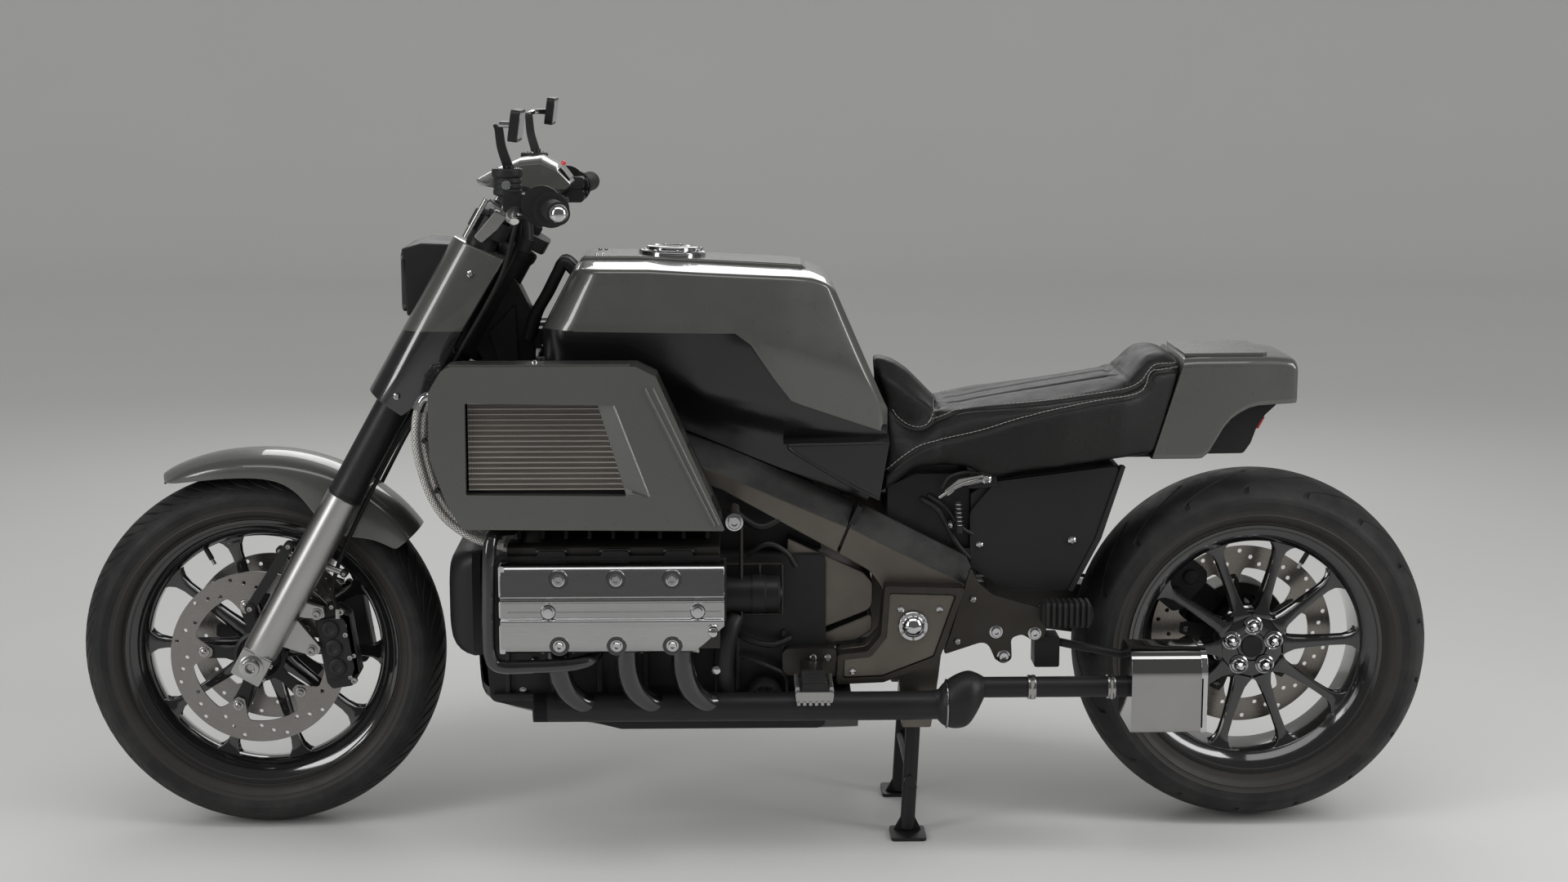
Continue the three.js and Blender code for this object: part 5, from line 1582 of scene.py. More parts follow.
valveCover = {
    "front": -409, "rear": -57, "seat": 298.3, "out": 345.3,
    "bolts": (-317, -227, -139), "boltHeights": (499, 393), "caps": (-334, -99), "capHeight": 447,
    "notches": (-331, -230, -129),
}


def engineCase():
    piece = Piece("engineCase", "chassis", "satin_black", ("engine_block",))
    piece.add(slab([(-440, 500), (-452, 330), (-446, 252), (-305, 221), (-230, 202), (110, 202),
        (110, 498)], 14, 3, -160, 160), "satin")
    piece.add(prism([(-366, 490), (-366, 790), (100, 560), (104, 490)], -112, 112), "satin")
    # cylinder bank: block, darker deck with three notches, rounded top
    deck = [(160, 376), (297.5, 376), (297.5, 527), (289, 530), (289, 540), (276, 545), (160, 545)]
    rib = [(165, 545), (262, 545), (252, 566), (165, 568)]
    for _, side in sides:
        piece.add(prism(deck, -402, -64, "x"), "case", side)
        for x in valveCover["notches"]:
            piece.add(box((x - 25, 286, 531), (x + 25, 294, 539)), "gloss", side)
        for k in range(9):  # cooling ribs under the pod
            x = -388 + k * 37.5
            piece.add(slab(rib, 4, 2, x, x + 7, "x"), "cast", side)
        for k in range(7):  # web ribs on the lower half of the crankcase, over a rail
            x = -420 + k * 76
            piece.add(prism(rect(158, 262, 168, 372), x, x + 8, "x"), "cast", side)
        piece.add(rod((-440, 170, 262), (100, 170, 262), 7, 12), "cast", side)
    piece.done(2.0, 2)


def frontCover():
    rings = []
    for x, half, low, high, soft in ((-440, 190, 330, 512, 20), (-470, 190, 331, 512, 26),
            (-494, 182, 338, 506, 34), (-508, 166, 352, 494, 42), (-514, 140, 372, 474, 46)):
        ring = rounded(rect(-half, low, half, high), soft, 8)
        rings.append([(x, y, z) for y, z in ring])
    Piece("frontCover", "chassis", "satin_black").add(loft(rings), "satin").done(subdivide=1)


def bellHousing():
    # between the spars, over a lower panel with a groove between them
    bell = Piece("bellHousing", "chassis", "frame_alloy")
    upper = rounded([(46, 524), (172, 466), (188, 448), (188, 404), (92, 366), (46, 344)],
        (4, 14, 14, 22, 26, 4), 6)
    lower = rounded([(46, 334), (94, 356), (188, 395), (188, 366), (160, 349), (124, 345), (124, 300),
        (46, 300)], (3, 24, 8, 14, 10, 3, 3, 6), 5)
    for _, side in sides:
        bell.add(prism(upper, 60, 150), "bronze", side)
        bell.add(prism(lower, 60, 146), "bronze", side)
    bell.done(9.0, 6)


fittings = {
    # radius and place along x
    "starter": [(0.1, -60), (27, -60), (30, -57), (30, -8), (32, -8), (32, 12), (30, 14),
                (30, 34), (26, 38), (12, 38), (10, 41), (0.1, 41)],
    "starterAt": (-4, 196, 441),
    # radius and place across
    "filter": [(0.1, 214), (12, 214), (13, 211), (20, 211), (21, 214), (26, 214), (28, 210),
               (29, 168), (0.1, 168)],
    "filterX": 8, "filterZ": 268,
    # start, end, radius, sides, finish
    "rods": (
        ((-58, 182, 487), (38, 182, 487), 2.6, 10, "bronzeDark"),
        ((-58, 182, 404), (38, 182, 404), 2.6, 10, "bronzeDark"),
        ((0, 184, 404), (0, 184, 487), 2.6, 10, "bronzeDark"),
        ((37, 184, 404), (37, 184, 487), 2.6, 10, "bronzeDark"),
        ((-30, 205, 392), (-30, 205, 556), 3.4, 12, "bronzeDark"),
        ((-41, 210, 586), (-41, 318, 586), 9, 20, "steel"),
        ((-75, 298, 414), (-75, 345, 414), 7, 16, "polished"),
        ((-71, 204, 322), (-71, 228, 322), 6, 16, "steel"),
    ),
    # route, radius, sides, finish
    "tubes": (
        ([(-40, 200, 404), (-52, 214, 380), (-60, 216, 330), (-58, 206, 280)], 17, 20, "satin"),
        ([(-50, 150, 575), (0, 160, 545), (40, 152, 560), (70, 140, 575)], 6, 12, "hose"),
        ([(-20, 168, 500), (14, 178, 520), (44, 174, 505), (60, 170, 480)], 4.4, 12, "hose"),
        ([(-55, 170, 380), (-20, 186, 362), (20, 184, 352), (52, 172, 360)], 5.2, 12, "hose"),
        ([(-30, 176, 330), (10, 188, 318), (40, 184, 300), (44, 176, 270)], 4.0, 12, "hose"),
    ),
    # x, y, z, head radius
    "bolts": ((-71, 228, 322, 8.5), (-75, 345, 414, 8.0)),
    "washers": ((-41, 318, 586, 11),),
    "nuts": ((-392, 160.5, 270, 5.0), (-300, 160.5, 246, 5.0), (-160, 160.5, 238, 5.0),
             (-20, 160.5, 238, 5.0), (80, 160.5, 238, 5.0)),
}


def engineFittings():
    # starter, its bracket, filter, looms and small plumbing on each side
    f = fittings
    small = Piece("engineFittings", "chassis", "satin_black")
    x, z = f["filterX"], f["filterZ"]
    for _, side in sides:
        small.add(revolve(f["starter"], f["starterAt"], "x", 40, False), "satin", side)
        for start, end, radius, around, finish in f["rods"]:
            small.add(rod(start, end, radius, around), finish, side)
        for route, radius, around, finish in f["tubes"]:
            small.add(tube(route, radius, around), finish, side)
        small.add(revolve(f["filter"], (x, 0, z), "y", 44, False), "plastic", side)
        for a in (math.pi * k / 4 for k in range(8)):
            near, far = ((x + r * math.cos(a), 213, z + r * math.sin(a)) for r in (9, 25))
            small.add(rod(near, far, 1.8, 8), "satin", side)
        for inward, thick in ((24, 10), (6, 9)):  # from the steering head to the frame
            small.add(tube([(-300, inward, 948), (-322, inward, 968), (-334, inward, 950), (-352, inward
                + 2, 915), (-372, inward + 4, 880), (-384, inward + 6, 840)], thick, 14, 6), "hose", side)
    small.done(0.8, 2)
    for name, key, kind, finish in (("engineBolts", "bolts", "rivet", "chrome"),
            ("podMounts", "washers", "washered", "chrome"), ("caseBolts", "nuts", "hexagon", "steel")):
        fasteners(name, "chassis", kind, [(x, side * y, z, (0, side, 0), size) for _, side in sides for x,
            y, z, size in f[key]], finish, finish)


def valveCovers():
    v = valveCover
    out, seat = v["out"], v["seat"]
    profile = [(seat, 377), (out - 18, 378), (out - 9, 384), (out - 4, 396), (out - 3.4, 423),
        (out - 1, 427), (out, 429), (out, 433), (out - 1.5, 435), (out - 6.5, 437), (out - 6.5, 461),
        (out - 4.5, 462.5), (out - 4.5, 465), (out - 6.5, 466.5), (out - 1.5, 470), (out, 472),
        (out - 0.4, 476), (out - 3, 481), (out - 5.5, 505), (out - 10, 516), (out - 19, 522), (seat, 522)]
    boltWell = [(0.1, out - 14), (16, out - 14), (16, out - 4.6), (14.8, out - 3.4), (0.1, out - 3.6)]
    capWell = [(0.1, out - 12), (12, out - 12), (12, out - 6), (11, out - 5.4), (0.1, out - 5.6)]
    rows, caps = [], []
    for word, side in sides:
        piece = Piece(word + "ValveCover", "chassis", "polished_alloy", (f"valve_cover_{word}",))
        shape = prism(profile, v["front"], v["rear"], "x")
        shape = trimmed(shape, (-109, 0, 377), (0.6706, 0, -0.7418))
        shape = trimmed(shape, (0, out - 16, 377), (0, 0.36, -0.93))
        piece.add(shape, "polished", side)
        # thin line along the middle band, end rims
        piece.add(box((-398, out - 8, 446), (-62, out - 5.4, 448.4)), "polished", side)
        for low, high in ((379, 426), (437, 464), (470, 520)):
            lip = rounded(rect(-411.5, low, -402, high), 3, 3)
            piece.add(prism(lip, seat + 1, out - 8), "chrome", side)
        piece.done(2.4, 3)
        gasket = Piece(word + "Gasket", "chassis", "satin_black")
        gasket.add(prism([(-412, 374), (-108, 374), (-54, 423), (-54, 525), (-412, 525)], seat - 3,
            seat + 2.2), "satin", side)
        for x in v["notches"]:
            gasket.add(slab([(-26 + x, 520), (26 + x, 520), (20 + x, 536), (-20 + x, 536)], 5, 3, 288,
                299), "satin", side)
        gasket.done(1.0, 2)
        wells = Piece(word + "CoverWells", "chassis", "gloss_black")
        for x in v["bolts"]:
            for z in v["boltHeights"]:
                wells.add(revolve(boltWell, (x, 0, z), "y", 32, False), "gloss", side)
            rows.append((x, side * (out - 3.6), 499, (0, side, 0.06), 8.0))
            rows.append((x, side * (out - 3.4), 393, (0, side, -0.06), 7.6))
        for x in v["caps"]:
            wells.add(revolve(capWell, (x, 0, v["capHeight"]), "y", 28, False), "gloss", side)
            caps.append((x, side * (out - 6.5), v["capHeight"], (0, side, 0), 8.6))
        wells.done()
    fasteners("valveCoverBolts", "chassis", "washered", rows, "chrome", "chrome")
    fasteners("valveCoverCaps", "chassis", "hexagon", caps, "chrome", "chrome")


podShape = [(-491, 834), (-194, 834), (-162, 818), (-55, 573), (-468, 577), (-491, 620), (-516, 691),
    (-516, 794)]
podRadii = [26, 10, 8, 4, 12, 24, 40, 34]
grilleShape = [(-459, 777), (-228, 773), (-174, 629), (-460, 632)]
grilleSeat = [(-456, 774.5), (-254, 772), (-211, 634), (-457, 635)]


def pods():
    low, high = 210, 325
    rows = []
    for word, side in sides:
        piece = Piece(word + "RadiatorPod", "chassis", "paint")
        obj = piece.add(slab(podShape, podRadii, 6, low + 45, high, "y", [rounded(grilleShape, 2.5, 3)]),
            "paint").object()
        # wide chamfer on the rear edge of the outer face, then all edges softened
        roundEdges(lambda m, d: m.y > high - 1 and m.x > -172 and abs(d.y) < 0.1 and abs(d.z) > 0.5
            and abs(m.z - 690) < 130, 12, 1)(obj)
        roundEdges(lambda m, d: m.y > high - 1 and abs(d.y) < 0.1 and (m.x < -464 or m.z < 585
            and m.x < -60 or m.z > 780 and abs(d.x) > 0.9 and -465 < m.x < -180), 12, 6)(obj)
        soften(obj, 1.3, 3, 32)
        bake(obj)
        if side < 0:
            obj.data.transform(Matrix.Scale(-1, 4, (0, 1, 0)))
            obj.data.flip_normals()
        smoothOver(obj.data, 38)
        evenNormals(obj)
        settle(obj, "chassis", "paint", f"radiator_shroud_{word}")
        inner = Piece(word + "PodShell", "chassis", "paint")
        inner.add(slab([(x * 0.985 - 4, (z - 700) * 0.96 + 700) for x, z in podShape], podRadii, 4, low,
            low + 46), "satin", side)
        for x, z in ((-310, 726), (-140, 628)):
            inner.add(box((x - 20, 160.5, z - 20), (x + 20, low + 4, z + 20)), "satin", side)
        # sloped rear wall and thin walls of the recess
        wedge = [(*grilleShape[1], high - 0.6), (*grilleShape[2], high - 0.6), (*grilleShape[2],
            high - 34), (*grilleShape[1], high - 34), (grilleSeat[1][0], grilleSeat[1][1] + 1, high - 14),
            (grilleSeat[2][0], grilleSeat[2][1] - 5, high - 14), (grilleSeat[2][0], grilleSeat[2][1] - 5,
            high - 34), (grilleSeat[1][0], grilleSeat[1][1] + 1, high - 34)]
        points = [(x, y, z) for x, z, y in wedge]
        inner.add((points, [[0, 1, 5, 4], [0, 3, 2, 1], [2, 3, 7, 6], [4, 5, 6, 7], [1, 2, 6, 5],
            [0, 4, 7, 3]]), "paint", side)
        lip = rounded([(-484, 833.5), (-204, 833.5), (-200, 836.8), (-484, 836.8)], 1.2, 2)
        inner.add(prism(lip, 300, 319), "paint", side)
        inner.add(rod((-346, 240, 826), (-346, 240, 838), 7, 18), "satin", side)
        # a bright edge round the grille's rear end, then two fine ridges down the rear edge
        rim = [(*grilleShape[1], high), (*grilleShape[2], high),
            (grilleShape[2][0] - 36, grilleShape[2][1] + 1, high - 2)]
        inner.add(tube([(a, y, b) for a, b, y in rim], 1.5, 10, smooth=False), "machined", side)
        for a, b, y in (((-180, 800), (-72, 580), high), ((-168, 800), (-66, 582), high - 1)):
            inner.add(tube([(a[0], y, a[1]), (b[0], y, b[1])], 2.7, 12, smooth=False), "paint", side)
        inner.done(1.2, 2)
        rows.append((-352, side * 296, 836.8, (0, 0, 1), 6.0))
    fasteners("podScrews", "chassis", "button", rows, "steel", "steel")


cooler = {"tubes": 16, "pitch": 8.55, "low": 638.0, "finStep": 2.6}


def coreEdge(z, rear):
    # the grille leans in at the rear and a little at the front
    t = (z - 634.5) / (773 - 634.5)
    return -211 + t * (-254 + 211) if rear else -457 + t


def radiatorCores():
    c = cooler
    back = [(-458, 777), (-250, 776), (-206, 630), (-458, 631)]
    leaf = [(-457.5, 299.5), (-456.4, 299.5), (-455.2, 309.4), (-456.3, 309.4)]
    for word, side in sides:
        piece = Piece(word + "RadiatorCore", "chassis", "frame_alloy", (f"radiator_core_{word}",))
        piece.add(prism(back, 276, 300), "plastic", side)
        for k in range(c["tubes"] + 1):
            z = c["low"] + k * c["pitch"]
            flat = rounded(rect(297, z - 1.1, 311, z + 1.1), 0.9, 3)
            piece.add(prism(flat, coreEdge(z, False), coreEdge(z, True), "x"), "core", side)
        piece.done()
        # a folded fin strip between each pair of tubes, grown as one row and repeated
        fold = loose("fold", onSide(prism(leaf, c["low"] + 1.0, c["low"] + c["pitch"] - 1.0, "z"), side))
        strips = []
        for k in range(c["tubes"]):
            z = c["low"] + (k + 0.5) * c["pitch"]
            span = coreEdge(z, True) - coreEdge(z, False) + 6
            strip = grown(f"{word}Fins{k}", "row", bpy.data.meshes.new("start"),
                {"Part": fold, "Count": int(span / c["finStep"]), "Step": (c["finStep"] * milli, 0, 0),
                "Finish": "fins"})
            strip.data.transform(Matrix.Translation((0, 0, k * c["pitch"] * milli)))
            strips.append(strip)
        bpy.data.objects.remove(fold)
        joinInto(word + "RadiatorFins", strips, "chassis", "frame_alloy")


def joinInto(name, objects, body, slot, *gone):
    work = bmesh.new()
    for obj in objects:
        work.from_mesh(obj.data)
    mesh = bpy.data.meshes.new(name)
    work.to_mesh(mesh)
    work.free()
    for material in objects[0].data.materials:
        mesh.materials.append(material)
    for obj in objects:
        bpy.data.objects.remove(obj)
    return settle(placed(name, mesh), body, slot, *gone)


def weaveMap(mesh, turns, around, steps, pitch):
    # the braid's map: once round the hose, and along it by length, for each of its turns
    layer = mesh.uv_layers.new(name="weave")
    spots = {(r * steps + i) * around + j: (j / around, i) for r in range(turns) for i in range(steps)
        for j in range(around)}
    for face in mesh.polygons:
        us = [spots.get(mesh.loops[i].vertex_index, (0, 0)) for i in face.loop_indices]
        wrap = max(u for u, _ in us) - min(u for u, _ in us) > 0.5
        for i, (u, v) in zip(face.loop_indices, us):
            if wrap and u < 0.5:
                u += 1
            layer.data[i].uv = (u * 8, v * pitch)


def hoses():
    around, stepsEach = 16, 7
    # places of the middle hose, and how much of the sideways spread each takes
    route = ((-513, 775, 1), (-526, 773, 1), (-539, 748, 1), (-542, 700, 1), (-533, 652, 1),
        (-518, 610, 1), (-495, 576, 1), (-462, 549, 0.3))
    spread = ((-5, 7), (6, 0), (17, -7))
    y = 238
    steps = (len(route) + 1) * stepsEach + 1
    for word, side in sides:
        piece = Piece(word + "CoolantHoses", "chassis", "braid")
        for dx, dy in spread:
            path = [(x + dx * share, y + dy, z) for x, z, share in route]
            path += [(-430, 236 + dy, 536), (-400, 232 + dy, 530)]
            piece.add(tube(path, 6.5, around, stepsEach), "braid", side)
        obj = piece.object()
        weaveMap(obj.data, len(spread), around, steps, 330 / (steps - 1) / 5.0)
        smoothOver(obj.data, 50)
        settle(obj, "chassis", "braid", f"coolant_hoses_{word}")
        ends = Piece(word + "HoseEnds", "chassis", "aluminium")
        for dx, dy in spread:
            ends.add(tube([(-500, y + dy, 778), (-514 + dx, y + dy, 777), (-527 + dx, y + dy, 773),
                (-534 + dx, y + dy, 762)], (8.4, 8.4, 8.2, 8.0), 16, 6), "chrome", side)
            ends.add(rod((-531.5 + dx, y + dy, 767), (-537.5 + dx, y + dy, 754), 9, 6), "steel", side)
            ends.add(rod((-412, 234 + dy, 532.5), (-398, 232 + dy, 529.5), 8.6, 6), "steel", side)
        for x, z in ((-533, 706), (-515, 625)):
            ends.add(rod((x, 222, z), (x, 254, z), 4, 12), "plastic", side)
        ends.done(0.5, 2)


def belly():
    piece = Piece("bellyPan", "chassis", "satin_black", ("belly_pan",))
    rows = [(-470, 330, 112), (-467, 262, 138), (-452, 240, 150), (-309, 210, 153), (-232, 194, 153),
        (-60, 193, 152), (120, 193, 150), (165, 193.5, 146)]
    rings = []
    for x, z, half in rows:
        lift = 3 if x < -460 else 0
        wall = along(x, (-470, 24), (-309, 38), (-60, 44), (165, 40))
        ring = [(x + lift, y, z + rise) for y, rise in ((-half, wall), (-half + 1, 16), (-half + 10, 4),
            (-half + 30, 0), (0, 0), (half - 30, 0), (half - 10, 4), (half - 1, 16), (half, wall))]
        rings.append(ring)
    piece.add(loft(rings, closed=False, caps=False), "gloss")
    piece.done(turn=thickened(3.0, 0.0))
    guards = Piece("engineGuards", "chassis", "satin_black")
    clamps = []
    for _, side in sides:
        guards.add(tube([(-398, 236, 560), (-416, 286, 566), (-425, 312, 552), (-428, 318, 500),
            (-430, 318, 420), (-428, 316, 372), (-414, 312, 353), (-370, 308, 351), (-310, 306, 353),
            (-274, 290, 356), (-262, 262, 362)], 11, 20, 8), "gloss", side)
        for x, z in ((-372, 321), (-300, 318)):
            clamps.append((x, side * 166, z, (0, side, 0), 6.5))
    guards.done()
    fasteners("guardBolts", "chassis", "button", clamps, "steel", "steel")


def engine():
    engineCase()
    frontCover()
    bellHousing()
    engineFittings()
    valveCovers()
    pods()
    radiatorCores()
    hoses()
    belly()
    say("engine")


# tank, its lower cover, seat and tail

def along(x, *pairs):
    # straight lines through (x, value) pairs
    return float(np.interp(x, [p[0] for p in pairs], [p[1] for p in pairs]))


tank = {
    "wideZ": ((-390, 880), (-100, 874), (40, 850), (140, 812), (230, 772)),
    "wide": ((-352, 182), (-240, 187), (-100, 190), (40, 181), (140, 156), (212, 139)),
    "top": ((0, 966), (0.01, 972), (0.025, 975.4), (0.05, 976.5), (0.3, 976), (0.86, 963),
            (0.93, 959.5), (0.965, 954), (0.985, 948), (1, 940)),
    "frontRound": 62.0, "rearEdge": 11.0,
    "seam": ((-420, 872), (-32, 867.5), (-22, 861), (-14, 850), (47, 757), (62, 750),
             (250, 680)),
    "lean": 0.24, "shoulder": 9.0,
}


def tankHalf(x, z):
    wide, wideZ = along(x, *tank["wide"]), along(x, *tank["wideZ"])
    if z > wideZ:
        return wide - (z - wideZ) * tank["lean"]
    return wide - 30 * ((wideZ - z) / 225) ** 1.2


def sparTop(x):
    return 811 + (575 - 811) / (173 + 375) * (x + 375)


def tankPlace(share, z):
    # the front and rear faces lean, and the rows between them lean in proportion
    front = -352 + 0.53 * max(0, z - 872)
    rear = 212 - 0.437 * max(0, z - 733)
    return front + (rear - front) * share


def fuelTank():
    t = tank
    spots = [0, 0.006, 0.014, 0.026, 0.042, 0.062, 0.085, 0.11, 0.16, 0.22, 0.3, 0.38, 0.46, 0.52, 0.56,
        0.575, 0.59, 0.605, 0.62, 0.66, 0.7, 0.73, 0.76, 0.8, 0.85, 0.9, 0.93, 0.955, 0.972, 0.98, 0.988,
        0.994, 1]
    rings = []
    for share in spots:
        top = along(share, *t["top"])
        near = share * 500
        far = (1 - share) * 500
        cut = 0.0
        if near < t["frontRound"]:
            cut = t["frontRound"] - math.sqrt(t["frontRound"] ** 2 - (t["frontRound"] - near) ** 2)
        if far < t["rearEdge"]:
            cut += (t["rearEdge"] - far) * 0.8
        r = t["shoulder"]
        low = along(tankPlace(share, 830), *t["seam"])
        for _ in range(4):
            low = along(tankPlace(share, low), *t["seam"])
        high = top - 7 - r
        half = []
        for s in np.linspace(0, 1, 12):
            z = low + (high - low) * s
            x = tankPlace(share, z)
            half.append((x, tankHalf(x, z) - cut, z))
        edge = half[-1][1]
        for a in np.linspace(0.2, 1, 5) * math.pi / 2:
            z = high + r * math.sin(a)
            half.append((tankPlace(share, z), edge - r * (1 - math.cos(a)) * 1.15, z))
        y, z = half[-1][1:]
        for s in (0.3, 0.65, 1.0):
            rise = z + (top - z) * s ** 0.9
            half.append((tankPlace(share, rise), y + (84 - y) * s, rise))
        half.append((tankPlace(share, top + 0.5), 42, top + 0.5))
        left = [(a, -b, c) for a, b, c in half]
        right = [(a, b, c) for a, b, c in reversed(half)]
        rings.append(left + [(tankPlace(share, top), 0, top + 0.6)] + right)
    piece = Piece("fuelTank", "chassis", "paint", ("fuel_tank",))
    piece.add(loft(rings), "paint")
    piece.done(1.8, 3, 34)
    strip = Piece("tankTopStrip", "chassis", "paint")
    rows = []
    for x, lift in ((-296, -6), (-291, 3), (-285, 6.5), (-198, 6.5), (40, 6), (72, 5), (82, -4)):
        z = along(x, (-352, 976.5), (-198, 976), (88, 962))
        half = 70 if x < 60 else 66
        rows.append([(x, -half - 3, z - 8), (x, -half, z + lift - 2), (x, -half + 3, z + lift), (x, 0,
            z + lift + 0.6), (x, half - 3, z + lift), (x, half, z + lift - 2), (x, half + 3, z - 8)])
    strip.add(loft(rows), "paint")
    strip.done(1.0, 2, 25)
    cap = Piece("fuelCap", "chassis", "chrome")
    tilt = moved(revolve([(0.1, -2), (56, -2), (56, 4), (54, 6), (49, 6.6), (46, 5.6), (44, 7),
        (43.2, 11.6), (41, 13), (30, 13.4), (28, 12), (12, 12.6), (0.1, 13)], (0, 0, 0), "z", 72, False),
        Matrix.Translation((-143, 0, 981)) @ Matrix.Rotation(math.radians(2.2), 4, "Y"))
    cap.add(tilt, "polished")
    cap.add(slab(rect(-156, -9, -128, 9), 4, 3, 992, 997, "z"), "chrome")
    cap.done(0.6, 2)
    fasteners("fuelCapScrews", "chassis", "cap", [(-143 + 49.5 * math.cos(a), 49.5 * math.sin(a), 986.6, (
        0, 0, 1), 3.4) for a in np.linspace(0, 2 * math.pi, 8, endpoint=False) + 0.2], "chrome", "chrome")
    fasteners("tankTopScrews", "chassis", "cap",
        [(x, y, 982, (0, 0, 1), 3.2) for x in (-266, -256) for y in (-48, 48)], "chrome", "chrome")


def coverHalf(x, z):
    # flush with the tank above the crease, hollow below it
    crease = along(x, (-352, 868), (-215, 862), (-155, 815), (-100, 778), (43, 744), (212, 694))
    deep = along(x, (-352, 14), (-215, 20), (-100, 34), (43, 30), (212, 9))
    t = min(1, max(0, (crease - z) / 66))
    return tankHalf(x, z) - 0.9 - deep * t * t * (3 - 2 * t) - 3 * max(0, t - 0.9)


def lowerCover():
    xs = [-351, -346, -338, -326, -310, *range(-290, 211, 12), 211]
    rings = []
    for x in xs:
        top = min(868, along(x, *tank["seam"]) + 14) if x > -40 else 867.2 + 0.02 * (-34 - x)
        foot = sparTop(x) + 2 if x < 190 else 592
        bend = max(0.0, 1 - (x + 352) / 40) if x < -312 else 0.0
        cut = 40 * bend * bend
        rows = []
        for s in np.linspace(0, 1, 18):
            z = top + (foot - top) * s
            rows.append((coverHalf(x, z) - cut - (2.5 if x > -40 and s == 0 else 0), z))
        rings.append([(x, -a, b) for a, b in rows] + [(x, a, b) for a, b in reversed(rows)])
    piece = Piece("tankLowerCover", "chassis", "gloss_black", ("tank_lower_cover",))
    piece.add(loft(rings), "cover")
    piece.done()
    wing = Piece("tankWings", "chassis", "gloss_black")
    for _, side in sides:
        # ridge, sloped upper facet, and a hollow below with a rolled lip
        points = [(40, 128, 690), (214, 118, 700), (40, 150, 681), (214, 150, 683), (198, 146, 585),
            (40, 80, 690), (214, 80, 700), (198, 80, 585)]
        faces = [[0, 2, 3, 1], [2, 4, 3], [5, 6, 7], [0, 1, 6, 5], [2, 0, 5], [2, 5, 7, 4], [3, 4, 7, 6],
            [1, 3, 6]]
        wing.add((points, faces), "cover", side)
        lip = [(207, 149, 682), (120, 151, 680.5), (56, 151, 679.5), (49, 151, 677), (58, 151, 667),
            (118, 150.5, 630), (160, 149.5, 606), (196, 147, 588)]
        wing.add(tube(lip, (2.2, 2.4, 2.6, 2.8, 2.6, 2.4, 2.2), 12, 5), "cover", side)
    wing.done(2.0, 3)


seat = {
    "voxel": 6.0, "frames": 20, "pressure": 4.0, "limit": 11.0, "start": 7.0,
    "stitchGap": 3.4, "stitchPitch": 7.2,
    "top": ((186, 806), (198, 809), (224, 803), (253, 784), (279, 757), (296, 739), (308, 733),
            (343, 736), (379, 743), (500, 761), (596, 777), (618, 790), (636, 811), (652, 821),
            (679, 822), (712, 800)),
    "half": ((186, 94), (220, 110), (284, 137), (322, 150), (380, 163), (500, 168), (600, 155),
             (645, 133), (682, 119), (712, 112)),
    "upperSeam": ((285, 708), (310, 719), (349, 732), (454, 742), (532, 752), (604, 763),
                  (632, 774), (645, 788), (659, 800), (690, 801)),
    "bolsterSeam": ((222, 723), (229, 713), (246, 701), (265, 697), (282, 704), (293, 722),
                    (297, 736)),
    "lowerSeam": ((206, 626), (218, 637), (243, 657), (270, 673), (309, 684), (364, 699),
                  (419, 717), (486, 734), (557, 747), (624, 757), (643, 774), (653, 790),
                  (681, 794), (694, 795)),
    "nose": ((560, 198), (585, 201), (592, 202), (640, 209), (689, 216), (736, 216), (770, 204),
             (806, 191), (830, 187)),
    "low": ((186, 586), (202, 588), (227, 606), (254, 629), (288, 634), (343, 634), (372, 620),
            (391, 617), (433, 627), (594, 646), (712, 652)),
}


def seatBody():
    s = seat
    rings = []
    for x in np.linspace(184, 706, 64):
        top, half = along(x, *s["top"]), along(x, *s["half"]) - s["start"]
        low = along(x, *s["low"]) + 3
        upper = min(along(x, (186, 740), (222, 723), (246, 704), (265, 699), *s["upperSeam"]), top - 6)
        lower = min(along(x, *s["lowerSeam"]), upper - 5)
        bolster = min(1, max(0, (306 - x) / 40))
        shoulder = half - along(x, (186, 20), (300, 26), (500, 30), (640, 20), (712, 14))
        skirt = max(half, along(x, (186, 149), (300, 151)) - s["start"]) if x < 300 else half
        rows = [(skirt - 34, low), (skirt - 10, low + 5), (skirt - 3, low + (lower - low) * 0.45),
            (skirt - 2, lower - 6), (skirt - 6, lower), ((half + skirt) / 2 - 9, (lower + upper) / 2),
            (shoulder, upper), (shoulder - 14, upper + (top - upper) * 0.62)]
        if bolster:
            rows.append((shoulder * (0.62 - 0.1 * bolster), top - 12))
        else:
            rows.append((shoulder * 0.66, top - 2))
        rows.append((shoulder * 0.34, top - (1 if bolster else 0)))
        top -= 5
        rings.append([(x, -a, b) for a, b in rows] + [(x, 0, top + 4)] + [(x, a, b) for a,
            b in reversed(rows)])
    shape = loft(rings)
    # front and rear faces follow the tank and the tail
    points, faces = trimmed(shape, (703, 0, 812), (0.959, 0, -0.283))
    shape = [(max(x, np.interp(z, *zip(*s["nose"])) + 1.5), y, z) for x, y, z in points], faces
    obj = Piece("seatCushion", "chassis", "leather").add(shape, "leather").object()
    modify(obj, "REMESH", mode="VOXEL", voxel_size=s["voxel"] * milli, use_smooth_shade=True)
    modify(obj, "SMOOTH", factor=0.5, iterations=3)
    return bake(obj)


def onSurface(tree, pairs, side, steps=6, lift=0.0):
    # the seam's places on the cushion, found from its side
    path = curve([(x, 0, z) for x, z in pairs], steps)
    out = []
    for x, _, z in path:
        start = Vector((x * milli, side * 0.4, z * milli))
        hit, normal, _, _ = tree.ray_cast(start, Vector((0, -side, 0)))
        if hit:
            out.append((hit / milli + normal * lift, normal))
    return out


def fromAbove(tree, places):
    # the places on the cushion straight under these
    hits = (tree.ray_cast(Vector((x * milli, y * milli, 1.2)), Vector((0, 0, -1)))[0] for x, y in places)
    return [np.array(hit) / milli for hit in hits if hit]


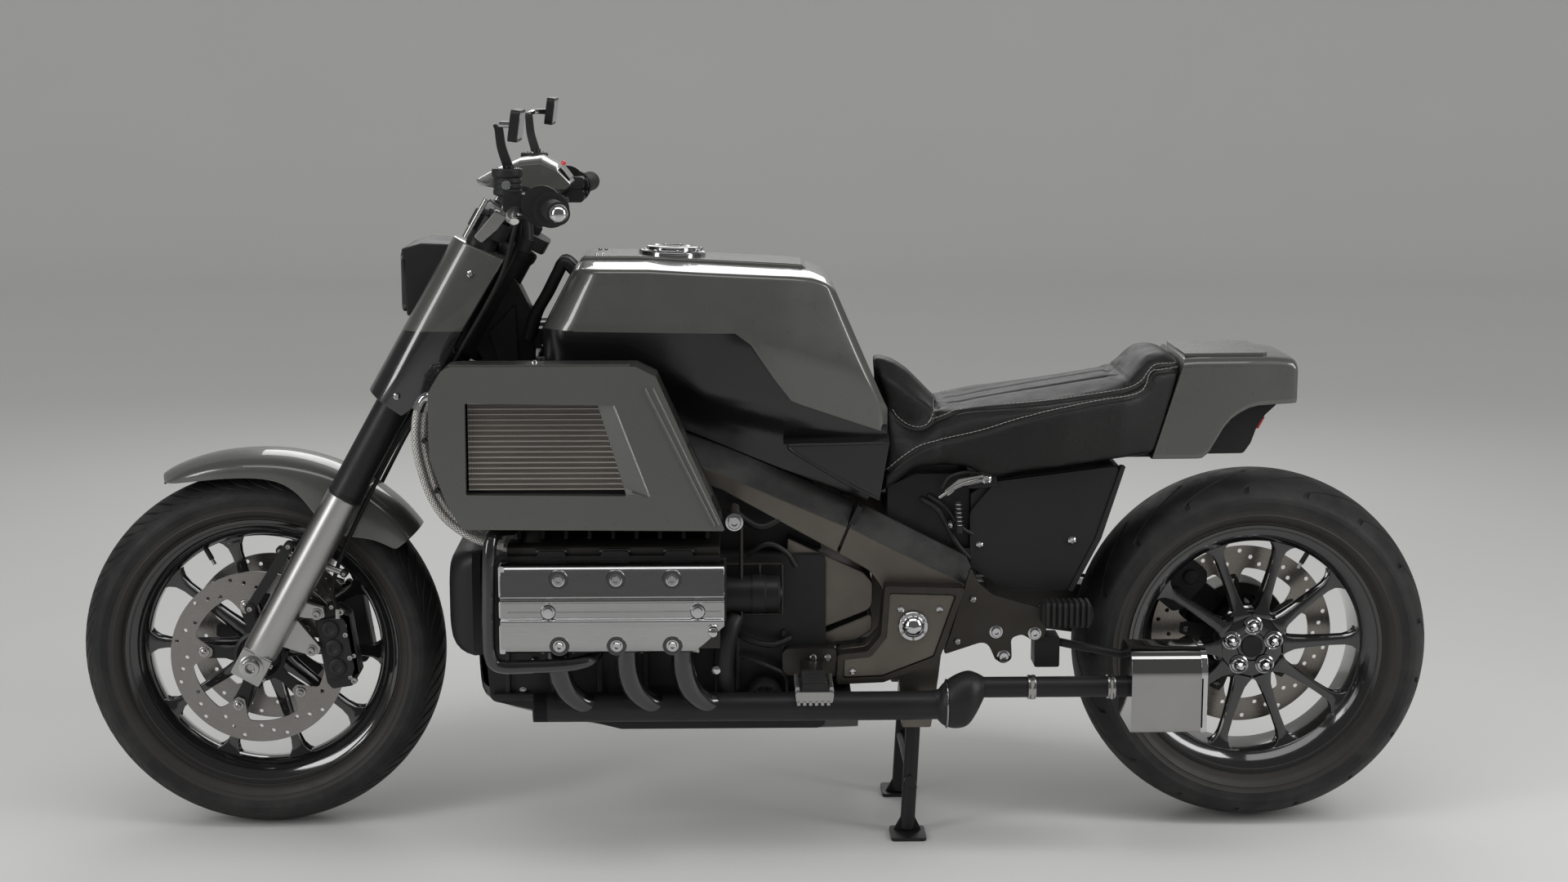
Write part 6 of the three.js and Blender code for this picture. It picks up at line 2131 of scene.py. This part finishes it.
def meshTree(obj):
    mesh = obj.data
    return BVHTree.FromPolygons([v.co for v in mesh.vertices], [p.vertices for p in mesh.polygons])


def puff(obj, seams):
    s = seat
    mesh = obj.data
    count = len(mesh.vertices)
    before = np.empty(count * 3)
    mesh.vertices.foreach_get("co", before)
    before = before.reshape(-1, 3) / milli
    gap = np.full(count, 1e9)
    for seam in seams:
        for place in seam:
            gap = np.minimum(gap, np.linalg.norm(before - place, axis=1))
    x, _, z = before.T
    low = np.interp(x, *zip(*s["low"]))
    back = (x - 703) * 0.959 + (z - 812) * -0.283
    nose = np.interp(z, *zip(*s["nose"])) + 1.5 - x
    hold = np.clip(1 - (gap - 5) / 9, 0, 1)
    for held in (1 - (z - low - 8) / 12, 1 + (back + 3) / 8, 1 + (nose + 3) / 8):
        hold = np.maximum(hold, np.clip(held, 0, 1))
    group = obj.vertex_groups.new(name="held")
    for i in np.nonzero(hold > 0.02)[0]:
        group.add([int(i)], float(hold[i]), "REPLACE")
    cloth = obj.modifiers.new("cloth", "CLOTH")
    c = cloth.settings
    c.quality, c.mass = 5, 0.25
    c.use_pressure, c.uniform_pressure_force = True, s["pressure"]
    c.tension_stiffness = c.compression_stiffness = 22
    c.shear_stiffness, c.bending_stiffness = 12, 1.4
    c.tension_damping = c.compression_damping = 14
    c.vertex_group_mass, c.pin_stiffness = "held", 1.0
    c.effector_weights.gravity = 0.0
    cloth.collision_settings.use_self_collision = False
    cloth.point_cache.frame_start, cloth.point_cache.frame_end = 1, s["frames"]
    for frameNumber in range(1, s["frames"] + 1):
        scene.frame_set(frameNumber)
    graph = bpy.context.evaluated_depsgraph_get()
    after = np.empty(count * 3)
    obj.evaluated_get(graph).data.vertices.foreach_get("co", after)
    shiftBy = after.reshape(-1, 3) / milli - before
    length = np.linalg.norm(shiftBy, axis=1)
    shiftBy *= np.minimum(1, s["limit"] / np.maximum(length, 1e-6))[:, None]
    say(f"cushion rises by up to {length.max():.0f} mm, kept to {s['limit']:.0f}")
    obj.modifiers.remove(cloth)
    obj.vertex_groups.clear()
    mesh.vertices.foreach_set("co", ((before + shiftBy) * milli).ravel())
    mesh.update()
    scene.frame_set(1)


def groove(obj, seams, depth, width):
    mesh = obj.data
    count = len(mesh.vertices)
    place, normal = np.empty(count * 3), np.empty(count * 3)
    mesh.vertices.foreach_get("co", place)
    mesh.vertex_normals.foreach_get("vector", normal)
    place, normal = place.reshape(-1, 3) / milli, normal.reshape(-1, 3)
    gap = np.full(count, 1e9)
    for seam in seams:
        seam = np.array(seam)
        for a, b in zip(seam, seam[1:]):
            way = b - a
            t = np.clip(((place - a) @ way) / max(way @ way, 1e-9), 0, 1)
            gap = np.minimum(gap, np.linalg.norm(place - a - t[:, None] * way, axis=1))
    place -= normal * (depth * np.exp(-(gap / width) ** 2))[:, None]
    mesh.vertices.foreach_set("co", (place * milli).ravel())
    mesh.update()


def seatPiece():
    s = seat
    seamNames = ("upperSeam", "lowerSeam", "bolsterSeam")
    obj = seatBody()
    tree = meshTree(obj)
    lines = [[hit for hit, _ in onSurface(tree, s[key], side)] for key in seamNames for _, side in sides]
    puff(obj, lines)
    divide(obj, 1)
    bake(obj)
    tree = meshTree(obj)
    seams = [[np.array(hit) for hit, _ in onSurface(tree, s[key], side)] for key in seamNames for _,
        side in sides]
    # long channels on the saddle, then where the bolster and the hump meet it
    channels = [fromAbove(tree, [(x, y) for x in range(318, 611, 12)]) for y in (-52, 0, 52)]
    channels += [fromAbove(tree, [(x + bow * (abs(y) / 108) ** 2, y) for y in range(-108, 109, 9)]) for x,
        bow in ((303, -16), (604, 8))]
    groove(obj, seams, 3.2, 4.2)
    groove(obj, channels, 2.2, 4.5)
    smoothOver(obj.data, 180)
    settle(obj, "chassis", "leather", "seat")
    tree = meshTree(obj)
    stitch = loose("stitch", tube([(-2.5, 0, -0.2), (-1.6, 0, 0.65), (1.6, 0, 0.65), (2.5, 0, -0.2)],
        0.62, 6, 2), "thread")
    rows = []
    for key in seamNames:
        for _, side in sides:
            pairs = []
            path = curve([(x, 0, z) for x, z in s[key]], 6)
            for k, (x, _, z) in enumerate(path):
                a, b = path[max(0, k - 1)], path[min(len(path) - 1, k + 1)]
                way = np.array((b[0] - a[0], b[2] - a[2]))
                way /= max(np.linalg.norm(way), 1e-9)
                pairs.append((x - way[1] * s["stitchGap"], z + way[0] * s["stitchGap"]))
            found = onSurface(tree, pairs, side, 2, 0.15)
            found = found[:1] + [f for e,
                f in zip(found, found[1:]) if (f[0] - e[0]).length < 22 and abs(f[1].z) < 0.93]
            mesh = pointMesh("stitches", [tuple(hit) for hit, _ in found], [tuple(n) for _, n in found],
                joined=True)
            rows.append(grown("stitches", "path", mesh,
                {"Part": stitch, "Pitch": s["stitchPitch"] * milli, "Finish": "thread"}, angle=60))
    bpy.data.objects.remove(stitch)
    joinInto("seatStitches", rows, "chassis", "leather")


tailSide = {
    "low": ((640, 646), (736, 646), (748, 656), (760, 676), (772, 697), (785, 712), (799, 722),
            (814, 730), (830, 734), (891, 737)),
    "top": ((640, 812), (706, 813), (720, 815), (848, 815), (872, 813), (885, 811), (889, 808),
            (891, 804)),
    "half": ((640, 113), (706, 112), (760, 109), (820, 105), (850, 101), (880, 98), (888, 96),
             (890.5, 94), (892, 92)),
}


def tail():
    t = tailSide
    rings = []
    for x in (648, 680, 700, 715, 730, 737, 742, 748, 754, 760, 766, 772, 778, 785, 792, 799, 806, 814,
            822, 830, 842, 854, 864, 872, 878, 883, 887, 890, 891):
        low, top, half = (along(x, *t[k]) for k in ("low", "top", "half"))
        rows = [(half - 10, low), (half - 3, low + 0.6), (half - 1, low + 3), (half, low + 9),
            (half, top - 15), (half - 0.8, top - 11), (half - 3, top - 7), (half - 7, top - 3.5),
            (half - 13, top - 1), (half - 20, top), (half * 0.3, top + 1.2)]
        at = x + 0.1 * max(0, x - 842)
        rings.append([(at, -a, b) for a, b in rows] + [(at, a, b) for a, b in reversed(rows)])
    shape = trimmed(loft(rings), (653, 0, 646), (-0.956, 0, 0.294))
    piece = Piece("tailCowl", "chassis", "paint", ("tail_cowl",))
    piece.add(shape, "paint")
    piece.done(1.6, 3, 40)
    strip = Piece("tailTopStrip", "chassis", "paint")
    strip.add(slab([(708, -86), (842, -80), (848, -72), (848, 72), (842, 80), (708, 86)], 4, 3, 814,
        820.5, "z"), "paint")
    strip.done(1.4, 3)
    fin = Piece("tailFin", "chassis", "gloss_black", ("tail_lamp",))
    outline = [(741, 645.6), (817, 646.5), (829, 664), (838, 690), (852, 712), (870, 729), (868, 733),
        (830, 733), (799, 721), (772, 695)]
    fin.add(slab(outline, (2, 8, 10, 10, 6, 2, 1, 4, 6, 6), 4, -58, 58), "satin")
    fin.done(3.0, 3)
    lamp = Piece("tailLight", "chassis", "gloss_black")
    for y in range(-45, 46, 15):
        lamp.add(rod((840, y, 699), (845.5, y, 697), 5.2, 16), "redLens")
    lamp.add(prism([(838.5, 688), (842.5, 687), (853, 707), (848, 710)], -53, 53), "redLens")
    for _, side in sides:
        lamp.add(slab([(856, 716), (868, 727), (864, 731), (852, 720)], 2, 2, 40, 52), "amber", side)
    lamp.done(1.0, 2)


def bodywork():
    fuelTank()
    lowerCover()
    seatPiece()
    tail()
    say("bodywork")


# frame, rear arm, exhaust, pegs and stands

sparFront = [(-375, 811), (159.5, 580.8), (127, 502), (-61, 607), (-375, 716)]
sparRear = [(163, 579.3), (173, 575), (345, 487), (353, 469), (345, 436), (302, 330), (298, 292),
    (286, 202), (238, 202), (232, 284), (208, 284), (127, 287), (128, 337), (176, 343), (200, 367),
    (205, 438), (182, 470), (131, 499.5)]


def spars():
    for word, side in sides:
        piece = Piece(word + "FrameSpar", "chassis", "frame_alloy", (f"frame_spar_{word}",))
        for outline, radii, a, b, depth in ((sparFront, 0, sparFront[0], sparFront[1], 43), (sparRear, [2,
                3, 14, 6, 10, 12, 4, 4, 4, 4, 4, 6, 8, 22, 22, 22, 22, 2], sparRear[0], sparRear[2], 43)):
            shape = prism(rounded(outline, radii, 5) if radii else outline, 120.5, 160)
            way = Vector((b[0] - a[0], 0, b[1] - a[1])).normalized()
            rise = Vector((0, -33, depth))
            normal = -way.cross(rise).normalized()
            if normal.y < 0:
                normal = -normal
            top = (a[0], 126.5, a[1])
            shape = trimmed(shape, top, normal)
            # the chamfer facet takes the dark cast finish, a painted shade for the light that falls on it
            # less
            points, faces = shape
            light, shadedChamfer = [], []
            for face in faces:
                p = [Vector(points[i]) for i in face]
                n = sum((u.cross(v) for u, v in zip(p, p[1:] + p[:1])), Vector()).normalized()
                (shadedChamfer if abs(n.dot(normal)) > 0.95 else light).append(face)
            piece.add((points, light), "bronze", side)
            piece.add((points, shadedChamfer), "cast", side)
        piece.done(1.6, 3)
        core = Piece(word + "SparCore", "chassis", "satin_black")
        core.add(prism([(130, 512), (162, 578), (170, 574), (140, 508)], 122, 155), "satin", side)
        core.done()


def steeringHead():
    piece = Piece("steeringHead", "chassis", "cast_alloy", ("steering_head",))
    piece.add(atHead(revolve([(17, 28), (31, 28), (33, 32), (33, 40), (30, 46), (30, 212), (33, 218),
        (33, 228), (31, 232), (17, 232)], (0, 0, 0), "z", 48)), "cast")
    piece.add(slab([(-476, 828), (-405, 724), (-376, 722), (-376, 811), (-374, 878), (-408, 950)], 8, 3,
        -25, 25), "cast")
    piece.add(slab(rect(-403, 722, -376, 800), 6, 3, -160, 160), "cast")
    for _, side in sides:
        piece.add(prism([(-450, 852), (-404, 728), (-398, 728), (-404, 900)], 25, 32), "cast", side)
    piece.done(2.0, 3)


def subframe():
    piece = Piece("rearSubframe", "chassis", "satin_black", ("rear_subframe",))
    body = [(354, 466), (352, 590), (388, 614), (590, 638), (602, 634), (598, 600), (563, 515),
        (518, 426), (412, 426)]
    piece.add(slab(body, 6, 3, -112, 112), "satin")
    piece.add(box((560, -82, 645), (706, 82, 650)), "satin")
    piece.add(prism([(214, 545), (214, 600), (260, 622), (352, 622), (352, 470), (300, 492)], -100, 100),
        "satin")
    piece.add(prism(rect(300, 442, 362, 498), -118, 118), "cast")
    rows = []
    panel = rounded([(352, 466), (350, 560), (392, 612), (600, 638), (560, 515), (516, 427), (412, 427)],
        (6, 20, 14, 10, 6, 8, 14), 5)
    for _, side in sides:
        piece.add(prism(panel, 112, 120), "satin", side)
        edge = [(600, 637), (608, 636), (570, 514), (524, 424), (516, 427), (560, 515)]
        piece.add(prism(edge, 104, 123), "plastic", side)
        # latch under the seat's front: a plate, a wire and a spring seat
        piece.add(slab([(344, 600), (396, 604), (391, 632), (350, 630)], 6, 3, 121, 126), "satin", side)
        piece.add(tube([(298, 128, 586), (318, 131, 600), (344, 132, 612), (372, 130, 618)], 3.2, 12),
            "steel", side)
        piece.add(tube([(302, 126, 600), (316, 130, 622), (350, 130, 630), (386, 128, 622)], 2.6, 12),
            "hose", side)
        for k in range(6):
            piece.add(revolve([(6, 0), (9, 1.6), (6, 3.2)], (330 + k * 0.6, 128, 574 - 7 * k), "z", 20),
                "steel", side)
        piece.add(rod((333, 128, 526), (329, 128, 580), 5.5, 16), "plastic", side)
        lever = [(312, 588), (330, 604), (384, 616), (384, 628), (330, 618), (306, 598)]
        piece.add(slab(lever, 3, 2, 126, 131), "aluminium", side)
        for x, z, size in ((521, 512, 7.5), (367, 505, 6.5), (318, 538, 6.0)):
            rows.append((x, side * 120.5, z, (0, side, 0), size))
        rows.append((376, side * 127.5, 618, (0, side, 0), 9.5))
        piece.add(rod((318, 110, 538), (318, 120.5, 538), 9, 20), "satin", side)
        # looms behind the latch
        for k, (a, b) in enumerate((((300, 560), (352, 480)), ((312, 566), (360, 520)))):
            piece.add(tube([(a[0] - 30, 104, a[1] + 20), (a[0], 116, a[1]), ((a[0] + b[0]) / 2, 122,
                (a[1] + b[1]) / 2 - 8), (b[0], 116, b[1])], 4.5 - k, 12), "hose", side)
    piece.done(1.4, 2)
    fasteners("panelBolts", "chassis", "button", rows, "chrome", "chrome")


def sideCovers():
    outline = [(205, 452), (337, 448), (295, 326), (204, 290), (127, 287), (128, 337), (177, 342),
        (199, 369)]
    inner = [(213, 441), (323, 437.5), (287, 333), (201, 299.5), (136, 297), (137, 328), (183, 333),
        (208, 365)]
    bolts, screws = [], []
    for word, side in sides:
        piece = Piece(word + "SideCover", "chassis", "aluminium", (f"side_cover_{word}",))
        piece.add(slab(outline, (5, 5, 8, 10, 5, 5, 12, 14), 4, 160.4, 189), "bronzeDark", side)
        piece.add(slab(outline, (5, 5, 8, 10, 5, 5, 12, 14), 4, 188, 195.5, "y",
            [rounded(inner, (4, 4, 6, 8, 4, 4, 10, 12), 4)]), "bronzeDark", side)
        panel = [(a + (228 - a) * 0.03, b + (370 - b) * 0.03) for a, b in inner]
        piece.add(slab(panel, 5, 4, 188, 192), "bronze", side)
        cap = [(0.1, 190), (25, 190), (25, 198), (23.5, 199.6), (18.4, 200), (17.4, 203), (14.6, 207),
            (9.6, 210.4), (4.8, 211.8), (0.1, 212.2)]
        piece.add(revolve(cap, (252, 0, 385), "y", 56, False), "chrome", side)
        piece.done(1.6, 3)
        for x, z in ((232, 413), (295, 413), (153, 309)):
            bolts.append((x, side * 192, z, (0, side, 0), 6.2))
        for k in range(6):
            a = math.radians(30 + 60 * k)
            screws.append((252 + 21 * math.cos(a), side * 199.6, 385 + 21 * math.sin(a), (0, side, 0),
                2.2))
    fasteners("coverBolts", "chassis", "button", bolts, "chrome", "chrome")
    fasteners("pivotCapScrews", "chassis", "cap", screws, "steel", "steel")


def passengerPeg(word, side, small, large):
    piece = Piece(word + "PassengerPeg", "chassis", "cast_alloy", (f"passenger_peg_{word}",))
    plate = rounded([(348, 478), (360, 452), (384, 432), (430, 418), (474, 406), (478, 392), (472, 360),
        (455, 352), (434, 364), (416, 358), (418, 322), (404, 313), (390, 322), (376, 354), (304, 330),
        (318, 372)], (2, 20, 24, 30, 4, 8, 12, 10, 12, 10, 10, 12, 10, 20, 4, 10), 5)
    piece.add(prism(plate, 160.5, 172), "bronzeDark", side)
    # ribbed folding peg
    piece.add(slab([(464, 384), (545, 385), (549, 402), (545, 420), (464, 422)], 6, 3, 162, 198), "grip",
        side)
    for k in range(8):
        x = 470 + k * 9.6
        piece.add(slab([(161, 381.5), (202, 381.5), (204.5, 386), (204.5, 418), (202, 423.5),
            (161, 423.5)], 4, 3, x, x + 5, "x"), "grip", side)
    piece.add(rod((470, 150, 402), (470, 166, 402), 12, 20), "steel", side)
    piece.add(slab(rect(456, 306, 498, 358), 4, 3, 120, 165), "satin", side)
    piece.done(1.2, 2)
    for x, z, y in ((352, 424, 172), (327, 353, 172)):
        small.append((x, side * y, z, (0, side, 0), 6.0))
    for x, z in ((391, 369), (455, 366), (404, 327)):
        large.append((x, side * 172, z, (0, side, 0), 8.6))


def footpeg(word, side, small):
    piece = Piece(word + "Footpeg", "chassis", "aluminium", (f"footpeg_{word}",))
    arm = rounded([(38, 308), (44, 300), (124, 298), (126, 342), (120, 346), (44, 346), (37, 338)],
        (10, 8, 3, 3, 3, 10, 10), 4)
    piece.add(prism(arm, 165.5, 187), "bronzeDark", side)
    piece.add(slab(rect(66, 303, 106, 327), 6, 4, 185, 262), "case", side)
    base = rounded([(56, 300), (114, 300), (116, 318), (54, 318)], 4, 3)
    piece.add(prism(base, 258, 350), "aluminium", side)
    for k in range(9):  # teeth along the front and rear edges
        y = 262 + k * 9.6
        for x in (54, 108):
            tooth = [(x, 316), (x + 8, 316), (x + 7, 325), (x + 1, 325)]
            piece.add(prism(tooth, y, y + 5.4), "aluminium", side)
    for k in range(6):
        x = 57 + k * 9.4
        piece.add(prism(rect(x, 296, x + 5.4, 303), 345, 351.5), "aluminium", side)
    pad = rounded([(64, 316), (106, 316), (104, 329.5), (66, 329.5)], 4, 3)
    piece.add(prism(pad, 262, 346), "grip", side)
    for k in range(7):
        y = 268 + k * 11
        piece.add(prism([(y, 328), (y + 5, 328), (y + 4, 332), (y + 1, 332)], 66, 104, "x"), "grip", side)
    piece.add(rod((60, 252, 309), (110, 252, 309), 5, 16), "steel", side)
    piece.done(0.9, 2)
    for x in (88, 112):
        small.append((x, side * 187, 331, (0, side, 0), 6.6))


def pegs():
    small, large = [], []
    for word, side in sides:
        passengerPeg(word, side, small, large)
        footpeg(word, side, small)
    fasteners("pegBolts", "chassis", "button", small, "steel", "steel")
    fasteners("hangerBolts", "chassis", "washered", large, "chrome", "chrome")


def rearArm():
    piece = Piece("rearArm", "chassis", "cast_alloy", ("swingarm",))
    piece.add(rod((285, -119.6, 375), (285, 119.6, 375), 27.5, 40), "satin")
    piece.add(slab([(285, 347), (285, 403), (400, 398), (400, 318), (340, 322)], 8, 3, 62, 119.6), "cast")
    arm = rounded([(360, 321), (360, 400), (420, 398), (786, 364), (846, 352), (846, 262), (776, 268),
        (420, 316)], (8, 8, 20, 20, 10, 10, 20, 20), 4)
    piece.add(prism(arm, 101, 150), "case")
    piece.add(slab([(440, 328), (440, 386), (770, 352), (770, 282)], 12, 4, 149, 153.5, "y",
        [rounded([(452, 338), (452, 376), (758, 344), (758, 292)], 10, 4)]), "case")
    x, z = rearAxle[0], rearAxle[2]
    housing = [(70, 63), (86, 70), (88, 78), (88, 134), (82, 142), (60, 146), (58, 152), (44, 156),
        (30, 157.5), (0.1, 158), (0.1, 63)]
    piece.add(revolve(housing, rearAxle, "y", 64, False), "case")
    for k in range(10):  # ribs round the final drive
        a = 2 * math.pi * (k + 0.5) / 10
        fin = turnFlat(rect(60, -2.6, 86.5, 2.6), a, (x, z))
        piece.add(prism(fin, 134, 149), "case")
    piece.add(revolve([(20, -23), (24, -20), (24, 20), (40, 30), (40, 63.5), (19, 63.5), (19, -23)],
        rearAxle, "y", 40), "satin")
    # brake: caliper over the disc, a bridge, bracket and pistons
    angle = math.radians(140)
    lowFace, highFace = 46.3 - 2.2, 50.8 + 2.2

    def put(points, low, high, finish, radius=5):
        piece.add(prism(turnFlat(rounded(points, radius, 3), angle, (x, z)), low, high), finish)

    put([(112, -34), (124, -46), (160, -46), (176, -30), (176, 30), (160, 46), (124, 46), (112, 34)],
        highFace, 66.8, "crinkle", 8)
    put([(112, -32), (124, -46), (160, -46), (176, -28), (176, 28), (160, 46), (124, 46), (112, 32)],
        32.4, lowFace, "crinkle", 8)
    put([(163, -40), (176, -28), (176, 28), (163, 40)], 40, 60, "crinkle", 3)
    put([(60, -30), (150, -26), (150, 26), (60, 30)], 58.5, 79, "cast", 6)
    for v in (-20, 20):
        spot = turnFlat([(140, v)], angle, (x, z))[0]
        piece.add(revolve([(0.1, 32.4), (13, 32.4), (13, 27.5), (10, 26), (0.1, 26)],
            (spot[0], 0, spot[1]), "y", 28, False), "crinkle")
    piece.done(2.0, 3)
    rows = [(x + 48 * math.cos(a), 156.5, z + 48 * math.sin(a), (0, 1, 0), 6.0) for a in np.linspace(0,
        2 * math.pi, 8, endpoint=False)]
    rows += [(x + 70 * math.cos(a), 143, z + 70 * math.sin(a), (0, 1, 0), 4.4) for a in np.linspace(0.3,
        2 * math.pi + 0.3, 10, endpoint=False)]
    fasteners("finalDriveBolts", "chassis", "cap", rows, "steel", "steel")
    line = Piece("rearBrakeLine", "chassis", "satin_black")
    line.add(tube([(300, 116, 410), (420, 112, 412), (560, 100, 402), (680, 82, 392), (738, 66, 404),
        (760, 62, 392)], 3.4, 12, 8), "hose")
    line.add(rod((756, 62, 396), (764, 62, 388), 6, 6), "steel")
    line.done()


exhaustPlaces = {"headerY": 264, "headers": (-325, -215, -125), "pipeY": 235, "pipeZ": 262, "linkZ": 292,
    "mouthZ": 296, "mouths": (206, 258), "canStart": 598}


def exhaust():
    e = exhaustPlaces
    y, z, headerY = e["pipeY"], e["pipeZ"], e["headerY"]
    cap = [(0.1, -352), (14, -351), (21, -347), (23.6, -340), (0.1, -340)]
    low, high = 172, 292
    skin = rounded(rect(low, 229, high, 364), (9, 9, 44, 44), 10)
    inner = rounded(rect(low + 6, 235, high - 6, 358), (6, 6, 38, 38), 10)
    rim = rounded(rect(low, 227.5, high, 365.5), (10, 10, 45, 45), 10)
    mouth = [(15, 706), (20, 706), (20, 719), (18.6, 720.4), (17, 720), (15, 714)]
    clamps = []
    for word, side in sides:
        piece = Piece(word + "ExhaustPipe", "chassis", "satin_black", (f"exhaust_pipe_{word}",))
        for x in e["headers"]:
            path = [(x, headerY, 375), (x, headerY, 350), (x + 3, 262, 325), (x + 14, 256, 296),
                (x + 38, 244, 272), (x + 66, 236, 263)]
            piece.add(tube(path, (19, 19, 19, 18.5, 18, 17), 24, 8), "gloss", side)
            flange = rect(x - 30, headerY - 17, x + 30, headerY + 17)
            piece.add(slab(flange, 12, 4, 366, 375.5, "z"), "steel", side)
            for dx in (-24, 24):
                clamps.append((x + dx, side * headerY, 366, (0, 0, -1), 4.6))
        main = [(-345, y, z), (-320, y, z), (240, y, z), (296, y, z + 4)]
        piece.add(tube(main, 23.6, 32, 8), "satin", side)
        piece.add(revolve(cap, (0, y, z), "x", 32, False), "satin", side)
        # collector with a rolled ring, then the pipe to the muffler
        body = []
        for x, rise, wide, tall in curve([(290, 262, 24, 24), (300, 264, 32, 35), (318, 268, 37, 44),
                (338, 274, 38, 45), (352, 282, 31, 34), (364, 291, 19, 19)], 5):
            body.append([(x, y + wide * math.cos(a), rise + tall * math.sin(a)) for a in np.linspace(0,
                2 * math.pi, 48, endpoint=False)])
        piece.add(loft(body), "satin", side)
        ring = [(304, y + 35 * math.cos(a), 265 + 39 * math.sin(a)) for a in np.linspace(0, 2 * math.pi,
            40)]
        piece.add(tube(ring, 1.6, 10, 2, smooth=False), "darkChrome", side)
        piece.add(rod((352, y, e["linkZ"]), (600, y, e["linkZ"]), 17, 36), "satin", side)
        for x in (436, 566):  # clamps on the link pipe
            band = [(16.6, x), (19.6, x + 0.5), (20, x + 3), (19, x + 6), (20, x + 9), (19.6, x + 13),
                (16.6, x + 13.5)]
            piece.add(revolve(band, (0, y, e["linkZ"]), "x", 36), "steel", side)
            piece.add(rod((x + 7, 251, 276), (x + 7, 251, 308), 3.4, 12), "steel", side)
        piece.done(0.8, 2)

        can = Piece(word + "Muffler", "chassis", "chrome", (f"muffler_{word}",))
        can.add(prism(skin, e["canStart"], 714, "x"), "darkChrome", side)
        can.add(prism(rim, 710.5, 720.5, "x", [inner]), "chrome", side)
        can.add(prism(inner, 708, 713, "x"), "satin", side)
        for at in e["mouths"]:
            can.add(revolve(mouth, (0, at, e["mouthZ"]), "x", 36), "chrome", side)
            can.add(revolve(rect(0.1, 714, 17, 715), (0, at, e["mouthZ"]), "x", 36, False), "gloss", side)
        can.done(2.0, 4)
        bracket = Piece(word + "MufflerBracket", "chassis", "satin_black")
        bracket.add(tube([(486, 150, 348), (540, 166, 340), (600, 174, 330), (640, 173, 322)], 7, 14),
            "satin", side)
        bracket.done()
    fasteners("headerNuts", "chassis", "hexagon", clamps, "steel", "steel")


def stands():
    piece = Piece("centreStand", "centre_stand", "satin_black", ("centre_stand",))
    piece.add(rod((262, -119.4, 218), (262, 119.4, 218), 12.8, 32), "satin")
    piece.add(rod((257, -98, 112), (257, 98, 112), 9.8, 24), "satin")
    for _, side in sides:
        piece.add(tube([(262, 98, 218), (260, 99, 170), (256, 102, 90), (252, 104, 8)], 12.4, 24, 6),
            "satin", side)
        piece.add(slab(rect(222, 84, 282, 152), 9, 4, 0, 6, "z"), "satin", side)
        web = [(228, 5), (276, 5), (262, 34), (244, 34)]
        piece.add(prism(web, 101, 107), "satin", side)
        piece.add(rod((262, 106, 218), (262, 119.4, 218), 17, 28), "satin", side)
    piece.add(slab([(244, 96), (262, 78), (268, 84), (256, 108)], 3, 2, -120, -104), "satin")
    piece.done(0.9, 2)

    x, y, z = 31, -185, 238
    way = Vector((0.05, 0.94, -0.34)).normalized()
    piece = Piece("sideStand", "side_stand", "satin_black", ("side_stand",))
    a, b = Vector((x, y, z)) - way * 12, Vector((x, y, z)) + way * 12
    piece.add(rod(tuple(a), tuple(b), 14.6, 32), "satin")
    end = (x + 221, y + 8, z + 9)
    piece.add(tube([(x, y, z), (x + 60, y + 1, z - 1), (x + 150, y + 3, z + 3), end], (10, 9.6, 8.8, 8.6),
        24, 6), "satin")
    piece.add(slab(rect(end[0] - 16, end[1] - 15, end[0] + 14, end[1] + 15), 8, 4, end[2] - 10.5,
        end[2] + 10.5, "z"), "satin")
    piece.add(tube([(x + 128, y - 6, z + 4), (x + 132, y - 17, z + 5), (x + 142, y - 22, z + 6)], 4.4, 14,
        6), "satin")
    piece.done(0.9, 2)
    fasteners("standPivot", "side_stand", "hexagon",
        [(*(Vector((x, y, z)) - way * 12), tuple(-way), 8.6)], "steel", "steel")


def rear():
    spars()
    steeringHead()
    subframe()
    sideCovers()
    pegs()
    rearArm()
    exhaust()
    stands()
    say("frame and rear")


# CAD nodes that stay as they are take a finish of their own
plain = {
    "paint": "paint", "gloss_black": "gloss", "satin_black": "satin", "frame_alloy": "bronze",
    "cast_alloy": "cast", "aluminium": "aluminium", "polished_alloy": "polished",
    "chrome": "chrome", "steel": "steel", "braid": "satin", "leather": "leather", "tyre": "tyre",
}


def finishRest():
    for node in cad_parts.values():
        word = node.data.materials[0].name if node.data.materials else "satin_black"
        key = next((v for k, v in plain.items() if word.startswith(k)), "satin")
        for k in range(len(node.material_slots)):
            node.material_slots[k].material = finishes[key]
    say(f"{len(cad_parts)} frame nodes")


def floor():
    # flat floor that rises into a backdrop far behind
    rows = [(-10, 0), (9, 0)] + [(9 + 6 * math.sin(a), 6 - 6 * math.cos(a)) for a in np.linspace(0.05,
        math.pi / 2, 24)] + [(15, 16)]
    points = [(x, y, z) for y, z in rows for x in (-26, 26)]
    mesh = bpy.data.meshes.new("floor")
    mesh.from_pydata(points, [], [(2 * k, 2 * k + 1, 2 * k + 3, 2 * k + 2) for k in range(len(rows) - 1)])
    mesh.polygons.foreach_set("use_smooth", [True] * len(mesh.polygons))
    mesh.materials.append(floorFinish())
    placed("floor", mesh)


floor()
setCamera()
setStudio()
setWorld()
wheels()
front()
engine()
bodywork()
rear()
finishRest()
